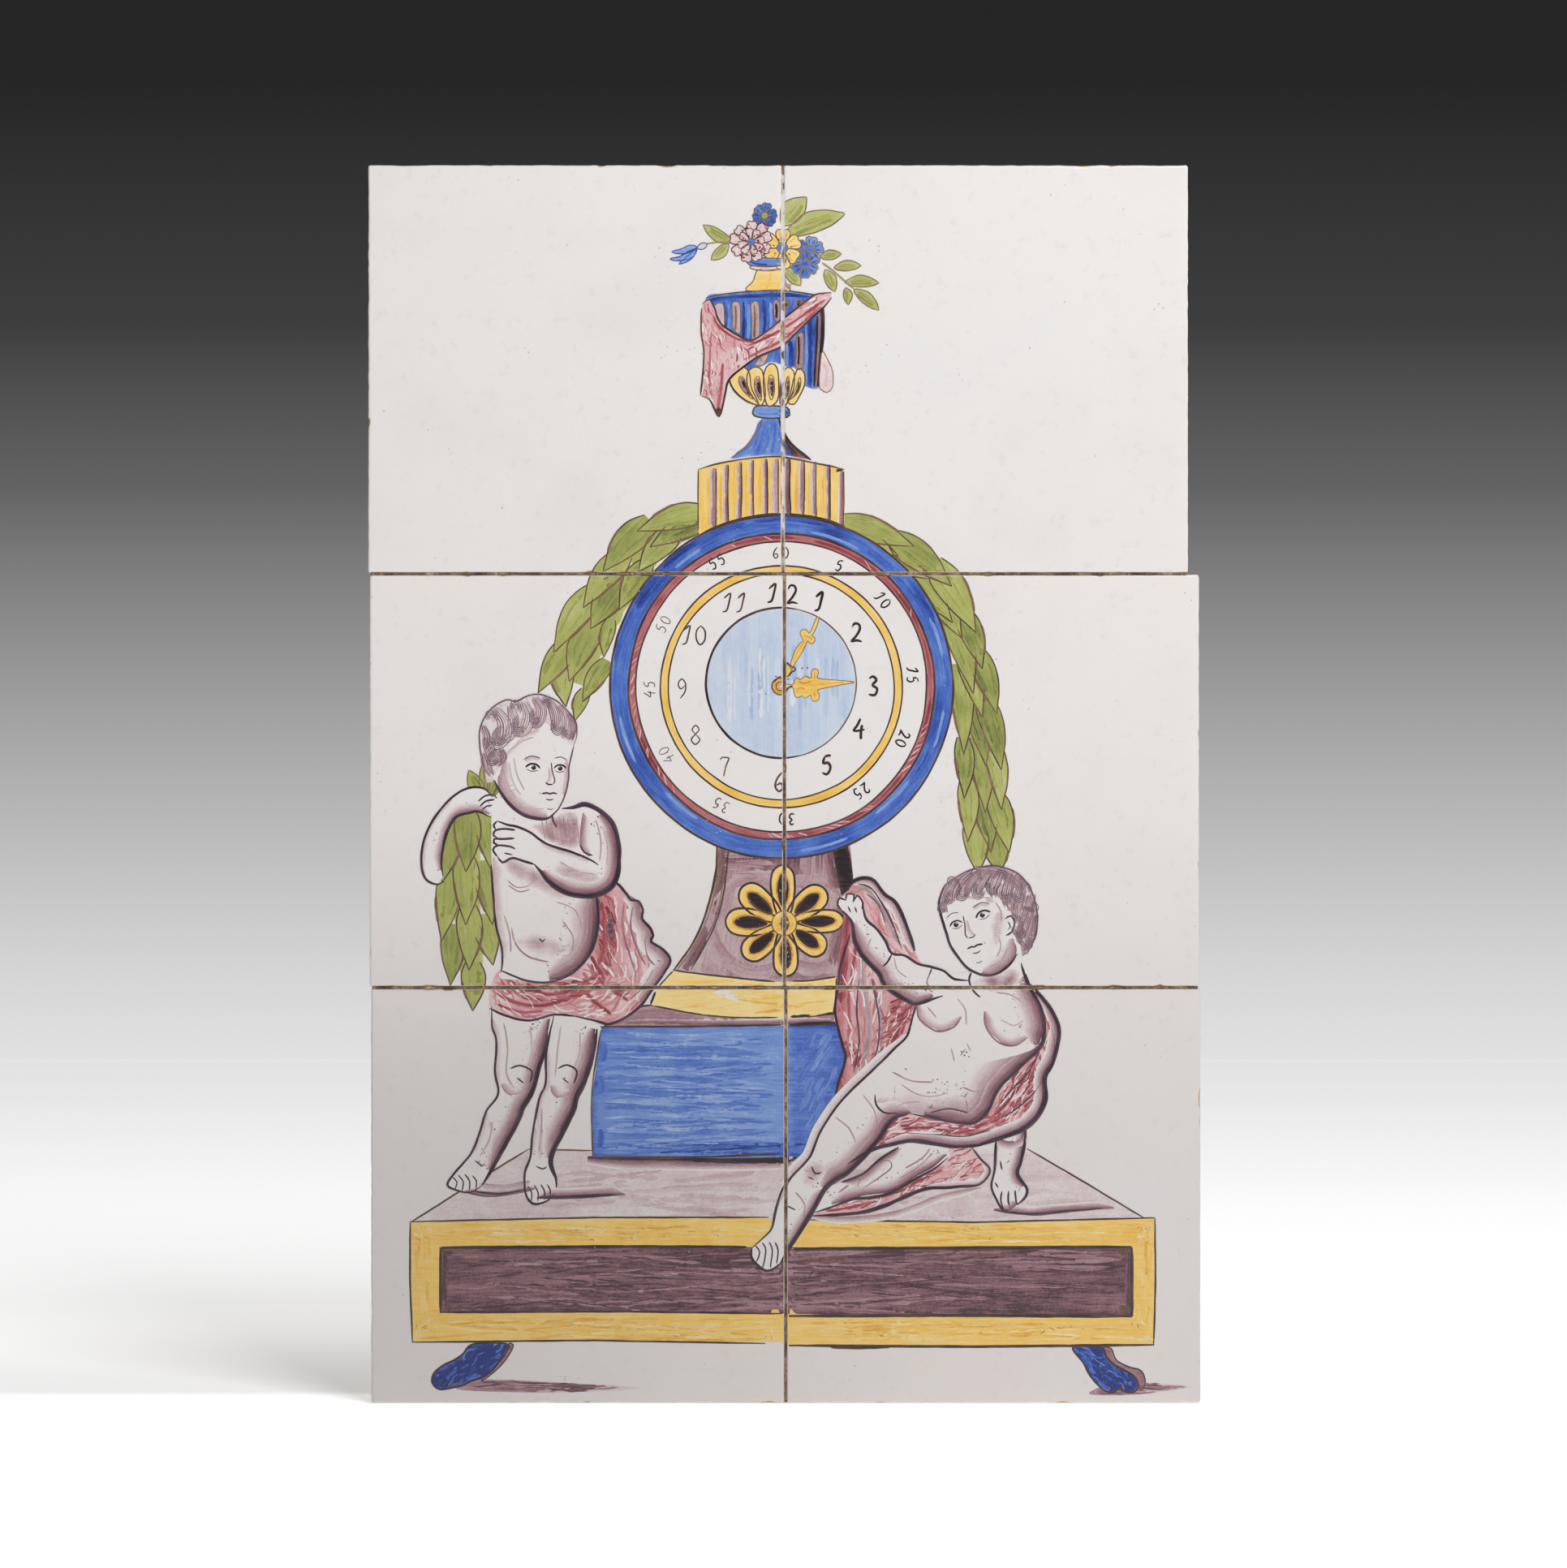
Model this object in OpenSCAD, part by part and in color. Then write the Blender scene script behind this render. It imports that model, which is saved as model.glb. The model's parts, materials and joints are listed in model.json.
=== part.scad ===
// Delftware tile picture of a mantel clock: six tin-glazed tiles on a board.
// The painted face looks along -Y, +Z is up and the origin is under the middle of the foot.

/* [Tiles] */
// Width of a tile at its glazed face
tile_w = 130.5; // [120:0.5:140]
// Width of the narrow tile at the top right
narrow_tile_w = 127.5; // [118:0.5:130]
// Height of a tile in the bottom row
low_tile_h = 130.7; // [120:0.1:140]
// Height of a tile in the middle row
mid_tile_h = 129.9; // [120:0.1:140]
// Height of a tile in the top row
top_tile_h = 128.6; // [120:0.1:140]
// Thickness of a tile
tile_t = 7.5; // [5:0.5:12]
// How far each edge is cut back under the glazed face
undercut = 1.2; // [0.6:0.1:2]
// Roundness of the glaze where it runs over the edge
glaze_round = 0.5; // [0.2:0.1:1]
// Roundness of a tile's corners seen from the front
corner_r = 1.2; // [0.5:0.1:3]
// Width of the joint between two glazed faces
joint_w = 0.5; // [0.3:0.1:1.5]
// How much the vertical joint wanders from row to row
joint_wander = 0.9; // [0:0.1:1.5]

/* [Joint filling] */
// Depth of the filling below the glazed face
grout_recess = 0.6; // [0.6:0.1:2]
// Clearance between the filling and the tiles
grout_gap = 0.04; // [0.02:0.01:0.1]
// Height of the filling's foot above the table
grout_lift = 1; // [0.5:0.1:4]

/* [Board] */
// Thickness of the backing board
board_t = 12; // [9:1:18]
// How far the board stands back from the tiles at the sides and the top
board_inset = 6; // [2:0.5:20]
// Rounding of the board's top corners
board_corner_r = 4; // [1:0.5:10]
// Thickness of the adhesive between the tiles and the board
adhesive_t = 3; // [2:0.5:5]
// Diameter of one dab of adhesive
dab_d = 34; // [15:1:40]
// Distance of the outer dabs from the tile's edge
dab_inset = 28; // [24:1:36]

/* [Hanging] */
// Length of the hanging cleat
cleat_len = 180; // [120:5:220]
// Height of the cleat and of the spacer at the foot
cleat_h = 40; // [30:1:60]
// Thickness of the cleat
cleat_t = 12; // [10:1:18]
// Distance from the board's top edge down to the cleat
cleat_drop = 48; // [20:1:90]
// Slope of the cleat's hooked edge
cleat_angle = 45; // [30:1:60]
// Height of the spacer's lower edge above the table
spacer_z = 40; // [20:1:80]
// Thickness of the felt under the spacer
felt_t = 2; // [1:0.5:4]
// Diameter of a felt pad
felt_d = 24; // [16:1:28]
// Distance of the outer screws and pads from the end of a batten
screw_inset = 20; // [15:1:35]
// Number of screws in each batten
screw_count = 4; // [2:1:6]

/* [Screws] */
// Diameter of a screw's shank
screw_d = 3.5; // [3:0.1:5]
// Diameter of a screw's head
screw_head_d = 7; // [6:0.1:9]
// Depth of a screw's countersunk head
screw_head_h = 2.4; // [2:0.1:3]
// How far a screw reaches into the board
screw_bite = 8; // [5:0.5:8.5]
// Clearance round a screw
screw_gap = 0.15; // [0.1:0.05:0.3]
// Width of the cross recess in a screw's head
recess_w = 0.9; // [0.7:0.1:1.2]

/* [Painting] */
// Height of the raised enamel
enamel_t = 0.3; // [0.2:0.05:0.6]
// Gap between two enamels that lie side by side
enamel_gap = 0.06; // [0.04:0.01:0.2]
// Bare glaze kept along the edge of every tile
bare_edge = 0.4; // [0.2:0.1:1]
// Width of the painter's outline
line_w = 0.9; // [0.6:0.1:1.5]
// Radius of the clock's case
case_r = 54; // [50:0.5:58]
// Width of the case's blue ring
case_ring_w = 5.6; // [4:0.1:7]
// Width of the red band inside the blue ring
red_band_w = 2.3; // [1.5:0.1:3]
// Outer radius of the yellow ring round the middle of the dial
yellow_r = 38.1; // [34:0.1:40]
// Width of that yellow ring
yellow_w = 2.5; // [2:0.1:4]
// Radius of the pale blue middle of the dial
disc_r = 23.7; // [20:0.1:26]
// Radius of the hub under the painted hands
hub_r = 3; // [2:0.1:4]
// Distance between two flutes of the block over the case
flute_pitch = 4.1; // [3.5:0.1:5]
// Number of those flutes
flute_count = 11; // [9:1:12]
// Number of lobes on the yellow cup of the urn
lobe_count = 5; // [3:1:6]
// Reach of a petal of the rosette
petal_reach = 18; // [14:0.5:18.5]
// Number of petals
petal_count = 8; // [6:1:10]
// Length of a laurel leaf
leaf_len = 15; // [12:0.5:18]
// Width of a laurel leaf
leaf_w = 5.6; // [4:0.1:6.5]
// Distance between two whorls of laurel leaves
leaf_step = 8.5; // [7:0.1:11]

/* [Hidden] */
$fn = 48;
slop = 1;

row_h = [low_tile_h, mid_tile_h, top_tile_h];
row_z = [0, low_tile_h + joint_w, low_tile_h + mid_tile_h + 2 * joint_w];
panel_w = 2 * tile_w + joint_w + joint_wander;
panel_h = row_z[2] + top_tile_h;

depth = enamel_t + tile_t + adhesive_t + board_t + cleat_t;
face_y = -depth / 2 + enamel_t;
tile_back_y = face_y + tile_t;
board_y = tile_back_y + adhesive_t;
board_back_y = board_y + board_t;
wall_y = board_back_y + cleat_t;
board_x0 = -panel_w / 2 + board_inset;
board_x1 = panel_w / 2 - board_inset;
board_top = panel_h - board_inset;
spacer_t = cleat_t - felt_t;
cleat_top = board_top - cleat_drop;

// A tile's left edge, right edge and width in a row (0 is the bottom row), side 0 is the left
function tile_x0(row, side) = side == 0 ? -tile_w - joint_w / 2 + seam_x(row) : seam_x(row) + joint_w / 2;
function tile_width(row, side) = side == 1 && row == 2 ? narrow_tile_w : tile_w;
function tile_x1(row, side) = tile_x0(row, side) + tile_width(row, side);
function seam_x(row) = (row - 1) * -joint_wander / 2;

// Section of a tile across its edges: glaze rounded at the face, body cut back under it
function edge_section(a, b) = [
    [a + glaze_round, 0], [b - glaze_round, 0],
    [b - glaze_round * 0.3, glaze_round * 0.3], [b, glaze_round],
    [b - undercut, tile_t], [a + undercut, tile_t],
    [a, glaze_round], [a + glaze_round * 0.3, glaze_round * 0.3]
];

// The bottom tiles are flat under their foot, so only their upper edge is cut back
function foot_section(h) = [
    [glaze_round, 0], [h - glaze_round, 0],
    [h - glaze_round * 0.3, glaze_round * 0.3], [h, glaze_round],
    [h - undercut, tile_t], [0, tile_t],
    [0, glaze_round], [glaze_round * 0.3, glaze_round * 0.3]
];

// Rectangle with round corners, for the view from the front
module round_rect(x0, z0, x1, z1, r) {
    steps = 4;
    corners = [[x1 - r, z1 - r, 0], [x0 + r, z1 - r, 90], [x0 + r, z0 + r, 180], [x1 - r, z0 + r, 270]];
    polygon([for (c = corners, i = [0 : steps])
        [c[0] + r * cos(c[2] + 90 * i / steps), c[1] + r * sin(c[2] + 90 * i / steps)]]);
}

// Turns a drawing of the front view into a slab between two depths
module front_slab(y0, y1) {
    translate([0, y1, 0]) rotate([90, 0, 0]) linear_extrude(y1 - y0) children();
}

module tile(row, side) {
    x0 = tile_x0(row, side);
    x1 = tile_x1(row, side);
    z0 = row_z[row];
    h = row_h[row];
    color("whitesmoke") intersection() {
        translate([0, face_y, z0]) linear_extrude(h) polygon(edge_section(x0, x1));
        translate([x0 - slop, face_y, z0]) rotate([90, 0, 90]) linear_extrude(x1 - x0 + 2 * slop)
            polygon([for (p = row == 0 ? foot_section(h) : edge_section(0, h)) [p[1], p[0]]]);
        front_slab(face_y - slop, tile_back_y + slop) round_rect(x0, z0, x1, z0 + h, corner_r);
    }
}

// Joint filling: a wedge that widens toward the back between two undercut edges
module wedge(length) {
    function half(d) = joint_w / 2 - grout_gap + undercut * (d - glaze_round) / (tile_t - glaze_round);
    front = glaze_round + grout_recess;
    linear_extrude(length) polygon([
        [-half(front), front], [half(front), front], [half(tile_t), tile_t], [-half(tile_t), tile_t]
    ]);
}

module grout_vertical() color("saddlebrown") for (row = [0 : 2]) {
    foot = row == 0 ? grout_lift : undercut + grout_gap;
    head = undercut + grout_gap;
    translate([seam_x(row), face_y, row_z[row] + foot]) wedge(row_h[row] - foot - head);
}

module grout_row(row) {
    x0 = max(tile_x0(row, 0), tile_x0(row - 1, 0)) + undercut;
    x1 = min(tile_x1(row, 1), tile_x1(row - 1, 1)) - undercut;
    color("saddlebrown") translate([x0, face_y, row_z[row] - joint_w / 2]) mirror([0, 0, 1])
        rotate([0, 90, 0]) wedge(x1 - x0);
}

module adhesive(row, side) {
    x0 = tile_x0(row, side) + dab_inset;
    x1 = tile_x1(row, side) - dab_inset;
    z0 = row_z[row] + dab_inset;
    z1 = row_z[row] + row_h[row] - dab_inset;
    spots = [[x0, z0], [x1, z0], [(x0 + x1) / 2, (z0 + z1) / 2], [x0, z1], [x1, z1]];
    color("gainsboro") for (s = spots)
        front_slab(tile_back_y, board_y) translate(s) circle(d = dab_d);
}

// Places of the screws along a batten
function screw_x() = [for (i = [0 : screw_count - 1])
    -cleat_len / 2 + screw_inset + (cleat_len - 2 * screw_inset) * i / (screw_count - 1)];

cleat_screw_z = cleat_top - (cleat_h - cleat_t / tan(cleat_angle)) / 2;
spacer_screw_z = spacer_z + cleat_h / 2;

// A hole along Y with a countersink at its back end
module countersunk(y0, y1, d, head_d, head_h) {
    rotate([-90, 0, 0]) {
        translate([0, 0, y0]) cylinder(h = y1 - y0, d = d);
        translate([0, 0, y1 - head_h]) cylinder(h = head_h, d1 = d, d2 = head_d);
    }
}

module backing_board() color("burlywood") difference() {
    front_slab(board_y, board_back_y) polygon([
        [board_x0, 0], [board_x1, 0],
        for (i = [0 : 4]) [board_x1 - board_corner_r * (1 - cos(22.5 * i)),
            board_top - board_corner_r * (1 - sin(22.5 * i))],
        for (i = [4 : -1 : 0]) [board_x0 + board_corner_r * (1 - cos(22.5 * i)),
            board_top - board_corner_r * (1 - sin(22.5 * i))]
    ]);
    for (x = screw_x(), z = [cleat_screw_z, spacer_screw_z])
        translate([x, board_back_y - screw_bite - 2 * screw_gap, z]) rotate([-90, 0, 0])
            cylinder(h = screw_bite + slop, d = screw_d + 2 * screw_gap);
}

// Batten whose lower edge slopes up toward the board, so that it hooks over a rail on the wall
module hanging_cleat() color("tan") difference() {
    translate([-cleat_len / 2, 0, 0]) rotate([90, 0, 90]) linear_extrude(cleat_len) polygon([
        [board_back_y, cleat_top - cleat_h + cleat_t / tan(cleat_angle)],
        [wall_y, cleat_top - cleat_h], [wall_y, cleat_top], [board_back_y, cleat_top]
    ]);
    for (x = screw_x()) translate([x, 0, cleat_screw_z])
        countersunk(board_back_y - slop, wall_y + 0.01, screw_d + 2 * screw_gap,
            screw_head_d + 2 * screw_gap, screw_head_h + screw_gap);
}

module lower_spacer() color("tan") difference() {
    translate([-cleat_len / 2, board_back_y, spacer_z]) cube([cleat_len, spacer_t, cleat_h]);
    for (x = screw_x()) translate([x, 0, spacer_screw_z])
        countersunk(board_back_y - slop, board_back_y + spacer_t + 0.01, screw_d + 2 * screw_gap,
            screw_head_d + 2 * screw_gap, screw_head_h + screw_gap);
}

// Countersunk wood screw with a cross recess, its tip pointing at the tiles
module screw(head_y) difference() {
    union() {
        translate([0, board_back_y - screw_bite, 0]) rotate([-90, 0, 0])
            cylinder(h = head_y - board_back_y + screw_bite - screw_head_h, d = screw_d);
        translate([0, head_y - screw_head_h, 0]) rotate([-90, 0, 0])
            cylinder(h = screw_head_h, d1 = screw_d, d2 = screw_head_d);
    }
    for (turn = [0, 90]) translate([0, head_y, 0]) rotate([0, turn, 0])
        cube([screw_head_d / 2, screw_head_h, recess_w], center = true);
}

module cleat_screws() color("silver") for (x = screw_x())
    translate([x, 0, cleat_screw_z]) screw(wall_y - screw_gap);

module spacer_screws() color("silver") for (x = screw_x())
    translate([x, 0, spacer_screw_z]) screw(board_back_y + spacer_t - screw_gap);

module felt_pads() color("dimgray") for (side = [-1, 1])
    front_slab(board_back_y + spacer_t, wall_y)
        translate([side * (screw_x()[1] + screw_x()[0]) / 2 * -1, spacer_screw_z]) circle(d = felt_d);

// Closed smooth curve through points chosen by hand, with n pieces to a span
function blend4(a, b, c, d, t) = 0.5 * (2 * b + (c - a) * t + (2 * a - 5 * b + 4 * c - d) * t * t
    + (3 * b - a - 3 * c + d) * t * t * t);
function loop_curve(p, n = 3) = [for (i = [0 : len(p) - 1], k = [0 : n - 1])
    blend4(p[(i + len(p) - 1) % len(p)], p[i], p[(i + 1) % len(p)], p[(i + 2) % len(p)], k / n)];

// Open smooth curve, its side direction and a brush stroke along it that thins at both ends
function open_curve(p, n = 3) = [for (i = [0 : len(p) - 2], k = [0 : i == len(p) - 2 ? n : n - 1])
    blend4(p[max(i - 1, 0)], p[i], p[i + 1], p[min(i + 2, len(p) - 1)], k / n)];
function side_of(c, i) = let (d = c[min(i + 1, len(c) - 1)] - c[max(i - 1, 0)]) [-d[1], d[0]] / norm(d);
function pressure(t) = 0.35 + 0.65 * sin(180 * t);
module stroke(p, w = line_w, n = 3) {
    c = open_curve(p, n);
    last = len(c) - 1;
    polygon(concat(
        [for (i = [0 : last]) c[i] + side_of(c, i) * w / 2 * pressure(i / last)],
        [for (i = [last : -1 : 0]) c[i] - side_of(c, i) * w / 2 * pressure(i / last)]));
}

module blob(p, n = 3) polygon(loop_curve(p, n));

leaf_belly = 0.8;

// Pointed leaf from its base to its tip, fullest a little before the middle
module leaf(base, tip, w) {
    d = tip - base;
    side = [-d[1], d[0]] / norm(d);
    steps = 4;
    half = [for (i = [0 : steps]) side * w / 2 * sin(180 * pow(i / steps, leaf_belly))];
    polygon(concat(
        [for (i = [0 : steps]) base + d * i / steps + half[i]],
        [for (i = [steps - 1 : -1 : 1]) base + d * i / steps - half[i]]));
}

// A painted shape: its enamel lies inside its outline, and its cover is what it hides
module paint(wanted, pigment) {
    if (wanted == pigment) offset(delta = -line_w / 2) children();
    if (wanted == "outline") difference() {
        offset(delta = line_w / 2) children();
        offset(delta = -line_w / 2) children();
    }
    if (wanted == "cover") offset(delta = line_w / 2) children();
}

// A painted line, which belongs to the outline enamel
module ink(wanted) if (wanted == "outline" || wanted == "cover") children();

// Foot of the clock
base_top = [[-81, 80], [-117, 57], [113.5, 57.5], [76.5, 80.5]];
front_x = [-117, 116.5];
front_z = [18.5, 57];
frame_w = 8.5;

module clock_base(c) {
    foot_places() {
        paint(c, "purple") blob(foot_shadow, 2);
        paint(c, "purple") polygon(foot_side);
    }
    paint(c, "purple") polygon(base_top);
    paint(c, "yellow") difference() {
        translate([front_x[0], front_z[0]]) square([front_x[1] - front_x[0], front_z[1] - front_z[0]]);
        base_panel();
    }
    paint(c, "purple") base_panel();
}

module base_panel() translate([front_x[0] + frame_w, front_z[0] + frame_w])
    square([front_x[1] - front_x[0] - 2 * frame_w, front_z[1] - front_z[0] - 2 * frame_w]);

foot_outline = [[-97.5, 18.5], [-87.5, 18.5], [-90, 13], [-94.5, 8.5], [-101, 5.5], [-108.5, 4.5],
    [-110.5, 8], [-107.5, 12.5], [-101.5, 15.5]];
foot_side = [[-87, 18.5], [-84, 18.5], [-86, 13], [-92, 9], [-88, 14]];
foot_shadow = [[-106, 3.5], [-84, 3], [-58, 5], [-84, 8], [-92, 8]];
foot_shift = 2;

module foot_places() for (side = [0, 1]) translate([side * foot_shift, 0]) mirror([side, 0]) children();

module feet(c) foot_places() paint(c, "blue") blob(foot_outline, 2);

// Plinth and the two steps on it
plinth = [[-60.5, 77.5], [-57.5, 118.5], [20, 118.5], [20, 77.5]];
purple_step = [[-54, 119], [-49, 122.5], [-42, 125], [-27, 122.5], [16, 122], [16, 119]];
yellow_step = [[-35, 136], [-27, 135], [-1, 133], [16, 134], [16, 123], [-2, 122], [-27, 122.5],
    [-42, 125.5]];

module steps(c) {
    paint(c, "blue") polygon(plinth);
    paint(c, "purple") polygon(purple_step);
    paint(c, "yellow") polygon(yellow_step);
}

// Waisted column with a rosette
column_shape = [[-21.4, 176], [-21.5, 168], [-23.2, 159.5], [-26, 151], [-34, 137], [-27, 135.5],
    [-2, 133.5], [16, 134.5], [18.5, 142], [20.3, 150], [21.7, 164], [20.3, 176]];
column_fold = [[-17.7, 175], [-18.9, 160.5], [-21.5, 151.5], [-29, 137.5]];
column_shadow = [[18, 175], [19, 166], [19.4, 157]];
rosette_at = [0, 151];
rosette_hub_r = 3.6;
petal_slot_from = 2;
petal_slot_end = 3;
petal_w = 7.2;
slot_w = 2;
column_shadow_w = 4;

// Round-ended lobe that points along +X
module lobe(from, to, w) blob([[from, 0], [(from + to) / 2, -w / 2], [to - w * 0.2, -w * 0.4], [to, 0],
    [to - w * 0.2, w * 0.4], [(from + to) / 2, w / 2]], 2);

module column(c) {
    paint(c, "purple") polygon(column_shape);
    ink(c) {
        stroke(column_fold);
        stroke(column_shadow, column_shadow_w);
    }
}

module rosette(c) {
    translate(rosette_at) for (i = [0 : petal_count - 1]) rotate(90 + 360 * i / petal_count) {
        petal_len = petal_reach - 2 * (i % 2);
        paint(c, "yellow") difference() {
            lobe(rosette_hub_r / 2, petal_len, petal_w);
            lobe(rosette_hub_r + petal_slot_from, petal_len - petal_slot_end, slot_w);
        }
    }
    paint(c, "yellow") translate(rosette_at) circle(rosette_hub_r, $fn = 12);
}

// Laurel garlands: whorls of three leaves that point down along a line
garland_left = [[-24, 277.5], [-37, 273.5], [-47.5, 266], [-55, 256], [-61, 246], [-66, 235],
    [-70.5, 224], [-72, 217]];
garland_low = [[-97, 202], [-99, 190], [-100.5, 178], [-100.5, 166], [-100.5, 154], [-99.5, 142],
    [-99, 133]];
garland_right = [[17, 279], [31, 274], [41.5, 266], [48.5, 257], [53.5, 246], [57.5, 234], [60.5, 222],
    [61.5, 210], [61.5, 198], [62.5, 186], [64, 175]];
leaf_spread = 20;
leaf_offset = 3.2;

module whorls(path) {
    for (i = [0 : len(path) - 2]) {
        span = path[i + 1] - path[i];
        n = max(1, round(norm(span) / leaf_step));
        ahead = path[min(i + 2, len(path) - 1)] - path[i];
        for (k = [0 : n - 1]) translate(path[i] + span * k / n)
            rotate(atan2(ahead[1], ahead[0])) for (turn = [-1, 0, 1])
                translate([0, turn * leaf_offset]) rotate(turn * leaf_spread) children();
    }
}

module garlands(c) for (path = [garland_left, garland_low, garland_right]) {
    paint(c, "green") whorls(path) leaf([0, 0], [leaf_len, 0], leaf_w);
    if (c == "outline") whorls(path) polygon([[leaf_len * 0.25, 0], [leaf_len * 0.6, line_w / 2],
        [leaf_len * 0.9, 0], [leaf_len * 0.6, -line_w / 2]]);
}

// Block of flutes over the case
block_x = [-27, 19];
block_top = [294, 298.5];
block_foot = 274;

module fluted_block(c) {
    mid = (block_x[0] + block_x[1]) / 2;
    paint(c, "yellow") polygon([[block_x[0], block_foot], [block_x[0], block_top[0]],
        [mid - flute_pitch * 2, block_top[1] - 1], [mid, block_top[1]],
        [mid + flute_pitch * 2, block_top[1] - 1],
        [block_x[1], block_top[0]], [block_x[1], block_foot]]);
    ink(c) for (i = [1 : flute_count - 1]) {
        x = mid + (i - flute_count / 2) * flute_pitch;
        translate([x - line_w / 2, block_foot]) square([line_w, block_top[0] - block_foot + 1]);
    }
}

// Urn on its foot, with a blue fluted bowl over a yellow gadrooned cup
urn_x = -3.5;
urn_foot = [[-13, 298.5], [-8, 301.5], [-4.5, 305.5], [-3, 309.5], [1.5, 309.5], [3, 305.5], [6.5, 301.5],
    [11, 298.5], [0, 299]];
knob = [[-6, 312.5], [-4.5, 311], [3, 311], [4.8, 312.5], [3, 314], [-4.5, 314]];
bowl = [[-21.5, 348], [-15, 349.5], [2.5, 350.5], [13.5, 349], [16.3, 346], [15.5, 332], [14.6, 320],
    [10, 320], [6, 326], [-9, 326], [-12, 330], [-19, 340]];
bowl_slot_pitch = 5.6;
bowl_slot_z = [329, 345];
cup_foot_z = 313.5;
cup_r = 12.5;
cup_lobe_w = 5.4;
lobe_fan = 60;
cup_slot_from = 4;
cup_slot_end = 2.5;
neck = [[-5.4, 356.5], [-8.4, 350.5], [4.6, 350.5], [2.6, 356.5]];
rim = [[-8.4, 361], [-8, 358], [-4.5, 356.5], [2.5, 357.5], [3.1, 361]];

module urn_bowl(c) translate([urn_x, 0]) paint(c, "blue") difference() {
    polygon(bowl);
    for (i = [-2 : 2]) translate([i * bowl_slot_pitch - bowl_slot_pitch / 2, bowl_slot_z[0]])
        square([slot_w, bowl_slot_z[1] - bowl_slot_z[0]]);
}

module urn_cup(c) translate([urn_x, 0]) {
    for (i = [0 : lobe_count - 1]) {
        lean = (i - (lobe_count - 1) / 2) * lobe_fan / max(lobe_count - 1, 1);
        translate([0, cup_foot_z]) rotate(90 - lean) paint(c, "yellow") difference() {
            lobe(cup_lobe_w / 4, cup_r, cup_lobe_w);
            lobe(cup_slot_from, cup_r - cup_slot_end, slot_w);
        }
    }
}

module urn_stem(c) translate([urn_x, 0]) {
    paint(c, "blue") blob(urn_foot);
    paint(c, "blue") blob(knob);
    paint(c, "yellow") polygon(neck);
    paint(c, "blue") polygon(rim);
}

urn_drape = [[14, 349.5], [10, 349], [-1, 340.5], [-10.5, 334.5], [-14.5, 336], [-20.5, 340.5],
    [-23.5, 347], [-25.5, 346], [-26, 338], [-25, 325], [-26, 317.5], [-23.5, 317], [-20.5, 311.5],
    [-19, 318], [-17.5, 322.5], [-13, 327], [-8, 330.5], [-1, 333.5], [8, 342.5], [12.5, 346]];
drape_tail = [[11.6, 330.5], [15, 325.5], [15.3, 320], [13.2, 318.5], [11.4, 321]];
drape_folds = [[[11, 348], [0, 338.5], [-10, 332.5], [-19, 329]], [[-24, 344], [-22.5, 333], [-19, 327]],
    [[-22.5, 326], [-22, 319], [-21, 313.5]]];

module cloth_on_urn(c) {
    paint(c, "red") blob(drape_tail);
    paint(c, "red") blob(urn_drape, 2);
    ink(c) for (f = drape_folds) stroke(f);
}

// Bouquet: flowers of round petals and the leaves between them
flowers = [["blue", [-6, 374], 4, 5], ["blue", [8, 361], 4.2, 6], ["yellow", [-1, 364.5], 6.3, 6],
    ["red", [-10, 366], 6.8, 7]];
bouquet_leaves = [[[-16.5, 366], [-25.5, 371.5], 3], [[-18, 365], [-23, 360], 2.8], [[-1, 371],
    [7, 380], 6], [[0.5, 367.5], [19, 375], 5.6], [[11, 361], [18, 362.5], 2.6], [[15.5, 357.5],
    [24, 358.5], 2.8], [[13, 357], [16.5, 350], 3.2], [[19, 353.2], [30, 353.2], 3.1], [[19.5, 352],
    [20, 346], 2.4], [[22, 351], [30, 344], 3], [[0, 357.5], [5, 352], 3.6]];
bouquet_stems = [[[10, 360.5], [15, 357], [19, 354], [22, 351]], [[-16, 366], [-20, 366.5], [-25.5, 365]]];
bud = [[-26, 365], [-30, 365], [-35.5, 363], [-33, 360], [-28, 361.5]];

module bouquet(c) {
    for (l = bouquet_leaves) paint(c, "green") leaf(l[0], l[1], l[2]);
    ink(c) for (s = bouquet_stems) stroke(s, line_w * 0.7);
    paint(c, "blue") blob(bud);
}

module flower(c, pigment, at, r, petals) {
    heart_share = 0.3;
    petal_share = 0.45;
    paint(c, pigment) translate(at) for (i = [0 : petals - 1]) rotate(360 * (i + 0.5) / petals)
        translate([r * (1 - petal_share), 0]) circle(r * petal_share, $fn = 10);
    ink(c) translate(at) circle(r * heart_share, $fn = 8);
}

// Putto at the left: bare figure of unpainted glaze, with hair and a cloth over the hips
left_face = [[-93, 205], [-92, 196], [-88, 189.5], [-82, 186.5], [-76, 188.5], [-71, 195], [-68, 204],
    [-69, 213], [-76, 219], [-86, 219], [-92, 213]];
left_hair = [[-94.5, 202], [-96, 211.5], [-91.5, 219.5], [-80.5, 223.5], [-69, 219.5], [-65, 211.5],
    [-67, 205], [-70, 211], [-76, 213.5], [-86, 212.5], [-91, 208]];
left_arm = [[-90, 191], [-99, 193.5], [-110, 185.5], [-114.5, 171], [-109, 164], [-107, 178],
    [-101, 185.5], [-92, 184]];
left_trunk = [[-88, 190], [-94, 184], [-92, 169], [-91, 149], [-89, 137], [-91, 131], [-75, 126],
    [-62, 133], [-59.5, 141], [-58.5, 152], [-59, 160], [-53, 165], [-52, 175], [-57.5, 186],
    [-67, 189], [-74, 190]];
left_back_leg = [[-91.5, 128], [-91, 112], [-90, 97.5], [-96, 85], [-106, 68.5], [-98.5, 66.5],
    [-88, 81], [-79, 98.5], [-73, 124]];
left_front_leg = [[-74, 124], [-75, 103], [-79.5, 85], [-81.5, 68], [-79, 63], [-72.5, 67], [-70, 85],
    [-63, 102], [-59, 119], [-63, 126]];
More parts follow.
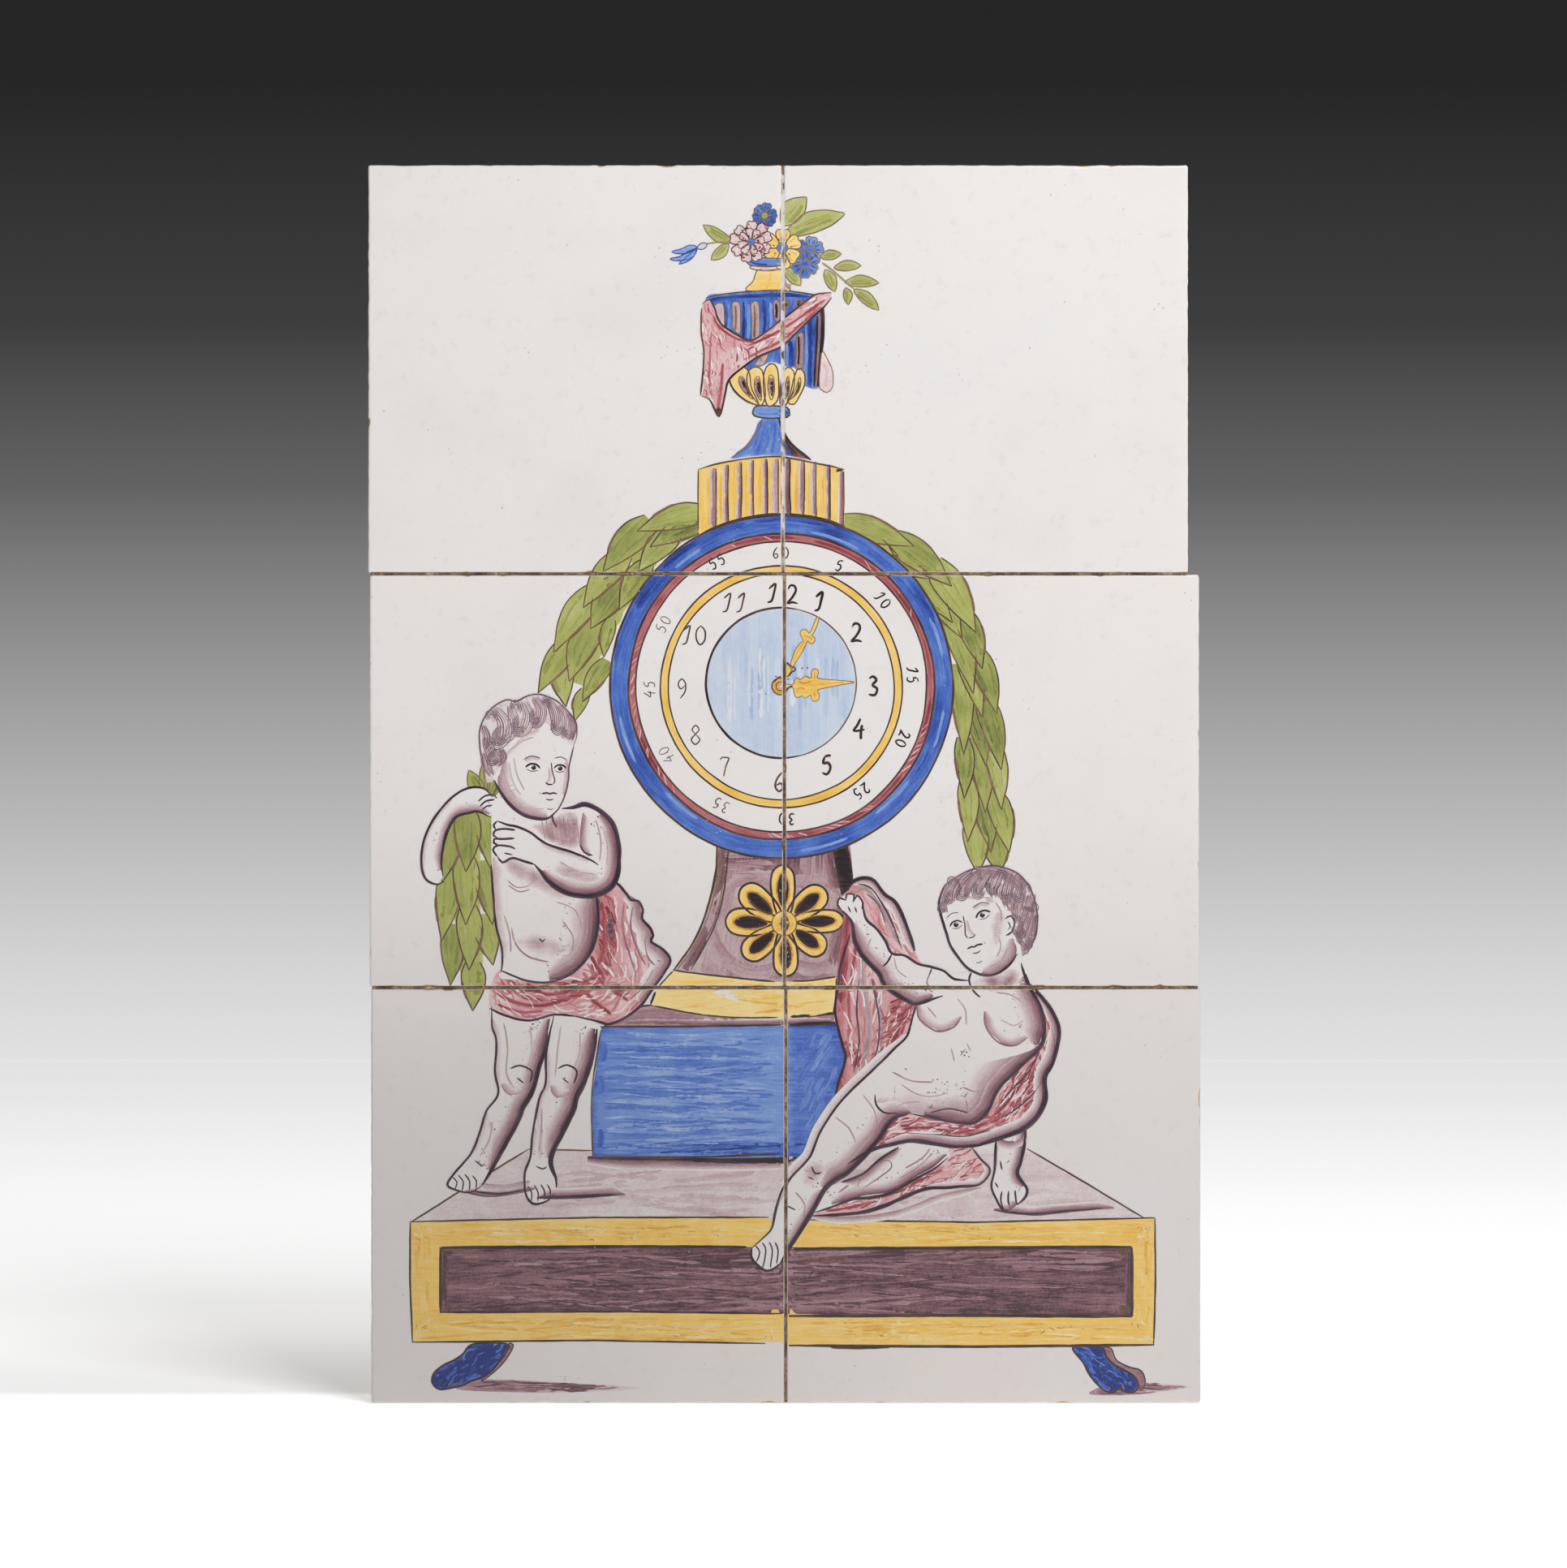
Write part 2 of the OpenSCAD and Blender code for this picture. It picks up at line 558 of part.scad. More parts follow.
left_cloth = [[-58, 160], [-50, 160], [-45, 153], [-42, 146], [-36, 139.5], [-42, 130.5], [-45.5, 125],
    [-55, 119.5], [-66, 120.5], [-78, 119.5], [-90.5, 122.5], [-91, 131.5], [-78, 129.5], [-64, 134.5],
    [-59.5, 144]];
left_lines = [[[-88.5, 181.5], [-80, 179.5], [-72, 174.5], [-65, 172.5]], [[-88.5, 170.5],
    [-78, 169.5], [-73, 163.5], [-60, 160.5]], [[-80, 166], [-79, 158]], [[-56, 157], [-50, 142],
    [-56, 124]], [[-62, 136], [-72, 127], [-87, 127]], [[-84.5, 197], [-82.5, 201]], [[-81, 194.5],
    [-78, 193.5], [-75, 195]]];
left_eyes = [[-87, 203.5], [-75.5, 204]];

module left_putto(c) {
    if (c == "cover") for (p = [left_back_leg, left_front_leg, left_trunk, left_arm, left_face])
        offset(delta = line_w / 2) blob(p);
    paint(c, "glaze") blob(left_back_leg);
    paint(c, "glaze") blob(left_front_leg);
    paint(c, "glaze") union() {
        blob(left_trunk);
        blob(left_arm);
    }
    paint(c, "glaze") blob(left_face);
    paint(c, "purple") blob(left_hair, 2);
    paint(c, "red") blob(left_cloth, 2);
    ink(c) {
        for (l = left_lines) stroke(l);
        for (e = left_eyes) translate(e) circle(line_w * 0.8, $fn = 8);
    }
}

// Putto at the right, seated on the foot and reaching up to the column
right_face = [[50, 157], [48, 150], [49, 143], [54, 137], [60, 135], [67, 137], [73, 143], [76, 152],
    [74, 161], [66, 166.5], [56, 164.5]];
right_hair = [[48.5, 156], [50.5, 161.5], [59, 168.5], [68.5, 169], [77.5, 162], [79.5, 152], [76.5, 142.5],
    [73.5, 143], [72, 152], [68, 159], [60, 161.5], [53, 159]];
right_reach = [[18, 155], [22, 151], [23, 144], [31, 134.5], [39, 126.5], [50, 126], [56, 134], [42, 138.5],
    [33.5, 142], [26, 153], [24, 160], [18.5, 159.5]];
right_trunk = [[56, 135], [46, 130], [41, 124], [35, 113], [31, 100], [30, 90], [46, 86], [60, 84],
    [74, 90], [81, 104], [82.5, 118], [77, 130], [70, 136]];
right_leg = [[36, 112], [21.5, 99], [11, 85], [0, 68.5], [-4, 55.5], [-10, 48.5], [-6, 41.5],
    [2, 48.5], [13, 67], [30, 82], [48, 88], [50, 104]];
right_low_leg = [[54, 80], [39, 81], [23.5, 69.5], [9.5, 60.5], [24, 62.5], [42, 70.5], [51, 75]];
right_hand = [[66, 86], [66, 74], [65, 67], [69.5, 60.5], [76, 66.5], [74.5, 74], [76.5, 88]];
right_cloth = [[77, 132], [84, 123.5], [86.5, 117], [84.5, 108], [82, 100], [79, 90], [71, 84.5], [60, 81],
    [46, 82.5], [29, 81], [33.5, 93], [44, 97], [58, 96], [68, 101], [77, 110], [80, 120]];
flying_cloth = [[20, 162], [25, 165.5], [31.5, 160], [38.5, 151], [41.5, 140], [34, 141.5], [26, 153]];
hanging_cloth = [[20.5, 148], [17, 132.5], [16, 122], [19, 108.5], [16, 93], [26, 101], [37, 114],
    [41, 125], [31, 133.5], [23, 143]];
spread_cloth = [[58, 81], [64.5, 74.5], [60, 68.5], [44.5, 67.5], [31, 62], [9, 59.5], [24, 63.5],
    [42, 71], [52, 76]];
right_lines = [[[45, 126], [52, 122], [57, 116]], [[62, 122], [68, 118], [74, 119]], [[44, 104],
    [52, 98], [60, 99]], [[34, 150], [35, 144]], [[22, 135], [21, 122], [23, 108]], [[30, 128],
    [29, 116]], [[75, 124], [80, 110], [75, 98]], [[64, 92], [52, 88], [38, 88]], [[58, 145],
    [56, 149]], [[56, 142.5], [59, 141.5], [62, 143]]];
right_eyes = [[55.5, 152], [65, 152.5]];

module right_putto(c) {
    paint(c, "red") blob(spread_cloth, 2);
    paint(c, "red") blob(flying_cloth, 2);
    paint(c, "red") blob(hanging_cloth, 2);
    paint(c, "glaze") blob(right_low_leg, 2);
    paint(c, "glaze") blob(right_leg, 2);
    paint(c, "glaze") union() {
        blob(right_trunk, 2);
        blob(right_reach, 2);
    }
    paint(c, "glaze") blob(right_hand, 2);
    paint(c, "red") blob(right_cloth, 2);
    paint(c, "glaze") blob(right_face, 2);
    paint(c, "purple") blob(right_hair, 2);
    ink(c) {
        for (l = right_lines) stroke(l);
        for (e = right_eyes) translate(e) circle(line_w * 0.8, $fn = 8);
    }
}

// The picture's motifs from the back to the front
first_flower = 11;
cloth_motif = first_flower + len(flowers);
figure_motif = cloth_motif + 1;
last_motif = figure_motif + 2;
module motif(i, c) {
    if (i == 0) clock_base(c);
    if (i == 1) feet(c);
    if (i == 2) steps(c);
    if (i == 3) column(c);
    if (i == 4) rosette(c);
    if (i == 5) garlands(c);
    if (i == 6) fluted_block(c);
    if (i == 7) urn_bowl(c);
    if (i == 8) urn_cup(c);
    if (i == 9) urn_stem(c);
    if (i == 10) bouquet(c);
    if (i >= first_flower && i < cloth_motif)
        let (f = flowers[i - first_flower]) flower(c, f[0], f[1], f[2], f[3]);
    if (i == cloth_motif) cloth_on_urn(c);
    if (i == figure_motif) left_putto(c);
    if (i == figure_motif + 1) right_putto(c);
    if (i == last_motif) translate(dial_at) circle(case_r + line_w);
}
dial_at = [-0.9, 225.8];
disc_at = [-1, 227];

// Where enamel may lie: the flat glaze of each tile
module glazed_faces() for (row = [0 : 2], side = [0, 1]) {
    margin = glaze_round + bare_edge;
    x0 = tile_x0(row, side) + margin;
    translate([x0, row_z[row] + margin])
        square([tile_x1(row, side) - margin - x0, row_h[row] - 2 * margin]);
}

// One pigment of some motifs, with what lies in front of it left out
module picture(c, first = 0, last = last_motif - 1) front_slab(face_y - enamel_t, face_y)
    offset(delta = enamel_gap / 2) offset(delta = -enamel_gap) intersection() {
        glazed_faces();
        for (i = [first : last]) difference() {
            motif(i, c);
            if (c != "outline") motif(i, "outline");
            for (j = [i + 1 : last_motif]) motif(j, "cover");
        }
    }

// A round band of the dial, cut where it crosses the joints
module dial_band(r_out, r_in, at = dial_at) front_slab(face_y - enamel_t, face_y) difference() {
    translate(at) circle(r_out);
    if (r_in > 0) translate(at) circle(r_in);
    dial_seams();
    children();
}

module dial_seams() {
    cut = joint_w + 2 * (glaze_round + bare_edge);
    for (row = [0 : 2]) {
        translate([seam_x(row) - cut / 2, row_z[row] - joint_w]) square([cut, row_h[row] + 2 * joint_w]);
        translate([-panel_w / 2, row_z[row] - joint_w / 2 - cut / 2]) square([panel_w, cut]);
    }
}

band_gap = line_w + enamel_gap;
red_r = case_r - case_ring_w;
chapter_r = red_r - red_band_w;

// The painted hands: two pointed leaves with scrolled shoulders
hand_hub = [-0.9, 226];
hands = [[[10.7, 247], 3, [7, 241.5]], [[22, 227.1], 4.2, [9.5, 226.8]]];
knot_out = 0.6;
knot_r = 0.35;
module painted_hands(grow) {
    for (h = hands) {
        offset(delta = grow) leaf(hand_hub, h[0], h[1]);
        along = (h[0] - hand_hub) / norm(h[0] - hand_hub);
        for (s = [-1, 1]) translate(h[2] + s * [-along[1], along[0]] * h[1] * knot_out)
            circle(h[1] * knot_r + grow, $fn = 10);
    }
    translate(hand_hub) circle(hub_r + grow, $fn = 16);
}

module enamel_blue() color("royalblue") {
    picture("blue");
    dial_band(case_r - line_w / 2, red_r + band_gap / 2);
}

module enamel_red() color("indianred") {
    picture("red");
    dial_band(red_r - band_gap / 2, chapter_r + band_gap / 2);
}

module enamel_yellow() color("gold") {
    picture("yellow");
    dial_band(yellow_r - band_gap / 2, yellow_r - yellow_w + band_gap / 2);
    front_slab(face_y - enamel_t, face_y) difference() {
        painted_hands(-enamel_gap);
        dial_seams();
    }
}

module enamel_pale_blue() color("lightsteelblue")
    dial_band(disc_r - line_w / 2, 0, disc_at) painted_hands(enamel_gap);

module enamel_outline_figures() color("#3a2a33") picture("outline", figure_motif);

module enamel_outline_clock() color("#3a2a33") {
    picture("outline", 0, figure_motif - 1);
    dial_band(case_r + line_w / 2, case_r - line_w / 2 + enamel_gap);
    for (r = [red_r, chapter_r, yellow_r, yellow_r - yellow_w]) dial_band(r + line_w / 2, r - line_w / 2);
    dial_band(disc_r + line_w / 2, disc_r - line_w / 2 + enamel_gap, disc_at);
}

module enamel_green() color("olivedrab") picture("green");
module enamel_purple() color("rosybrown") picture("purple");

tile(2, 0);  // tile_top_left
tile(2, 1);  // tile_top_right
tile(1, 0);  // tile_middle_left
tile(1, 1);  // tile_middle_right
tile(0, 0);  // tile_bottom_left
tile(0, 1);  // tile_bottom_right
grout_vertical();
grout_row(1);  // grout_lower
grout_row(2);  // grout_upper
adhesive(2, 0);  // adhesive_top_left
adhesive(2, 1);  // adhesive_top_right
adhesive(1, 0);  // adhesive_middle_left
adhesive(1, 1);  // adhesive_middle_right
adhesive(0, 0);  // adhesive_bottom_left
adhesive(0, 1);  // adhesive_bottom_right
backing_board();
hanging_cleat();
lower_spacer();
cleat_screws();
spacer_screws();
felt_pads();
enamel_blue();
enamel_pale_blue();
enamel_yellow();
enamel_green();
enamel_red();
enamel_purple();
enamel_outline_clock();
enamel_outline_figures();
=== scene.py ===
"""Looks of the tile picture of a mantel clock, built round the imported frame."""

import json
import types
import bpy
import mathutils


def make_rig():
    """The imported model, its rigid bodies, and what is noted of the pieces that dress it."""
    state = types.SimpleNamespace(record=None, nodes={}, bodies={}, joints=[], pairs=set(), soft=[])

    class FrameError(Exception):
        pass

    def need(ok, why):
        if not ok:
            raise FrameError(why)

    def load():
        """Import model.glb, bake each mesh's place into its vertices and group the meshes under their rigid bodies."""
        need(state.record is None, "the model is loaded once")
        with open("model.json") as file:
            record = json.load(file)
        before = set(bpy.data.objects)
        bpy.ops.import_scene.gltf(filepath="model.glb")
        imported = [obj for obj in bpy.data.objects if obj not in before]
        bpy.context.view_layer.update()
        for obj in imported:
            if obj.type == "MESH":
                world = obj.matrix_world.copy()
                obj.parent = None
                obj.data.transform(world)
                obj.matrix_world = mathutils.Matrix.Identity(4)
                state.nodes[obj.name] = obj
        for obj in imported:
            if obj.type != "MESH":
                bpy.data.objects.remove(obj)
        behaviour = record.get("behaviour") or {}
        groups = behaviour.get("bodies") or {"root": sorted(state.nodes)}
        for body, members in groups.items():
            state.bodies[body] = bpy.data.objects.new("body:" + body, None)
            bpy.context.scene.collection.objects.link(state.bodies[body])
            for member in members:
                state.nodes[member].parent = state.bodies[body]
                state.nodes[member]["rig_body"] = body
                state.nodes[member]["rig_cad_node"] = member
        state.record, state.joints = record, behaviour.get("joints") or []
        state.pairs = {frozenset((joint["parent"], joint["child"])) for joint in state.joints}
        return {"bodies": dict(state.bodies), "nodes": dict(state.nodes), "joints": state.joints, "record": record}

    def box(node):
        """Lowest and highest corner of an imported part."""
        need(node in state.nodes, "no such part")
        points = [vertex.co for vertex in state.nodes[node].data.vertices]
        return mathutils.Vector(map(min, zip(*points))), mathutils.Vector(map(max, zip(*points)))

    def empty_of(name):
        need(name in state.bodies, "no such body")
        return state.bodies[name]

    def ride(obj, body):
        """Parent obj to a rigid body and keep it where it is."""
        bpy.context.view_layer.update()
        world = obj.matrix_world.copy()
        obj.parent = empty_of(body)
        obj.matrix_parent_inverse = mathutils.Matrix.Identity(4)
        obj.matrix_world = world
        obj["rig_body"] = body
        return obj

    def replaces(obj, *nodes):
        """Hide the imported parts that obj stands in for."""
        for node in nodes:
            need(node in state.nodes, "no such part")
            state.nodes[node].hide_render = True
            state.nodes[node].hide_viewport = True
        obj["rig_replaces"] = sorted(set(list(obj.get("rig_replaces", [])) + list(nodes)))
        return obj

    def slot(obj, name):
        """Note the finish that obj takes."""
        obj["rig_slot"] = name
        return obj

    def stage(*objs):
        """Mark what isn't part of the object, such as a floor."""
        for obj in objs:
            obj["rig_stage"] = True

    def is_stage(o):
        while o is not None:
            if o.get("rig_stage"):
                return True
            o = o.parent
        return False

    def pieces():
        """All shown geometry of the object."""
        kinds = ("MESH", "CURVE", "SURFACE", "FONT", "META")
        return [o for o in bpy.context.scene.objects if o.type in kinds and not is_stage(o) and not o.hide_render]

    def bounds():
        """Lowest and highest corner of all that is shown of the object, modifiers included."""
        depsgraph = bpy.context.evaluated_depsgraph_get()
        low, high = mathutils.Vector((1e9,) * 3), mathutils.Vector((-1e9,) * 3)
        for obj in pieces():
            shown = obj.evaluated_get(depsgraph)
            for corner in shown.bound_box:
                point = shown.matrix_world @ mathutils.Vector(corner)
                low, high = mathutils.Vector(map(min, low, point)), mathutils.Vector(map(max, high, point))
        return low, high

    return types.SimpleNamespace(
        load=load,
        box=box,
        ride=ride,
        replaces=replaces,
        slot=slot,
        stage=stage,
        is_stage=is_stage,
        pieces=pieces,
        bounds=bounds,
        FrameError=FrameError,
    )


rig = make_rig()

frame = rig.load()

import bmesh
import bpy
import json
import math
import random
from mathutils import Vector, noise
from mathutils.geometry import delaunay_2d_cdt

cad_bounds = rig.bounds()
MM = 0.001
rng = random.Random(17)

# Places in the frame, in millimetres: x to the right, z up, both on the painted face
TILE_NAMES = ("tile_bottom_left", "tile_bottom_right", "tile_middle_left", "tile_middle_right",
              "tile_top_left", "tile_top_right")


def box_mm(node):
    """Low and high corner of a node of the frame, in millimetres."""
    low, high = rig.box(node)
    return [c / MM for c in low], [c / MM for c in high]


TILES = {name: box_mm(name) for name in TILE_NAMES}
FACE_Y = TILES["tile_bottom_left"][0][1]
TILE_T = TILES["tile_bottom_left"][1][1] - FACE_Y


# Shared helpers
def linear(code):
    """An sRGB hex code as a linear colour."""
    parts = [int(code[i:i + 2], 16) / 255 for i in (0, 2, 4)]
    return tuple(c / 12.92 if c <= 0.04045 else ((c + 0.055) / 1.055) ** 2.4 for c in parts) + (1.0,)


def mesh_mm(name, verts, faces):
    """A mesh from places in millimetres."""
    data = bpy.data.meshes.new(name)
    data.from_pydata([(x * MM, y * MM, z * MM) for x, y, z in verts], [], faces)
    return data


def add_object(name, data):
    obj = bpy.data.objects.new(name, data)
    bpy.context.scene.collection.objects.link(obj)
    return obj


def write_attribute(data, name, kind, field, values):
    """Writes one value for each point of a mesh."""
    data.attributes.new(name, kind, "POINT").data.foreach_set(field, values)


def wander(x, y, z):
    """Smooth noise, between about -1 and 1."""
    return noise.noise(Vector((x, y, z)))


# Camera
PHOTO_PX = 1931
MM_PER_PX = 0.2559
PANEL_MID_PX = 966.5
PANEL_FOOT_PX = 1728.0
LENS_MM = 100.0
SENSOR_MM = 36.0


def make_camera():
    """A camera straight in front of the face, as far off as gives the photo's scale there."""
    view_w = PHOTO_PX * MM_PER_PX
    distance = view_w * LENS_MM / SENSOR_MM
    cam = bpy.data.cameras.new("camera")
    cam.lens = LENS_MM
    cam.sensor_width = SENSOR_MM
    cam.clip_end = 20
    obj = add_object("camera", cam)
    x = (PHOTO_PX / 2 - PANEL_MID_PX) * MM_PER_PX
    z = (PANEL_FOOT_PX - PHOTO_PX / 2) * MM_PER_PX
    obj.location = (x * MM, (FACE_Y - distance) * MM, z * MM)
    obj.rotation_euler = (math.radians(90), 0, 0)
    bpy.context.scene.camera = obj


# Surface of the glaze: gently wavy, and falling away at each tile's edge
WAVE_MM, WAVE_PER_MM = 0.10, 0.025
RIPPLE_MM, RIPPLE_PER_MM = 0.025, 0.14
EDGE_DROP = 0.10
EDGE_REACH = 0.5
ROLL_DROP = 0.30
ROLL_REACH, ROLL_VARIES, ROLL_PER_MM = 0.9, 0.6, 0.04
ROLLED_TILES = ("tile_top_right", "tile_middle_right")


def edge_distance(name, x, z):
    """How far a point of a tile lies from the tile's nearest side."""
    low, high = TILES[name]
    return max(0.0, min(x - low[0], high[0] - x, z - low[2], high[2] - z))


def swell(name, x, z):
    """How far the glaze stands proud of the frame's face, in millimetres."""
    k = TILE_NAMES.index(name) * 7.3
    wave = WAVE_MM * wander(x * WAVE_PER_MM + k, z * WAVE_PER_MM, k)
    ripple = RIPPLE_MM * wander(x * RIPPLE_PER_MM, z * RIPPLE_PER_MM, k)
    roll = 0.0
    if name in ROLLED_TILES:
        # The rolled edge on the panel's right catches the light
        reach = ROLL_REACH + ROLL_VARIES * wander(z * ROLL_PER_MM, k, 0.0)
        roll = ROLL_DROP * math.exp((x - TILES[name][1][0]) / reach)
    return wave + ripple - roll - EDGE_DROP * math.exp(-edge_distance(name, x, z) / EDGE_REACH)


# Curves
def smooth(points, closed=False, step=1.1):
    """Points along a smooth curve through the given ones, about step apart."""
    n = len(points)
    out = []
    spans = n if closed else n - 1
    for i in range(spans):
        if closed:
            a, b, c, d = (points[(i + k) % n] for k in (-1, 0, 1, 2))
        else:
            a, b, c, d = points[max(i - 1, 0)], points[i], points[i + 1], points[min(i + 2, n - 1)]
        pieces = max(1, round(math.dist(b, c) / step))
        for k in range(pieces):
            t = k / pieces
            out.append(tuple(0.5 * (2 * b[j] + (c[j] - a[j]) * t
                                    + (2 * a[j] - 5 * b[j] + 4 * c[j] - d[j]) * t * t
                                    + (3 * b[j] - a[j] - 3 * c[j] + d[j]) * t ** 3) for j in (0, 1)))
    if not closed:
        out.append(tuple(points[-1]))
    return out


def straight(points, closed=False, step=3.0):
    """Points along straight sides."""
    n = len(points)
    out = []
    for i in range(n if closed else n - 1):
        b, c = points[i], points[(i + 1) % n]
        pieces = max(1, round(math.dist(b, c) / step))
        out += [tuple(b[j] + (c[j] - b[j]) * k / pieces for j in (0, 1)) for k in range(pieces)]
    if not closed:
        out.append(tuple(points[-1]))
    return out


def sides(path, closed=False):
    """Unit normals to the left of a path."""
    n = len(path)
    out = []
    for i in range(n):
        if closed:
            a, b = path[i - 1], path[(i + 1) % n]
        else:
            a, b = path[max(i - 1, 0)], path[min(i + 1, n - 1)]
        dx, dz = b[0] - a[0], b[1] - a[1]
        length = math.hypot(dx, dz) or 1.0
        out.append((-dz / length, dx / length))
    return out


def arc(centre, radius, start, end, step=1.5):
    """Points along an arc between two angles in degrees."""
    count = max(3, round(abs(end - start) / 360 * 2 * math.pi * radius / step))
    return [(centre[0] + radius * math.cos(math.radians(start + (end - start) * i / count)),
             centre[1] + radius * math.sin(math.radians(start + (end - start) * i / count)))
            for i in range(count + 1)]


def moved(points, at=(0, 0), turn=0.0, scale=1.0, flip=False):
    """The points mirrored, scaled, turned and put at a place."""
    c, s = math.cos(math.radians(turn)), math.sin(math.radians(turn))
    out = []
    for x, z in points:
        x = -x if flip else x
        x, z = x * scale, z * scale
        out.append((at[0] + x * c - z * s, at[1] + x * s + z * c))
    return out


def part(outline, first, last):
    """The outline's points from first to last, both included; backwards where last is the lower."""
    step = 1 if last >= first else -1
    return [outline[i % len(outline)] for i in range(first, last + step, step)]


def extent(outline):
    """Least and greatest x, then least and greatest z."""
    xs, zs = zip(*outline)
    return min(xs), max(xs), min(zs), max(zs)


def inside(point, outline):
    """Whether a point lies inside a closed outline."""
    x, z = point
    hit = False
    n = len(outline)
    for i in range(n):
        x0, z0 = outline[i]
        x1, z1 = outline[(i + 1) % n]
        if (z0 > z) != (z1 > z) and x < (x1 - x0) * (z - z0) / (z1 - z0) + x0:
            hit = not hit
    return hit


# The painter: flat pieces of enamel, gathered by pigment and laid over the glaze at the end
# Height of one level, of the lowest one and of the hidden underside, and how much lower a rim lies
LEVEL_MM = 0.012
FIRST_MM = 0.03
ROOT_MM = -0.04
RIM_MM = 0.005
# The grid inside a wash: height of its rows, and its clearance from the edge, as shares of the mesh
MESH_ROW, MESH_CLEAR = 0.87, 0.45
# The brush: how soon it spreads to its full width, and how its path, pressure and load vary
STROKE_SPREAD, SHADE_SPREAD = 3.2, 2.2
SWAY_PER_MM = 0.35
PRESS_VARIES, PRESS_PER_MM = 0.22, 0.22
LOAD_VARIES, LOAD_PER_MM = 0.18, 0.12


class Pigment:
    """The flat pieces of one pigment, as they are painted."""

    def __init__(self, name):
        self.name = name
        self.verts = []
        self.faces = []

    def add(self, points, faces):
        """points: (x, z, level, load, along, across, seed)."""
        start = len(self.verts)
        self.verts += points
        self.faces += [tuple(start + i for i in f) for f in faces]


PIGMENTS = {name: Pigment(name) for name in
            ("blue", "pale_blue", "yellow", "green", "red", "purple", "clock_line", "figure_line", "white")}


def inner_points(outline, mesh):
    """Points of a triangular grid inside an outline, kept clear of the outline's own points."""
    x0, x1, z0, z1 = extent(outline)
    found = []
    z = z0 + mesh * 0.5
    row = 0
    while z < z1:
        x = x0 + mesh * (0.5 if row % 2 else 1.0)
        while x < x1:
            if inside((x, z), outline):
                if min((x - p[0]) ** 2 + (z - p[1]) ** 2 for p in outline) > (mesh * MESH_CLEAR) ** 2:
                    found.append((x, z))
            x += mesh
        z += mesh * MESH_ROW
        row += 1
    return found


def fill(pigment, outline, level, load=0.7, grain=0.0, rim=0.8, mesh=3.2, shade=None):
    """A washed area. grain is the brush's direction in degrees; shade(x, z) multiplies the load."""
    seed = rng.random() * 90
    border = len(outline)
    coords = list(outline) + inner_points(outline, mesh)
    edges = [(i, (i + 1) % border) for i in range(border)]
    verts, _, faces, sources = delaunay_2d_cdt([Vector(c) for c in coords], edges, [], 1, 1e-4)[:4]
    c, s = math.cos(math.radians(grain)), math.sin(math.radians(grain))
    points = []
    for (x, z), source in zip(verts, sources):
        edge = any(i < border for i in source) or not source
        amount = load * (rim if edge else 1.0)
        if shade:
            amount *= shade(x, z)
        points.append((x, z, level, amount, x * c + z * s, z * c - x * s, seed))
    PIGMENTS[pigment].add(points, faces)


def patch(pigment, points, level, load, step=1, **more):
    """A washed area inside the smooth outline through the points; returns that outline."""
    outline = smooth(points, True, step)
    fill(pigment, outline, level, load, **more)
    return outline


def strip_faces(n, rows, closed=False):
    """Quads between n places along a path, each with rows + 1 points across."""
    faces = []
    for i in range(n if closed else n - 1):
        a, b = i * (rows + 1), ((i + 1) % n) * (rows + 1)
        faces += [(a + k, b + k, b + k + 1, a + k + 1) for k in range(rows)]
    return faces


def stroke(pigment, path, width, level, load=0.9, ends=0.3, closed=False, wobble=0.08, soft=0.75):
    """A brush stroke along a path, thinner at its ends. width is a number or a function of 0 to 1."""
    seed = rng.random() * 90
    n = len(path)
    normals = sides(path, closed)
    along = 0.0
    points = []
    for i, (p, nrm) in enumerate(zip(path, normals)):
        if i:
            along += math.dist(p, path[i - 1])
        t = i / max(n - 1, 1)
        half = (width(t) if callable(width) else width) / 2
        if not closed:
            half *= ends + (1 - ends) * min(1.0, STROKE_SPREAD * math.sin(math.pi * t)) if ends < 1 else 1
        sway = wobble * wander(p[0] * SWAY_PER_MM, p[1] * SWAY_PER_MM, seed)
        half *= 1 + PRESS_VARIES * wander(p[0] * PRESS_PER_MM, p[1] * PRESS_PER_MM, seed + 5)
        amount = load * (1 + LOAD_VARIES * wander(p[0] * LOAD_PER_MM, p[1] * LOAD_PER_MM, seed + 9))
        for k, share in ((-1, soft), (0, 1.0), (1, soft)):
            d = k * half + sway
            points.append((p[0] + nrm[0] * d, p[1] + nrm[1] * d, level, amount * share, along, k * half,
                           seed))
    PIGMENTS[pigment].add(points, strip_faces(n, 2, closed))


def shade(pigment, path, width, level, load=0.6, rows=3, power=1.3, ends=0.15, closed=False, base=0.0):
    """A soft shadow: full along the path, and no more than the base at a distance of width to its left.

    A negative width puts it on the right.
    """
    seed = rng.random() * 90
    n = len(path)
    normals = sides(path, closed)
    points = []
    along = 0.0
    for i, (p, nrm) in enumerate(zip(path, normals)):
        if i:
            along += math.dist(p, path[i - 1])
        t = i / max(n - 1, 1)
        reach = width
        if not closed:
            reach = width * (ends + (1 - ends) * min(1.0, SHADE_SPREAD * math.sin(math.pi * t)))
        for k in range(rows + 1):
            d = reach * k / rows
            amount = base + (load - base) * (1 - k / rows) ** power
            points.append((p[0] + nrm[0] * d, p[1] + nrm[1] * d, level, amount, along, d, seed))
    PIGMENTS[pigment].add(points, strip_faces(n, rows, closed))


def curve(pigment, points, width, level, load=0.9, ends=0.3, step=1, **more):
    """A brush stroke along a smooth curve through the points."""
    stroke(pigment, smooth(points, step=step), width, level, load, ends, **more)


def shadow(points, width, level, load=0.6, rows=3, power=1.3, ends=0.15, base=0.0, step=1):
    """A soft purple shadow beside a smooth curve through the points."""
    shade("purple", smooth(points, step=step), width, level, load, rows, power, ends, base=base)


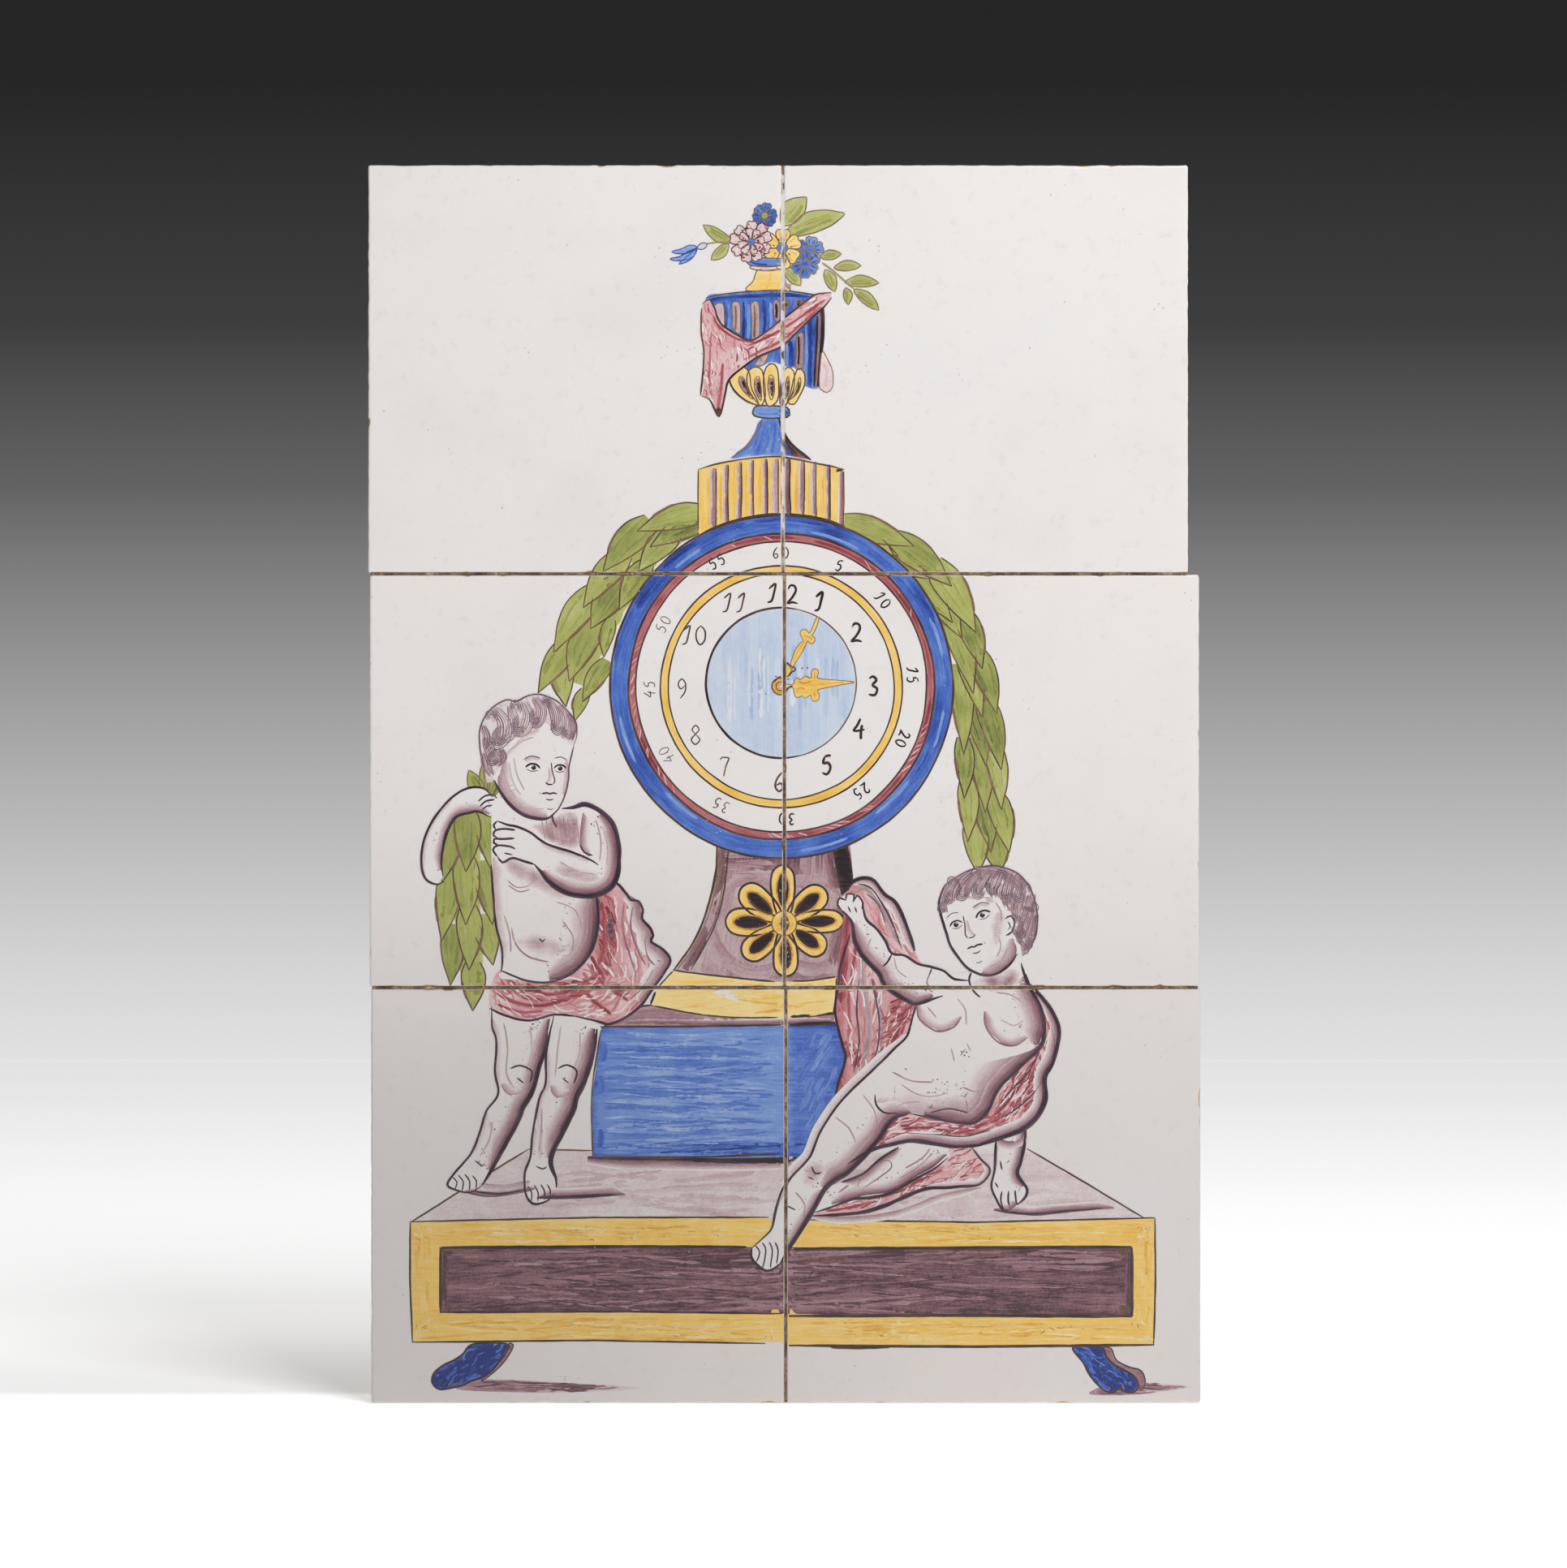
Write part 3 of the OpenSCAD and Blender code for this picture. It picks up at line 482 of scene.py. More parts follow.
def mottle(amount, across, up, seed):
    """Load of a wash that varies by the amount from place to place; across and up say how fast."""
    return lambda x, z: 1 + amount * wander(x * across, z * up, seed)


def line(points, width, level, load):
    """A smooth outline in dark manganese."""
    curve("clock_line", points, width, level, load, 0.35, step=1.1)


def ruled(points, width, level, load, ends=0.5, step=2.5):
    """An outline with straight sides."""
    stroke("clock_line", straight(points, step=step), width, level, load, ends)


def washes(pigment, outline, level, count, length, width, load, grain=0.0, spread=0.25):
    """Separate brush marks over an area, all in about one direction."""
    x0, x1, z0, z1 = extent(outline)
    made = tries = 0
    while made < count and tries < count * 12:
        tries += 1
        x, z = rng.uniform(x0, x1), rng.uniform(z0, z1)
        size = length * rng.uniform(0.5, 1.3)
        angle = math.radians(grain + rng.uniform(-8, 8))
        path = []
        for k in range(6):
            t = k / 5 - 0.5
            path.append((x + math.cos(angle) * size * t,
                         z + math.sin(angle) * size * t + rng.uniform(-0.2, 0.2)))
        if all(inside(p, outline) for p in path):
            mark = width * rng.uniform(0.6, 1.3)
            amount = load * rng.uniform(1 - spread, 1 + spread)
            curve(pigment, path, mark, level, amount, 0.1, wobble=0.2, soft=0.9, step=2.2)
            made += 1


# The clock
DIAL = (-0.9, 225.8)
DISC = (-1.0, 227.0)
# Radii of the dial's rings, from the case inwards, and of the pale disc
CASE_R, RED_R, CHAPTER_R, YELLOW_R, YELLOW_IN, DISC_R = 54.0, 48.2, 45.8, 38.1, 35.6, 23.7


def band(pigment, centre, outer, inner, level, load, patchy=0.0, rows=4):
    """A ring painted with the brush running round it; patchy is how much more load its darker places have."""
    seed = rng.random() * 90
    count = round(2 * math.pi * outer / 1.6)
    points = []
    for i in range(count):
        angle = 2 * math.pi * i / count
        c, s = math.cos(angle), math.sin(angle)
        for k in range(rows + 1):
            r = outer + (inner - outer) * k / rows
            r += 0.22 * wander(c * 2.2, s * 2.2, seed + k * 0.1)
            tone = wander(c * 3.1, s * 3.1, seed) + 0.5 * wander(c * 8, s * 8, seed)
            amount = load * (0.86 if k in (0, rows) else 1.0) + patchy * max(0.0, tone)
            points.append((centre[0] + r * c, centre[1] + r * s, level, amount, angle * outer, r, seed))
    PIGMENTS[pigment].add(points, strip_faces(count, rows, True))


def ring_line(centre, radius, level, width, load):
    """A dark line round a centre, a little out of round."""
    path = []
    seed = rng.random() * 50
    for x, z in arc(centre, radius, 0, 360, 1.6)[:-1]:
        k = 1 + 0.006 * wander(x * 0.06, z * 0.06, seed)
        path.append((centre[0] + (x - centre[0]) * k, centre[1] + (z - centre[1]) * k))
    stroke("clock_line", path, width, level, load, closed=True)


# Plain digits as pen strokes in a box one unit high
DIGITS = {
    "0": [[(0.3, 1), (0.08, 0.74), (0.06, 0.3), (0.26, 0), (0.5, 0.24), (0.52, 0.72), (0.3, 1)]],
    "1": [[(0.1, 0.74), (0.44, 1), (0.36, 0.5), (0.24, 0.1), (0.02, 0.02)]],
    "2": [[(0.08, 0.78), (0.2, 0.98), (0.42, 0.94), (0.48, 0.7), (0.3, 0.36), (0.04, 0.05), (0.3, 0.1),
           (0.58, 0.03)]],
    "3": [[(0.08, 0.9), (0.3, 1), (0.46, 0.8), (0.26, 0.55), (0.5, 0.36), (0.38, 0.03), (0.06, 0.06)]],
    "4": [[(0.38, 1), (0.2, 0.62), (0.02, 0.36), (0.34, 0.36), (0.6, 0.42)],
          [(0.46, 0.66), (0.4, 0.3), (0.4, -0.1)]],
    "5": [[(0.52, 1), (0.2, 0.94)],
          [(0.2, 0.94), (0.12, 0.58), (0.38, 0.6), (0.5, 0.32), (0.32, 0), (0.06, 0.08)]],
    "6": [[(0.42, 1), (0.16, 0.66), (0.06, 0.26), (0.26, 0), (0.46, 0.18), (0.36, 0.42), (0.1, 0.3)]],
    "7": [[(0.04, 0.84), (0.14, 0.98), (0.52, 0.96)], [(0.52, 0.96), (0.34, 0.5), (0.22, -0.02)]],
    "8": [[(0.28, 0.54), (0.1, 0.76), (0.28, 1), (0.46, 0.78), (0.28, 0.54), (0.06, 0.26), (0.26, 0),
           (0.5, 0.24), (0.28, 0.54)]],
    "9": [[(0.46, 0.66), (0.24, 0.48), (0.1, 0.74), (0.28, 1), (0.48, 0.78), (0.46, 0.34), (0.2, -0.02)]],
}
DIGIT_STEP = 0.72


def number(label, at, height, turn=0.0, weight=1.0, load=0.9, spread=DIGIT_STEP):
    """A number of the dial in pen strokes, centred on its place."""
    width = spread * (len(label) - 1) + 0.55
    for i, digit in enumerate(label):
        for path in DIGITS[digit]:
            local = [(x + i * spread - width / 2, z - 0.5) for x, z in path]
            curve("clock_line", moved(local, at, turn, height), 0.115 * height * weight, 9, load, 0.45,
                  wobble=0.04, step=0.5)


HOURS = [("1", (-3.8, 255.2), 1.1), ("2", (2.4, 254.8), 1.1), ("1", (11.0, 252.6), 1.2),
         ("2", (22.6, 242.8), 1.25), ("3", (27.9, 226.0), 1.2), ("4", (23.4, 212.8), 1.3),
         ("5", (13.2, 201.2), 1.3), ("6", (-1.6, 195.8), 0.9), ("7", (-18.8, 200.6), 0.65),
         ("8", (-28.0, 210.6), 0.65), ("9", (-32.4, 225.2), 0.65), ("10", (-28.6, 242.0), 0.75),
         ("11", (-15.8, 252.2), 0.8)]
HOUR_H = 6.0
MINUTES = [("60", (-1.2, 268.0), 0, 0.8), ("5", (17.2, 264.0), -20, 1.0), ("10", (31.0, 253.2), -50, 0.95),
           ("15", (40.4, 229.6), -88, 1.0), ("20", (37.3, 209.4), -112, 1.0),
           ("25", (24.4, 193.0), -142, 1.0), ("30", (0.9, 184.1), 178, 1.0), ("35", (-19.8, 188.4), 153, 0.7),
           ("40", (-37.2, 204.2), 120, 0.5), ("45", (-42.6, 224.9), 88, 0.6),
           ("50", (-38.2, 245.4), 62, 0.55), ("55", (-21.4, 265.2), 28, 0.85)]
MINUTE_H = 3.5


def dial_rings():
    """Rings from the blue case inwards, and the white ground of the dial."""
    band("blue", DIAL, CASE_R, RED_R, 6, 0.70, 0.30, 5)
    band("red", DIAL, RED_R, CHAPTER_R, 6, 0.76, 0.25, 2)
    band("white", DIAL, CHAPTER_R, YELLOW_R, 6, 0.0, 0.0, 3)
    band("yellow", DIAL, YELLOW_R, YELLOW_IN, 6, 0.55, 0.2, 2)
    fill("white", arc(DIAL, YELLOW_IN, 0, 360, 2.5)[:-1], 6, 0.0, mesh=6)


def dial_disc():
    """Pale blue disc with upright brush marks."""
    disc = arc(DISC, DISC_R, 0, 360, 1.6)[:-1]
    fill("pale_blue", disc, 7, 0.42, grain=90, rim=0.85, mesh=2.4, shade=mottle(0.35, 0.35, 0.03, 3.0))
    for _ in range(26):
        x = DISC[0] + rng.uniform(-0.85, 0.85) * DISC_R
        reach = math.sqrt(max(DISC_R ** 2 - (x - DISC[0]) ** 2, 1)) * 0.88
        mid = DISC[1] + rng.uniform(-0.3, 0.3) * reach
        half = reach * rng.uniform(0.2, 0.6)
        curve("pale_blue", [(x, mid - half), (x + rng.uniform(-0.4, 0.4), mid), (x, mid + half)],
              rng.uniform(0.8, 2.4), 7.3, rng.choice([0.2, 0.28, 0.52, 0.6]), 0.05, soft=0.9, step=2)


def dial_lines():
    for radius, width in ((CASE_R, 0.7), (RED_R, 0.7), (CHAPTER_R, 0.55), (YELLOW_R, 0.55), (YELLOW_IN, 0.5)):
        ring_line(DIAL, radius, 8, width, 0.85)
    stroke("clock_line", arc(DISC, DISC_R, 78, 285, 1.6), 0.75, 8, 0.95, 0.5)
    stroke("clock_line", arc(DISC, DISC_R, -80, 82, 1.6), 0.45, 8, 0.7, 0.5)


def dial_red_marks():
    """Darker runs of red, and light scratches across them."""
    for a, reach in ((-68, 34), (-30, 26), (2, 40), (48, 30), (84, 26), (196, 22)):
        stroke("red", arc(DIAL, (RED_R + CHAPTER_R) / 2, a, a + reach, 1.4), (RED_R - CHAPTER_R) * 0.9, 6.3,
               0.98, 0.05, soft=0.6)
    for _ in range(46):
        a = math.radians(rng.choice([rng.uniform(255, 345), rng.uniform(160, 215), rng.uniform(0, 360)]))
        p = (DIAL[0] + (CHAPTER_R + 0.5) * math.cos(a), DIAL[1] + (CHAPTER_R + 0.5) * math.sin(a))
        b = a + rng.uniform(0.03, 0.08)
        q = (DIAL[0] + (RED_R - 0.5) * math.cos(b), DIAL[1] + (RED_R - 0.5) * math.sin(b))
        curve("red", [p, q], rng.uniform(0.2, 0.42), 7, rng.uniform(0.25, 0.5), 0.2, step=0.8)


def dial_blue_marks():
    """Pooled blue along the case."""
    for a, reach, r, wide, load in ((70, 30, 1.2, 1.8, 0.85), (102, 34, 1.3, 2.2, 0.9),
                                    (138, 14, 2.2, 3.0, 0.9), (152, 20, 1.2, 1.6, 0.8),
                                    (178, 24, 4.4, 1.4, 0.75), (205, 26, 2.6, 2.0, 0.78),
                                    (236, 20, 1.4, 1.8, 0.72), (262, 22, 3.6, 2.2, 0.75),
                                    (292, 26, 2.2, 1.6, 0.78), (322, 22, 3.0, 2.2, 0.8),
                                    (352, 26, 1.4, 1.4, 0.72), (22, 14, 2.0, 2.6, 0.88),
                                    (40, 18, 3.4, 2.6, 0.85)):
        stroke("blue", arc(DIAL, CASE_R - r, a, a + reach, 1.4), wide, 6.3, load, 0.05, wobble=0.3, soft=0.95)
    for a, reach, r in ((10, 16, 2.4), (60, 20, 4.4), (120, 12, 3.8), (190, 18, 2.2), (222, 16, 4.6),
                        (276, 18, 2.0), (306, 18, 4.2), (338, 14, 2.4)):
        stroke("blue", arc(DIAL, CASE_R - r, a, a + reach, 1.4), 1.0, 6.4, 0.5, 0.05, soft=0.95)


def dial_numbers():
    for label, at, weight in HOURS:
        number(label, at, HOUR_H, weight=weight, load=0.55 + 0.35 * weight)
    for label, at, turn, weight in MINUTES:
        number(label, at, MINUTE_H, turn, weight * 1.3, 0.70 + 0.30 * weight, 0.85)


def paint_dial():
    dial_rings()
    dial_disc()
    dial_lines()
    dial_red_marks()
    dial_blue_marks()
    dial_numbers()


def hand_shapes():
    """Hub and hands, each a yellow wash in a brown outline."""
    first = [(1.9, 231.4), (2.0, 233.0), (2.7, 235.4), (3.7, 237.8), (4.9, 239.4), (6.0, 240.4), (5.4, 241.4),
             (5.0, 242.6), (5.5, 243.6), (6.6, 243.8), (7.4, 243.2), (8.0, 242.6), (9.0, 244.8),
             (10.0, 247.2), (10.9, 247.8), (10.5, 245.6), (9.4, 243.0), (8.7, 241.8), (9.4, 241.4),
             (9.7, 240.4), (9.0, 239.4), (8.0, 239.5), (7.4, 240.3), (7.0, 239.6), (6.0, 237.4), (4.6, 235.0),
             (3.2, 232.9), (2.6, 231.6)]
    hub = [(0.2, 229.0), (0.2, 231.4), (1.0, 232.8), (2.0, 232.6), (2.6, 231.6), (1.9, 230.4), (1.2, 229.2)]
    second = [(0.6, 226.6), (1.8, 226.4), (2.8, 226.6), (3.2, 227.8), (4.0, 228.6), (5.0, 228.0),
              (6.0, 228.7), (7.0, 229.1), (7.9, 228.5), (8.6, 228.6), (8.5, 230.2), (9.2, 231.3),
              (10.3, 231.3), (10.8, 230.2), (10.4, 228.6), (13, 228.1), (17, 227.8), (22.0, 227.2),
              (17, 226.2), (13, 225.4), (10.6, 224.7), (11.0, 223.2), (10.8, 221.8), (9.6, 221.1),
              (8.6, 221.8), (8.4, 223.2), (7.4, 222.6), (6.3, 222.2), (5.6, 223.0), (4.8, 222.5),
              (3.7, 222.5), (3.1, 223.6), (2.9, 225.2), (1.8, 225.6), (0.6, 225.4)]
    for hand in (hub, first, second):
        shape = patch("yellow", hand, 8.5, 0.62, 0.5, mesh=1.3)
        stroke("clock_line", shape, 0.34, 9, 0.42, closed=True, wobble=0.03)


def hand_shading():
    """Darker yellow along the hands and round the hub."""
    curve("yellow", [(2.6, 233), (4.2, 236.6), (6.4, 240.2)], 0.8, 8.9, 0.78, 0.2, step=0.7)
    for path in ([(3.6, 224.0), (4.8, 225.4), (6.6, 225.0)], [(4.4, 227.6), (6.2, 226.9), (8.6, 227.6)],
                 [(9.6, 228.2), (9.6, 230.4)], [(9.4, 224.2), (9.6, 222.4)],
                 [(11, 226.6), (15, 226.9), (19, 227.1)], [(6.0, 241.8), (7.8, 241.4), (8.8, 240.6)]):
        curve("yellow", path, 0.6, 8.9, 0.86, 0.2, step=0.6)
    for at, r, start, end, w in (((-1.2, 225.9), 2.1, 70, 300, 1.3), ((-1.2, 225.9), 0.7, 60, 330, 0.7)):
        stroke("yellow", arc(at, r, start, end, 0.5), w, 8.7, 0.85, 0.5)


def hand_lines():
    for points, w in ((arc((-1.2, 225.9), 2.7, 75, 285, 0.5), 0.4),
                      (arc((-1.2, 225.9), 1.4, 70, 300, 0.5), 0.4),
                      (smooth([(0.2, 233.2), (1.0, 233.2), (1.9, 232.2), (3.2, 231.8), (3.5, 231.0),
                               (2.4, 230.4), (1.6, 229.4), (0.9, 228.9)], step=0.5), 0.55),
                      (smooth([(2.7, 226.0), (1.7, 225.7), (0.9, 224.8), (0.2, 223.8)], step=0.5), 0.6),
                      (smooth([(-1.0, 229.0), (-2.2, 228.4), (-3.2, 227.2)], step=0.5), 0.45)):
        stroke("clock_line", points, w, 9.2, 0.82, 0.4)
    for x, z in ((-5.8, 223.5), (5.6, 231.6), (7.3, 231.7), (1.2, 228.2), (-2.6, 229)):
        stroke("clock_line", arc((x, z), 0.18, 0, 330, 0.25), 0.3, 9, 0.6, 1)


def paint_hands():
    hand_shapes()
    hand_shading()
    hand_lines()


# Arch of the block's top edge: its height, its middle and how fast it falls
BLOCK_TOP, BLOCK_MID, BLOCK_FALL = 298.3, -2, 0.0076


def paint_block():
    """Yellow block on the case, with brown lines from its arched top down to the case."""
    top = [(-27.0, 294.2), (-22.0, 295.8), (-15.0, 297.2), (-8.0, 298.0), (-2.0, 298.3), (4.0, 297.4),
           (10.0, 296.2), (15.0, 295.2), (18.9, 294.2)]
    right = [(19.1, 285.0), (18.8, 276.0)]
    foot = arc(DIAL, CASE_R - 0.6, 68.5, 118.5, 3)
    shape = smooth(top, step=3) + smooth(right, step=3) + foot + [(-27.0, 274.6), (-27.0, 285.0)]
    fill("yellow", shape, 5, 0.52, grain=90, rim=1.0, mesh=3, shade=mottle(0.25, 0.4, 0.05, 2))
    for x, w, load in ((-22.1, 1.7, 0.7), (-18.0, 1.2, 0.85), (-13.9, 1.2, 0.85), (-10.0, 1.0, 0.75),
                       (-5.8, 1.1, 0.95), (-2.4, 1.6, 0.6), (1.3, 1.8, 0.95), (5.8, 1.6, 0.75),
                       (9.6, 1.3, 0.7), (14.0, 1.2, 0.9)):
        top_z = BLOCK_TOP - (x - BLOCK_MID) ** 2 * BLOCK_FALL - 0.6
        foot_z = DIAL[1] + math.sqrt((CASE_R + 0.2) ** 2 - (x - DIAL[0]) ** 2)
        path = smooth([(x, top_z), (x + rng.uniform(-0.2, 0.2), (top_z + foot_z) / 2),
                       (x + rng.uniform(-0.2, 0.2), foot_z)], step=2)
        stroke("purple", path, w, 5.4, load * 0.85, 0.6, soft=0.85)
        stroke("purple", [(p[0] - w * 0.75, p[1]) for p in path], 0.8, 5.3, 0.3, 0.5, soft=0.9)
        stroke("clock_line", [(p[0] + w * 0.3, p[1]) for p in path], 0.5, 5.6, load, 0.5)
        stroke("yellow", [(p[0] - 1.9, p[1] - 1) for p in path[1:-1]], 0.9, 5.35, 0.66, 0.2, soft=0.9)
    shadow([(18.9, 293.6), (19.0, 285), (18.7, 276.6)], -2.0, 5.3, 1.0, 3, 0.6, 0.8, step=2)
    line([(-27.1, 294.2), (-27.2, 285), (-27.1, 275)], 0.45, 5.8, 0.7)
    line(top, 0.55, 5.8, 0.75)
    stroke("clock_line", [(16.4, 293.8), (18.4, 294.2)], 1.6, 5.9, 0.9, 0.6)
    stroke("clock_line", arc(DIAL, CASE_R + 0.3, 68.5, 118.5, 2), 0.9, 5.7, 0.9, 0.5)


# Plinth, steps and base
def rectangle(x0, z0, x1, z1, step=3.0):
    """Outline of an upright rectangle, with points along its sides."""
    return straight([(x0, z0), (x1, z0), (x1, z1), (x0, z1)], True, step)


def base_top():
    """Pale top in perspective."""
    top = straight([(-81, 80), (-117.5, 57), (-60, 58.2), (0, 57.6), (60, 57.2), (114, 58), (76.5, 80.5),
                    (20, 78.6), (-58, 79.4)], True, 4)
    fill("purple", top, 0, 0.21, rim=0.9, mesh=4.5, shade=mottle(0.5, 0.03, 0.12, 7.0))
    washes("purple", top, 0.4, 60, 26, 1.7, 0.28)
    washes("purple", top, 0.5, 20, 20, 1.6, 0.24)
    ruled([(-81, 79.8), (-100, 68.2), (-117.4, 57.2)], 0.6, 1, 0.75)
    ruled([(76.5, 80.2), (95, 69.4), (113.6, 58.2)], 0.6, 1, 0.75)
    ruled([(-81, 80), (-60, 79.6)], 0.5, 1, 0.6)


def plinth_shadow():
    """Dark shadow under the plinth."""
    shadow([(-62, 77.4), (-40, 77.0), (-15, 76.8), (8, 77.4)], -3.6, 0.7, 1.0, 4, 0.8, 0.5, step=3)
    curve("clock_line", [(-62, 77.6), (-45, 77.2), (-25, 76.9), (-8, 76.8), (8, 77.6)], 1.3, 1.1, 1.0, 0.3,
          step=2)
    curve("clock_line", [(-30, 76.6), (-12, 76.2), (3, 76.4)], 1.5, 1.1, 1.0, 0.1, step=2)


def base_frame():
    """Yellow frame of the front."""
    front = straight([(-117.6, 57.0), (-60, 58.2), (-1, 58.4), (-0.5, 57.6), (60, 57.0), (116.6, 58.2),
                      (116.8, 38), (116.2, 18.4), (60, 18.0), (2, 17.8), (-1, 19.2), (-60, 20), (-117, 19.4),
                      (-117.8, 40)], True, 5)
    fill("yellow", front, 1, 0.54, rim=0.95, mesh=5, shade=mottle(0.12, 0.02, 0.5, 2.0))
    for z0, z1 in ((50.4, 56.6), (19.6, 27.2)):
        washes("yellow", rectangle(-116, z0, -3, z1, 8), 1.2, 30, 46, 1.2, 0.57)
        washes("yellow", rectangle(3, z0, 115, z1, 8), 1.2, 30, 46, 1.2, 0.57)
        washes("yellow", rectangle(-116, z0, 115, z1, 8), 1.3, 16, 30, 0.8, 0.46)
    washes("yellow", rectangle(-117, 20, -109, 56, 6), 1.2, 12, 14, 1.2, 0.62, 90)
    washes("yellow", rectangle(110.5, 20, 116.2, 56, 6), 1.2, 12, 14, 1.2, 0.62, 90)


def base_panel():
    """Dark panel inside the frame."""
    panel = straight([(-108.2, 49.0), (-50, 49.2), (-1, 49.2), (50, 48.8), (109.4, 49.0), (109.4, 27.4),
                      (50, 27.6), (-50, 28.8), (-108.4, 28.6)], True, 5)
    fill("purple", panel, 2, 0.86, rim=1.05, mesh=4, shade=mottle(0.28, 0.02, 0.45, 4.0))
    washes("purple", panel, 2.3, 110, 44, 1.2, 0.93, spread=0.08)
    washes("purple", panel, 2.4, 60, 34, 1.0, 0.68, spread=0.08)
    washes("purple", panel, 2.5, 40, 30, 0.6, 1.0, spread=0.1)
    ruled([(-108.2, 49.0), (-50, 49.3), (-12, 49.2)], 1.1, 3, 0.95, 0.6, 3)
    ruled([(3, 48.6), (50, 48.8), (109.4, 49.2)], 1.2, 3, 0.95, 0.6, 3)
    for path, w in (([(-108.4, 49.2), (-108.4, 28.4)], 0.8), ([(109.4, 49.2), (109.5, 27.4)], 1.3),
                    ([(-108.6, 28.6), (-50, 28.9), (-1, 28.2)], 0.7),
                    ([(1.4, 27.5), (50, 27.7), (109.6, 27.4)], 1.1)):
        ruled(path, w, 3, 0.9, 0.6, 3)
    for x, reach in ((108.6, -3.4), (-107.4, 3.0)):
        for lift in (47.4, 30.0):
            curve("clock_line", [(x, lift), (x + reach, lift)], 1.6, 2.7, 0.7, 0.2, soft=0.9)
        stroke("purple", straight([(x, 48), (x, 29.4)], step=2), 2.4, 2.6, 1.0, 0.5, soft=0.9)


def base_outline():
    ruled([(-117.6, 57.2), (-60, 58.5), (-5, 58.6)], 0.6, 3, 0.85)
    ruled([(8, 57.8), (60, 57.0), (116.6, 58.4)], 0.6, 3, 0.85)
    for path, w in (([(-117.9, 57.4), (-118, 40), (-117.2, 19.2)], 0.6),
                    ([(116.8, 58.4), (117, 38), (116.4, 18.2)], 0.6),
                    ([(-117.4, 19.2), (-60, 19.8), (-6, 18.8)], 0.6),
                    ([(1.4, 18.2), (60, 17.8), (116.6, 18.4)], 0.9)):
        ruled(path, w, 3, 0.85, 0.5, 3)
    curve("clock_line", [(14, 17.9), (22, 17.6), (34, 17.9)], 1.2, 3.1, 0.95, 0.2, step=2)


def base_breaks():
    """Fine breaks in the paint, most of them at the mitred corners."""
    for x, z, turn, count in ((-113.6, 53.4, 135, 9), (-113.2, 23.6, 45, 8), (112.6, 53.6, 45, 9),
                              (112.8, 22.8, 135, 8), (-3.6, 21.4, 60, 5), (-60, 53.6, 20, 4), (84, 23, 10, 4),
                              (20, 54, 160, 4)):
        for _ in range(count):
            at = (x + rng.uniform(-3.4, 3.4), z + rng.uniform(-2.6, 2.6))
            path = moved([(-1.2, 0), (0, rng.uniform(-0.4, 0.4)), (1.2, rng.uniform(-0.3, 0.3))], at,
                         turn + rng.uniform(-40, 40), rng.uniform(0.5, 1.1))
            curve("yellow", path, rng.uniform(0.22, 0.42), 3.2, rng.choice([0.13, 0.2, 1.0]), 0.2, step=0.7)


def paint_base():
    base_top()
    plinth_shadow()
    base_frame()
    base_panel()
    base_outline()
    base_breaks()


def foot_shadows():
    """Shadows that fall to the right of the feet."""
    for a, b, c, d in (((-103, 4.4), (-98, 7.4), (-46, 4.8), (-62, 3.6)),
                       ((96, 3.0), (104, 6.4), (128, 5.2), (116, 3.2))):
        shape = smooth([a, b, ((b[0] + c[0]) / 2, (b[1] + c[1]) / 2 + 0.5), c, d,
                        ((a[0] + d[0]) / 2, (a[1] + d[1]) / 2 - 0.6)], True, 1.6)
        reach = abs(c[0] - a[0])

        def fade(x, z):
            return 1.25 - 0.9 * abs(x - a[0]) / reach + 0.4 * wander(x * 0.06, z * 0.7, 2)

        fill("purple", shape, 0.4, 0.62, rim=0.7, mesh=2.2, shade=fade)
        washes("purple", shape, 0.7, 26, 12, 0.7, 0.8)


def foot(front, side, heading):
    """A blue foot with its purple side; heading is the direction of its brush marks."""
    side_shape = patch("purple", side, 1, 0.78, mesh=1.6)
    stroke("clock_line", side_shape, 0.45, 1.4, 0.8, closed=True)
    shape = patch("blue", front, 1.5, 1.0, grain=40, mesh=1.8,
                  shade=lambda x, z: 1.12 + 0.3 * wander(x * 0.3, z * 0.3, 5))
    scribbles("blue", shape, 1.7, 40, 4.5, 1.0, 1.0, heading)
    scribbles("blue", shape, 1.8, 9, 3.5, 0.5, 0.68, heading)
    stroke("clock_line", shape, 0.6, 2, 0.9, closed=True)


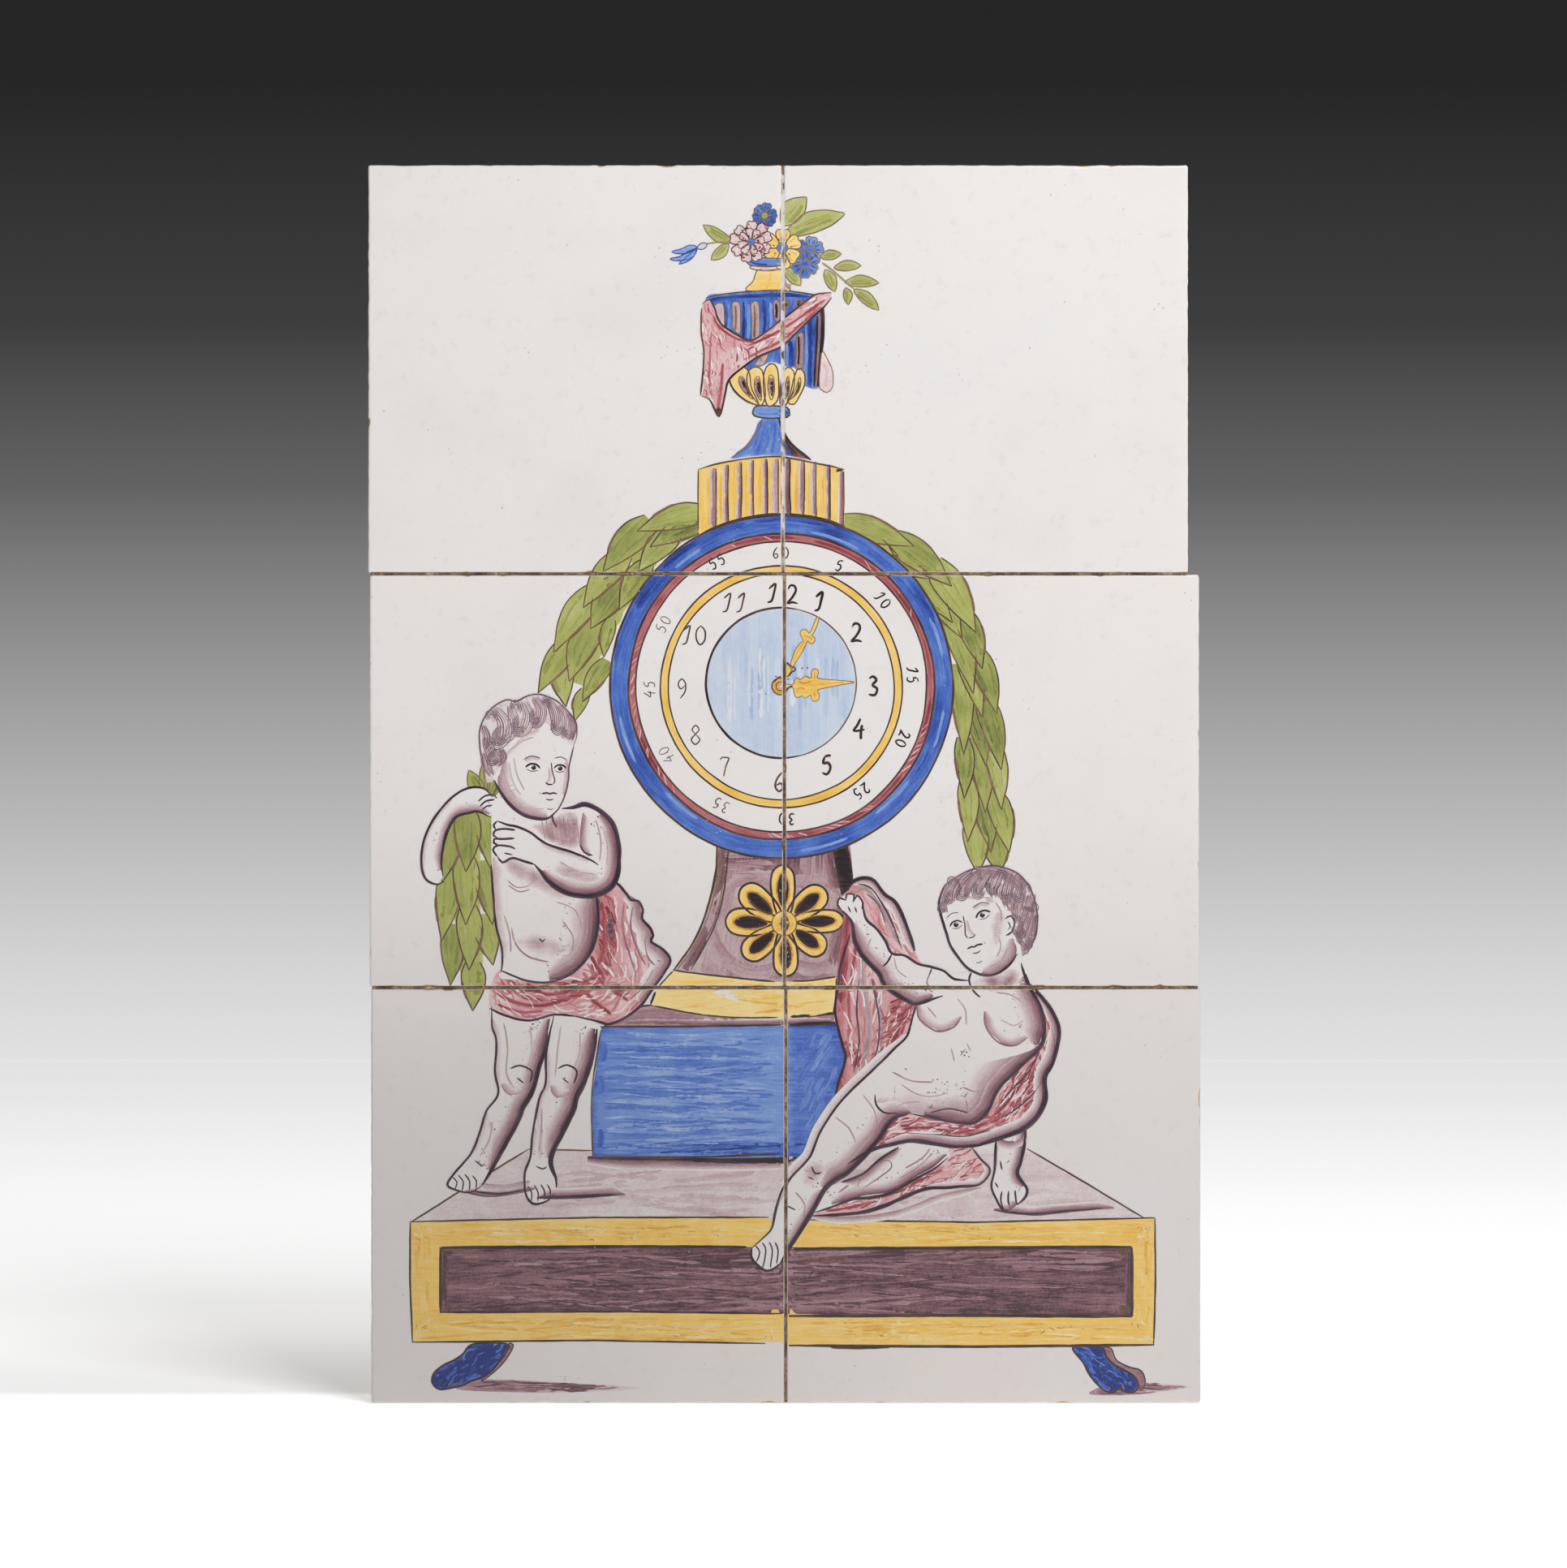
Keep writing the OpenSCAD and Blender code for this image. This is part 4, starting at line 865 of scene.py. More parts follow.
def paint_feet():
    foot_shadows()
    foot([(-98, 18.6), (-87.2, 18.6), (-88.4, 15.2), (-90.4, 12.4), (-92.6, 9.8), (-95, 8.2), (-98.6, 7.0),
          (-101.4, 5.6), (-105, 4.8), (-108.8, 4.4), (-111.0, 6.4), (-110.6, 9.2), (-108.0, 11.6),
          (-104.4, 13.4), (-101.4, 15.4)],
         [(-85.4, 18.4), (-87.4, 14.2), (-90.6, 10.6), (-95.4, 7.0), (-93.4, 10.4), (-89.4, 14.6),
          (-87.6, 18.4)], 38)
    foot([(91, 17.6), (99.8, 17.6), (101.4, 14.8), (103.8, 12.0), (107.4, 10.2), (110, 8.6), (111.6, 5.6),
          (110.4, 3.6), (107.8, 3.4), (105.6, 4.4), (103.2, 3.2), (100.2, 4.4), (96.4, 8.6), (94.2, 12.8)],
         [(100.2, 17.4), (103.0, 17.2), (104.6, 13.6), (108.6, 11.4), (112.4, 10.2), (113.8, 6.6),
          (112.4, 4.2), (110.8, 8.2), (106.4, 11.0), (102.6, 13.6)], 140)
    for path in ([(-108.6, 5.2), (-106.4, 7.4)], [(-106.0, 4.9), (-104.0, 7.4)],
                 [(-103.2, 5.2), (-101.4, 7.8)], [(109.4, 3.8), (107.8, 6.6)], [(106.6, 4.2), (105.4, 6.8)],
                 [(104.0, 3.8), (103.0, 6.2)]):
        curve("clock_line", path, 0.5, 2.1, 0.9, 0.3, step=0.7)


def plinth_block():
    """Blue block with level brush marks."""
    shape = straight([(-60.6, 77.6), (-60.4, 98), (-57.6, 118.4), (-20, 118.6), (20, 119.8), (20.6, 98),
                      (16, 77.8), (-20, 77.2)], True, 3)

    def dark_right(x, z):
        tone = 1 + 0.20 * wander(x * 0.015, z * 0.42, 1.0) + (0.34 if x > 1 else 0.0)
        return tone + 0.25 * math.exp(-abs(x + 60) / 3.5) + 0.18 * math.exp(-abs(x - 16) / 5)

    fill("blue", shape, 2, 0.5, rim=1.25, mesh=2.8, shade=dark_right)
    body_l = rectangle(-58.5, 79, -2.5, 117, 6)
    body_r = rectangle(2.5, 79, 18, 118.5, 6)
    washes("blue", body_l, 2.3, 70, 52, 1.2, 0.64, spread=0.07)
    washes("blue", body_l, 2.4, 40, 48, 1.0, 0.44, spread=0.07)
    washes("blue", body_r, 2.3, 16, 12, 2.2, 0.68, 60, spread=0.12)
    washes("blue", body_r, 2.4, 10, 10, 1.8, 0.60, 60, spread=0.12)
    washes("blue", rectangle(-60, 78.2, 16, 82, 6), 2.4, 18, 30, 1.0, 0.8)
    for z, x0, x1 in ((113.4, -56, -14), (109, -50, -4), (104.2, -57, -22), (99.4, -44, -3), (95, -57, -16),
                      (90.6, -38, -3), (86.4, -56, -20)):
        path = smooth([(x0, z), ((x0 + x1) / 2, z + rng.uniform(-0.5, 0.5)),
                       (x1, z + rng.uniform(-0.6, 0.6))], step=3)
        stroke("blue", path, rng.uniform(0.8, 1.5), 2.45, 0.42, 0.2, wobble=0.25, soft=0.95)
        stroke("blue", [(x, z2 - 1.9) for x, z2 in path], rng.uniform(1.0, 1.8), 2.5, 0.66, 0.2, wobble=0.25,
               soft=0.95)
    for x, z in ((-57.6, 110.6), (-58.2, 100.4), (-58.4, 83.4)):
        curve("blue", [(x, z - 3), (x + 0.8, z), (x + 0.2, z + 3)], 2.2, 2.5, 0.72, 0.2, wobble=0.3,
              soft=0.95)
    line([(-60.4, 78), (-60.6, 98), (-57.8, 117.6)], 0.5, 3, 0.75)
    line([(-60.6, 77.6), (-30, 77.5), (-1, 78.6)], 0.7, 3, 0.85)
    line([(2, 76.9), (12, 76.6)], 0.8, 3, 0.85)
    line([(16.4, 94), (17.4, 102), (19.4, 108.6)], 0.5, 3, 0.7)


def purple_step():
    """Purple step with its shadow."""
    shape = smooth([(-55.4, 119.0), (-50, 122.0), (-45, 124.6), (-41.8, 125.2)], step=2)
    shape += smooth([(-34, 123.6), (-27, 122.4), (-14, 121.6), (-2, 121.2), (6, 121.8), (15.8, 122.8)],
                    step=3)
    shape += straight([(15.6, 119.6), (-2, 118.8), (-30, 118.9)], step=3)
    fill("purple", shape, 3, 0.62, mesh=2)
    shadow([(-50, 119.6), (-25, 119.2), (0, 119.3), (15, 120.2)], 2.0, 3.2, 0.95, 3, 0.6, 0.6, step=2)
    line([(-42, 125.4), (-27, 122.6), (-14, 121.5), (-2, 121.6)], 0.6, 4, 0.85)
    line([(2, 121.8), (8, 122.2), (15.8, 122.9)], 1.0, 4, 0.95)
    line([(-57, 118.6), (-50, 122.4), (-45, 125.0), (-41.6, 125.4)], 0.6, 4, 0.85)
    ruled([(-58, 118.6), (-30, 118.7), (-1, 119.2)], 0.7, 4, 0.85)
    ruled([(1.6, 119.2), (9, 119.6), (16, 119.9)], 1.3, 4, 1.0)


def paint_plinth():
    plinth_block()
    purple_step()


def paint_yellow_step():
    """Yellow step under the column."""
    top = smooth([(-35, 136.2), (-27.3, 135.2), (-15, 133.8), (-1.2, 132.6), (6, 133.0), (16.4, 134.4)],
                 step=3)
    foot = smooth([(6, 121.8), (-2, 121.4), (-14, 121.6), (-27, 122.6), (-41.8, 125.4)], step=3)
    shape = top + [(16.6, 129), (15.6, 122.8)] + foot + [(-40, 130.4)]
    fill("yellow", shape, 4, 0.43, grain=6, mesh=3, shade=mottle(0.15, 0.05, 0.4, 2))
    washes("yellow", shape, 4.3, 16, 18, 1.0, 0.53)
    washes("yellow", shape, 4.3, 10, 14, 0.8, 0.42)
    patch("yellow", [(-22.5, 129.6), (-18, 130.2), (-12.6, 127.2), (-14, 126.6), (-19.5, 128)], 4.6, 0.1,
          mesh=1.3)
    patch("yellow", [(-15.5, 132), (-13, 131.8), (-14.6, 131.2)], 4.6, 0.15, mesh=1.3)
    curve("yellow", [(3, 132), (6, 131.4), (9, 131.8)], 1.4, 4.5, 0.78, 0.3)
    line([(-35, 136.4), (-27.3, 135.4), (-15, 134.0), (-3, 132.8)], 0.6, 5, 0.85)
    line([(2.4, 133.0), (8, 133.2), (16.4, 134.4)], 0.6, 5, 0.85)
    line([(-35, 136.2), (-39.6, 131.4)], 0.5, 5, 0.8)
    line([(-40.6, 129.6), (-42.2, 125.6)], 0.7, 5, 0.9)
    line([(16.4, 134), (16.2, 128), (15.4, 122.8)], 0.6, 5, 0.85)


def column_shaft():
    """Purple shaft with its fluting; returns the outline."""
    left = smooth([(-21.2, 177), (-21.3, 171), (-21.5, 168), (-23.2, 159.7), (-26, 150.8), (-29.8, 143.4),
                   (-34.9, 136.4)], step=2)
    right = smooth([(16.4, 134.6), (18.2, 141), (20.3, 148), (21.4, 156), (21.7, 164.7), (20.6, 177)], step=2)
    foot = smooth([(-27, 135.2), (-15, 133.8), (-1, 132.8), (8, 133.2)], step=3)
    shape = left + foot + right
    fill("purple", shape, 3, 0.42, grain=80, mesh=3,
         shade=lambda x, z: 1 + 0.55 * wander(x * 0.12, z * 0.05, 3) + 1.3 * math.exp(-abs(z - 172) / 4.5)
         + 0.5 * math.exp(-abs(z - 134.5) / 1.6))
    fluting = smooth([(-17.6, 175), (-18.9, 162), (-21.5, 151.6), (-25.5, 143.4), (-29.4, 136.6)], step=1.5)
    shade("purple", fluting, -3.4, 3.3, 0.95, 3, 0.5, 0.9, base=0.5)
    stroke("purple", [(x - 1.9, z) for x, z in fluting], 2.6, 3.35, 0.85, 0.8)
    stroke("clock_line", fluting, 0.5, 4, 0.85, 0.5)
    curve("clock_line", [(-18.8, 175), (-19.6, 162), (-22.0, 152), (-26.5, 143.4), (-30.6, 137)], 0.4, 4,
          0.55, 0.4, step=2)
    for offset, load, width in ((0, 0.85, 0.7), (1.2, 0.5, 0.5)):
        stroke("clock_line", [(x + offset * 0.8, z) for x, z in left], width, 4, load, 0.6)
    return shape


def column_hatching(shape):
    """Hatching on the wash, heavier below the dial."""
    for x0, x1, z0, z1, count, load in ((-17, -5, 166, 175, 26, 0.6), (5, 16, 160, 173, 22, 0.55),
                                        (-20, -8, 134.8, 139, 10, 0.5), (14, 19, 136, 150, 22, 0.8)):
        for _ in range(count):
            x, z = rng.uniform(x0, x1), rng.uniform(z0, z1)
            if load > 0.58 and x0 < 0:
                path = [(x - 4, z), (x, z + 0.2), (x + 4, z - 0.1)]
            else:
                path = [(x, z - 4), (x + 0.3, z), (x, z + 4)]
            path = [p for p in path if inside(p, shape)]
            if len(path) > 1:
                curve("purple", path, rng.uniform(0.4, 1.1), 3.6, load, 0.1, step=2)


def column_dark_side():
    """Black band down the right side."""
    dark = smooth([(15.2, 174.4), (16.4, 168), (17.4, 162.4), (18.0, 160.0)], step=1.5)
    dark += smooth([(21.4, 162), (21.7, 166), (20.6, 173), (19.8, 176.6)], step=1.5)
    fill("clock_line", dark, 4, 1.0, mesh=1.6)
    shadow([(15.2, 174.4), (16.4, 168), (17.4, 162.4)], -3.4, 3.8, 0.95, 3, 0.7, 0.6, base=0.55, step=1.5)
    curve("clock_line", [(21.6, 164), (21.2, 156), (20.2, 148.6)], 1.1, 4, 0.95, 0.4, step=1.5)
    shadow([(20.6, 158), (20.2, 148), (17.8, 138.6)], -5.6, 3.7, 1.0, 4, 0.8, 0.4, base=0.45, step=1.5)


def rosette_shadows():
    """Soft shadows round the rosette."""
    for at, r in (((-8, 151), 13), ((9, 151), 12)):
        shade("purple", arc(at, r, 0, 360, 3)[:-1], -4.5, 3.4, 0.58, 3, 1.0, closed=True, base=0.40)


def paint_column():
    column_hatching(column_shaft())
    column_dark_side()
    rosette_shadows()


ROSETTE = (0.0, 151.2)
PETALS = [(92, 18.3, 7.4), (40, 16.6, 8.2), (3, 18.6, 7.0), (-35, 15.4, 7.8), (-88, 16.6, 7.6),
          (-140, 16.4, 8.0), (178, 18.4, 8.4), (140, 17.4, 8.4)]


def paint_rosette():
    for turn, reach, w in PETALS:
        local = [(2.0, 1.4), (5.5, w * 0.40), (reach * 0.62, w * 0.52), (reach * 0.88, w * 0.44),
                 (reach, w * 0.12), (reach * 0.985, -w * 0.2), (reach * 0.86, -w * 0.46),
                 (reach * 0.6, -w * 0.5), (5.5, -w * 0.38), (2.0, -1.4)]
        shape = patch("yellow", moved(local, ROSETTE, turn), 5, 0.56, 1.2, grain=turn, mesh=2)
        stroke("clock_line", shape, 0.7, 5.6, 0.9, closed=True)
        inner = [(reach * 0.30, 0.2), (reach * 0.45, w * 0.17), (reach * 0.7, w * 0.2), (reach * 0.84, 0.1),
                 (reach * 0.7, -w * 0.17), (reach * 0.45, -w * 0.14)]
        slot = patch("clock_line", moved(inner, ROSETTE, turn), 6.2, 1.0, 0.8, rim=1.0, mesh=1.0)
        stroke("clock_line", slot, 0.7, 6.3, 0.95, closed=True, wobble=0.2)
        wide = [(reach * 0.26, 0.3), (reach * 0.42, w * 0.27), (reach * 0.7, w * 0.3), (reach * 0.9, 0.1),
                (reach * 0.72, -w * 0.28), (reach * 0.42, -w * 0.25)]
        patch("yellow", moved(wide, ROSETTE, turn), 5.8, 0.95, 0.9, rim=0.85, mesh=1.4)
    fill("yellow", arc(ROSETTE, 3.8, 0, 350, 1), 6.4, 0.66, mesh=1.6)
    stroke("clock_line", arc(ROSETTE, 3.9, 0, 350, 0.8), 0.4, 6.6, 0.6, closed=True)
    patch("clock_line",
          moved([(1.6, 0), (0.6, 2.6), (-0.8, 2.2), (-1.2, 0), (-0.6, -2.4), (0.9, -2.2)], ROSETTE, 0), 6.7,
          0.8, 0.6, rim=0.7, mesh=0.8)


# Garlands of overlapping leaves
def leaf(base, tip, width, level, load=0.45, bend=0.0):
    """A small leaf of the bouquet: pale wash, a deeper side, a thin brown edge."""
    length = math.dist(base, tip)
    turn = math.degrees(math.atan2(tip[1] - base[1], tip[0] - base[0]))
    w, b = width / 2, bend * length
    local = [(0, 0), (length * 0.16, w * 0.62 + b * 0.3), (length * 0.42, w * 1.05 + b * 0.8),
             (length * 0.72, w * 0.78 + b * 0.6), (length * 0.92, w * 0.28 + b * 0.2), (length, 0),
             (length * 0.88, -w * 0.42 + b * 0.2), (length * 0.68, -w * 0.86 + b * 0.6),
             (length * 0.40, -w * 0.98 + b * 0.8), (length * 0.15, -w * 0.6 + b * 0.3)]
    shape = patch("green", moved(local, base, turn), level, load, 1.0, grain=turn, rim=0.9, mesh=2.0)
    for side, extra in ((-0.5, 1.5), (0.15, 1.25)):
        run = moved([(length * 0.15, side * w * 0.7 + b * 0.3), (length * 0.45, side * w + b),
                     (length * 0.8, side * w * 0.5 + b * 0.5)], base, turn)
        curve("green", run, width * 0.22, level + 0.25, load * extra, 0.1, soft=0.9)
    stroke("clock_line", shape, 0.38, level + 0.6, 0.5, closed=True, wobble=0.1)
    stroke("clock_line",
           moved([(length * 0.05, b * 0.1), (length * 0.4, b * 0.8), (length * 0.7, b * 0.6)], base, turn),
           0.3, level + 0.6, 0.42, 0.2)


def long_leaf(base, tip, width, level, load, bend=0.0):
    """A pointed laurel leaf: soft streaks along it, a brown edge, and a brown fold near its base."""
    length = math.dist(base, tip)
    turn = math.degrees(math.atan2(tip[1] - base[1], tip[0] - base[0]))
    w, b = width * 0.45, bend * length
    upper = [(0, w * 0.6), (length * 0.20, w * 0.98 + b * 0.5), (length * 0.42, w + b),
             (length * 0.66, w * 0.72 + b * 0.9), (length * 0.86, w * 0.30 + b * 0.4), (length, 0)]
    lower = [(0, -w * 0.6), (length * 0.20, -w * 0.98 + b * 0.5), (length * 0.42, -w + b),
             (length * 0.66, -w * 0.72 + b * 0.9), (length * 0.86, -w * 0.30 + b * 0.4), (length, 0)]
    upper, lower = (smooth(moved(run, base, turn), step=1.2) for run in (upper, lower))
    shape = upper + lower[-2::-1]
    seed = rng.uniform(0, 50)
    fill("green", shape, level, load, grain=turn, rim=0.95, mesh=2.2,
         shade=lambda x, z: 1 + 0.30 * wander(x * 0.14, z * 0.14, seed))
    for k in (-0.45, 0.4):
        side = k + rng.uniform(-0.15, 0.15)
        run = moved([(length * 0.15, side * w + b * 0.3), (length * 0.42, side * w + b),
                     (length * rng.uniform(0.66, 0.8), side * w * 0.5 + b * 0.7)], base, turn)
        curve("green", run, rng.uniform(1.2, 2.2), level + 0.08, load * rng.uniform(1.05, 1.28), 0.1,
              wobble=0.2, soft=0.95, step=1.6)
    for run in (upper, lower):
        stroke("clock_line", run, 0.46, level + 0.2, rng.uniform(0.62, 0.8), 0.6, wobble=0.08)
    fold = upper if rng.random() < 0.5 else lower
    stroke("clock_line", fold[len(fold) // 3:-len(fold) // 5], 0.9, level + 0.16, 0.5, 0.1, wobble=0.15,
           soft=0.85)


# Each leaf: base, tip and width
LEFT_LEAVES = [((-62.6, 225), (-66.0, 215.0), 5), ((-69.8, 235), (-68.8, 219.4), 8),
               ((-55.6, 234), (-63.6, 221.0), 6.5), ((-66, 241), (-77.6, 223.8), 8.6),
               ((-60.0, 246), (-67.8, 227.4), 9.6), ((-54.6, 247), (-56.9, 235), 5),
               ((-59, 257), (-72.8, 236.6), 9.6), ((-50.4, 260), (-61, 244), 10.5),
               ((-50, 268), (-63.4, 250.6), 9.2), ((-43, 265), (-52, 250), 8),
               ((-42, 278), (-57.2, 262), 10.2), ((-34, 275), (-46, 262), 8.6),
               ((-25, 278.6), (-42.4, 269.8), 8), ((-25, 281), (-46.4, 274.8), 8.6)]
RIGHT_LEAVES = [((65, 182), (67.8, 166.4), 9.4), ((59.4, 184), (61.0, 166.4), 8.6),
                ((61.5, 193), (65.2, 173.6), 7.4), ((66, 193), (70.9, 173.4), 8),
                ((57.4, 197), (57.8, 176.8), 7), ((60.8, 210), (63.4, 186), 7.6),
                ((65.4, 209), (68.4, 187), 7), ((56.2, 210), (56.7, 190.6), 6.6),
                ((58.2, 225), (63.6, 200.8), 8), ((62.6, 223), (68.4, 199.6), 8),
                ((54.4, 233), (56.6, 204.4), 7.6), ((56, 237), (62.4, 216), 7), ((60, 238), (67, 217.2), 8),
                ((51.6, 251), (59.6, 223.6), 9), ((56, 250), (62.4, 231.4), 8), ((46, 257), (56, 241), 8),
                ((38.6, 263), (53, 246), 8.6), ((47, 265), (60.4, 242.8), 10.4),
                ((28, 269), (46, 259.6), 8.4), ((34, 273), (52.8, 257.4), 10), ((18, 274.6), (36, 267), 7),
                ((17, 277.8), (41, 270), 9)]
LOW_LEAVES = (((-98.2, 139), (-98.2, 123.6), 8.2), ((-104.6, 151), (-105.2, 131.6), 8.2),
              ((-95.4, 154), (-91.8, 138.0), 8.2), ((-99.6, 157), (-99.4, 136.4), 8.8),
              ((-105.4, 168), (-108.1, 145.6), 8.2), ((-95.2, 171), (-92.0, 150.8), 8.2),
              ((-100.6, 173), (-100.4, 150.6), 9.0), ((-104.8, 184), (-107.8, 164.0), 8.4),
              ((-95.0, 187), (-92.0, 167.4), 7.8), ((-100.0, 187.6), (-100.4, 167.4), 9.0))


def garland_grounds():
    """A green ground behind the leaves of each strand."""
    for spine, wide in (([(-27, 279), (-40, 271), (-49, 260), (-56, 249), (-62, 237), (-66, 227)], 9),
                        ([(20, 277.6), (34, 271), (45, 261), (53, 248), (57, 236), (60, 222), (61, 206),
                          (61.6, 190), (64, 172)], 7),
                        ([(-99, 186), (-100, 170), (-100, 152), (-98.6, 136)], 8)):
        curve("green", spine, wide, 3.9 if spine[0][0] < -90 else -1.9, 0.6, 0.8, step=3)


def upper_strands():
    """The two strands that hang from the clock."""
    for bunch in (LEFT_LEAVES, RIGHT_LEAVES):
        for k, (base, tip, w) in enumerate(bunch):
            long_leaf(base, tip, w, -1.6 + 0.29 * k, rng.choice([0.54, 0.6, 0.66, 0.74]),
                      -0.04 if bunch is LEFT_LEAVES else 0.03)


def lower_strand():
    """The strand that the left figure holds: long leaves in whorls, and small ones on top."""
    for k, (base, tip, w) in enumerate(LOW_LEAVES):
        long_leaf(base, tip, w, 4.6 + 0.3 * k, rng.choice([0.58, 0.64, 0.72]), 0.02)
    for base, tip, w in (((-95.2, 190.4), (-99.4, 199.4), 4.6), ((-94.2, 190.8), (-94.6, 202.6), 3.4),
                         ((-93.0, 190.8), (-90.2, 197.8), 4.0)):
        leaf(base, tip, w, 8, 0.62)


def paint_garlands():
    garland_grounds()
    upper_strands()
    lower_strand()


# Urn on its block
def urn_foot():
    foot = [(-16.8, 297.8), (-11.0, 298.4), (-4.0, 298.8), (2.4, 298.4), (7.8, 297.6), (4.2, 300.4),
            (1.2, 303.4), (-0.6, 306.8), (-1.8, 310.6), (-6.8, 310.6), (-8.2, 306.8), (-10.6, 303.2),
            (-13.6, 300.2)]
    patch("blue", foot, 6, 0.62, grain=70, mesh=1.8, shade=mottle(0.4, 0.3, 0.12, 5))
    for path, w, load in (([(-15.6, 298.4), (-11.8, 301), (-9.0, 305), (-7.2, 309.8)], 1.6, 0.7),
                          ([(-12, 299), (-8.6, 302), (-6.4, 308)], 1.4, 0.6),
                          ([(-7.4, 299.2), (-5.4, 303), (-4.6, 309)], 2.0, 0.62),
                          ([(-4, 299.4), (-3.2, 304), (-2.8, 309.4)], 1.2, 0.74)):
        curve("blue", path, w, 6.2, load, 0.2, soft=0.9)
    patch("purple",
          [(-1.6, 309.6), (-0.4, 306.2)] + part(foot, 6, 3) + [(0.6, 299.4), (-0.2, 303), (-1.0, 306)], 6.4,
          1.0, 0.9, mesh=1.4)
    patch("blue", [(-0.6, 304), (0.4, 299.2), (2.6, 298.8), (1.2, 301.4)], 6.5, 0.85, 0.8, mesh=1.2)
    line(part(foot, 8, 5) + [(8.4, 297.2)], 0.9, 7, 0.95)
    line([(-0.2, 305), (1.4, 301.6), (4, 299)], 0.7, 7, 0.9)
    line(part(foot, 9, 13), 0.4, 7, 0.6)


def urn_knob():
    knob = patch("blue", [(-9.4, 311.2), (-5, 310.4), (1.0, 310.8), (1.6, 312.2), (0.8, 313.8), (-4, 314.3),
                          (-8.6, 314.2), (-9.8, 312.8)], 6.8, 0.50, 0.8, mesh=1.3)
    curve("blue", [(-8.6, 312), (-5, 311.6), (-2, 311.8)], 0.9, 7, 0.72, 0.3, soft=0.9, step=0.8)
    patch("blue", [(-1.6, 310.8), (1.2, 311.2), (1.2, 313.4), (-1.2, 313.8)], 7, 0.95, 0.8, mesh=1.2)
    stroke("clock_line", knob, 0.5, 7.3, 0.85, closed=True)


def urn_cup():
    """Lobed cup: yellow loops round dark slots."""
    lobes = (
        ([(-8.4, 314.6), (-12.6, 316.4), (-16.0, 319.6), (-17.2, 323.2), (-15.9, 326.0), (-13.2, 326.7),
          (-11.0, 324.6), (-10.4, 320), (-8.8, 316.6)],
         [(-9.8, 316.4), (-12.4, 318.4), (-14.3, 321.4), (-14.0, 323.5), (-12.7, 322.8), (-11.6, 319.4)]),
        ([(-7.4, 314.4), (-9.8, 317), (-11.7, 321), (-11.4, 324.9), (-9.2, 326.5), (-7.0, 325.4),
          (-6.2, 321), (-6.1, 317)],
         [(-7.4, 316.0), (-9.2, 319), (-9.3, 322.6), (-8.0, 323.4), (-7.3, 319.6)]),
        ([(3.0, 314.8), (4.8, 317.4), (6.4, 321), (6.2, 324.8), (4.4, 326), (3.0, 323), (2.0, 318.6),
          (1.0, 315.6)],
         [(1.6, 316.2), (3.4, 319.2), (4.8, 323.2), (5.2, 321.4), (4.2, 318.4)]),
        ([(0.2, 314.4), (2.2, 317.6), (3.2, 321.4), (2.9, 325.2), (1.0, 326.4), (-0.6, 324), (-1.2, 319.4),
          (-1.2, 315)],
         [(0.0, 316.6), (0.4, 321), (1.2, 323.6), (1.6, 320.4), (1.0, 317.4)]),
        ([(-5.0, 314.2), (-6.4, 318), (-6.6, 323), (-5.6, 326.6), (-3.8, 327.6), (-2.2, 325.8),
          (-1.7, 321), (-2.2, 316)],
         [(-4.2, 316.2), (-5.2, 320), (-4.7, 323.8), (-3.5, 323.4), (-3.1, 318.8)]))
    for outer, slot in lobes:
        loop = patch("yellow", outer, 7.6, 0.46, 0.9, grain=90, mesh=1.4)
        hollow = patch("purple", slot, 7.9, 0.62, 0.7, mesh=1.1)
        patch("clock_line", [(x * 0.62 + 0.38 * sum(p[0] for p in slot) / len(slot) + 0.2,
                              z * 0.74 + 0.26 * sum(p[1] for p in slot) / len(slot) - 0.2) for x, z in slot],
              8.1, 0.97, 0.6, mesh=0.9)
        stroke("clock_line", hollow, 0.34, 8.2, 0.6, closed=True)
        stroke("clock_line", loop, 0.42, 8.2, 0.72, closed=True)
    line([(-8.4, 314.4), (-12.6, 316.2), (-16.1, 319.6), (-17.4, 323.2), (-16, 326.2)], 0.55, 8.4, 0.8)


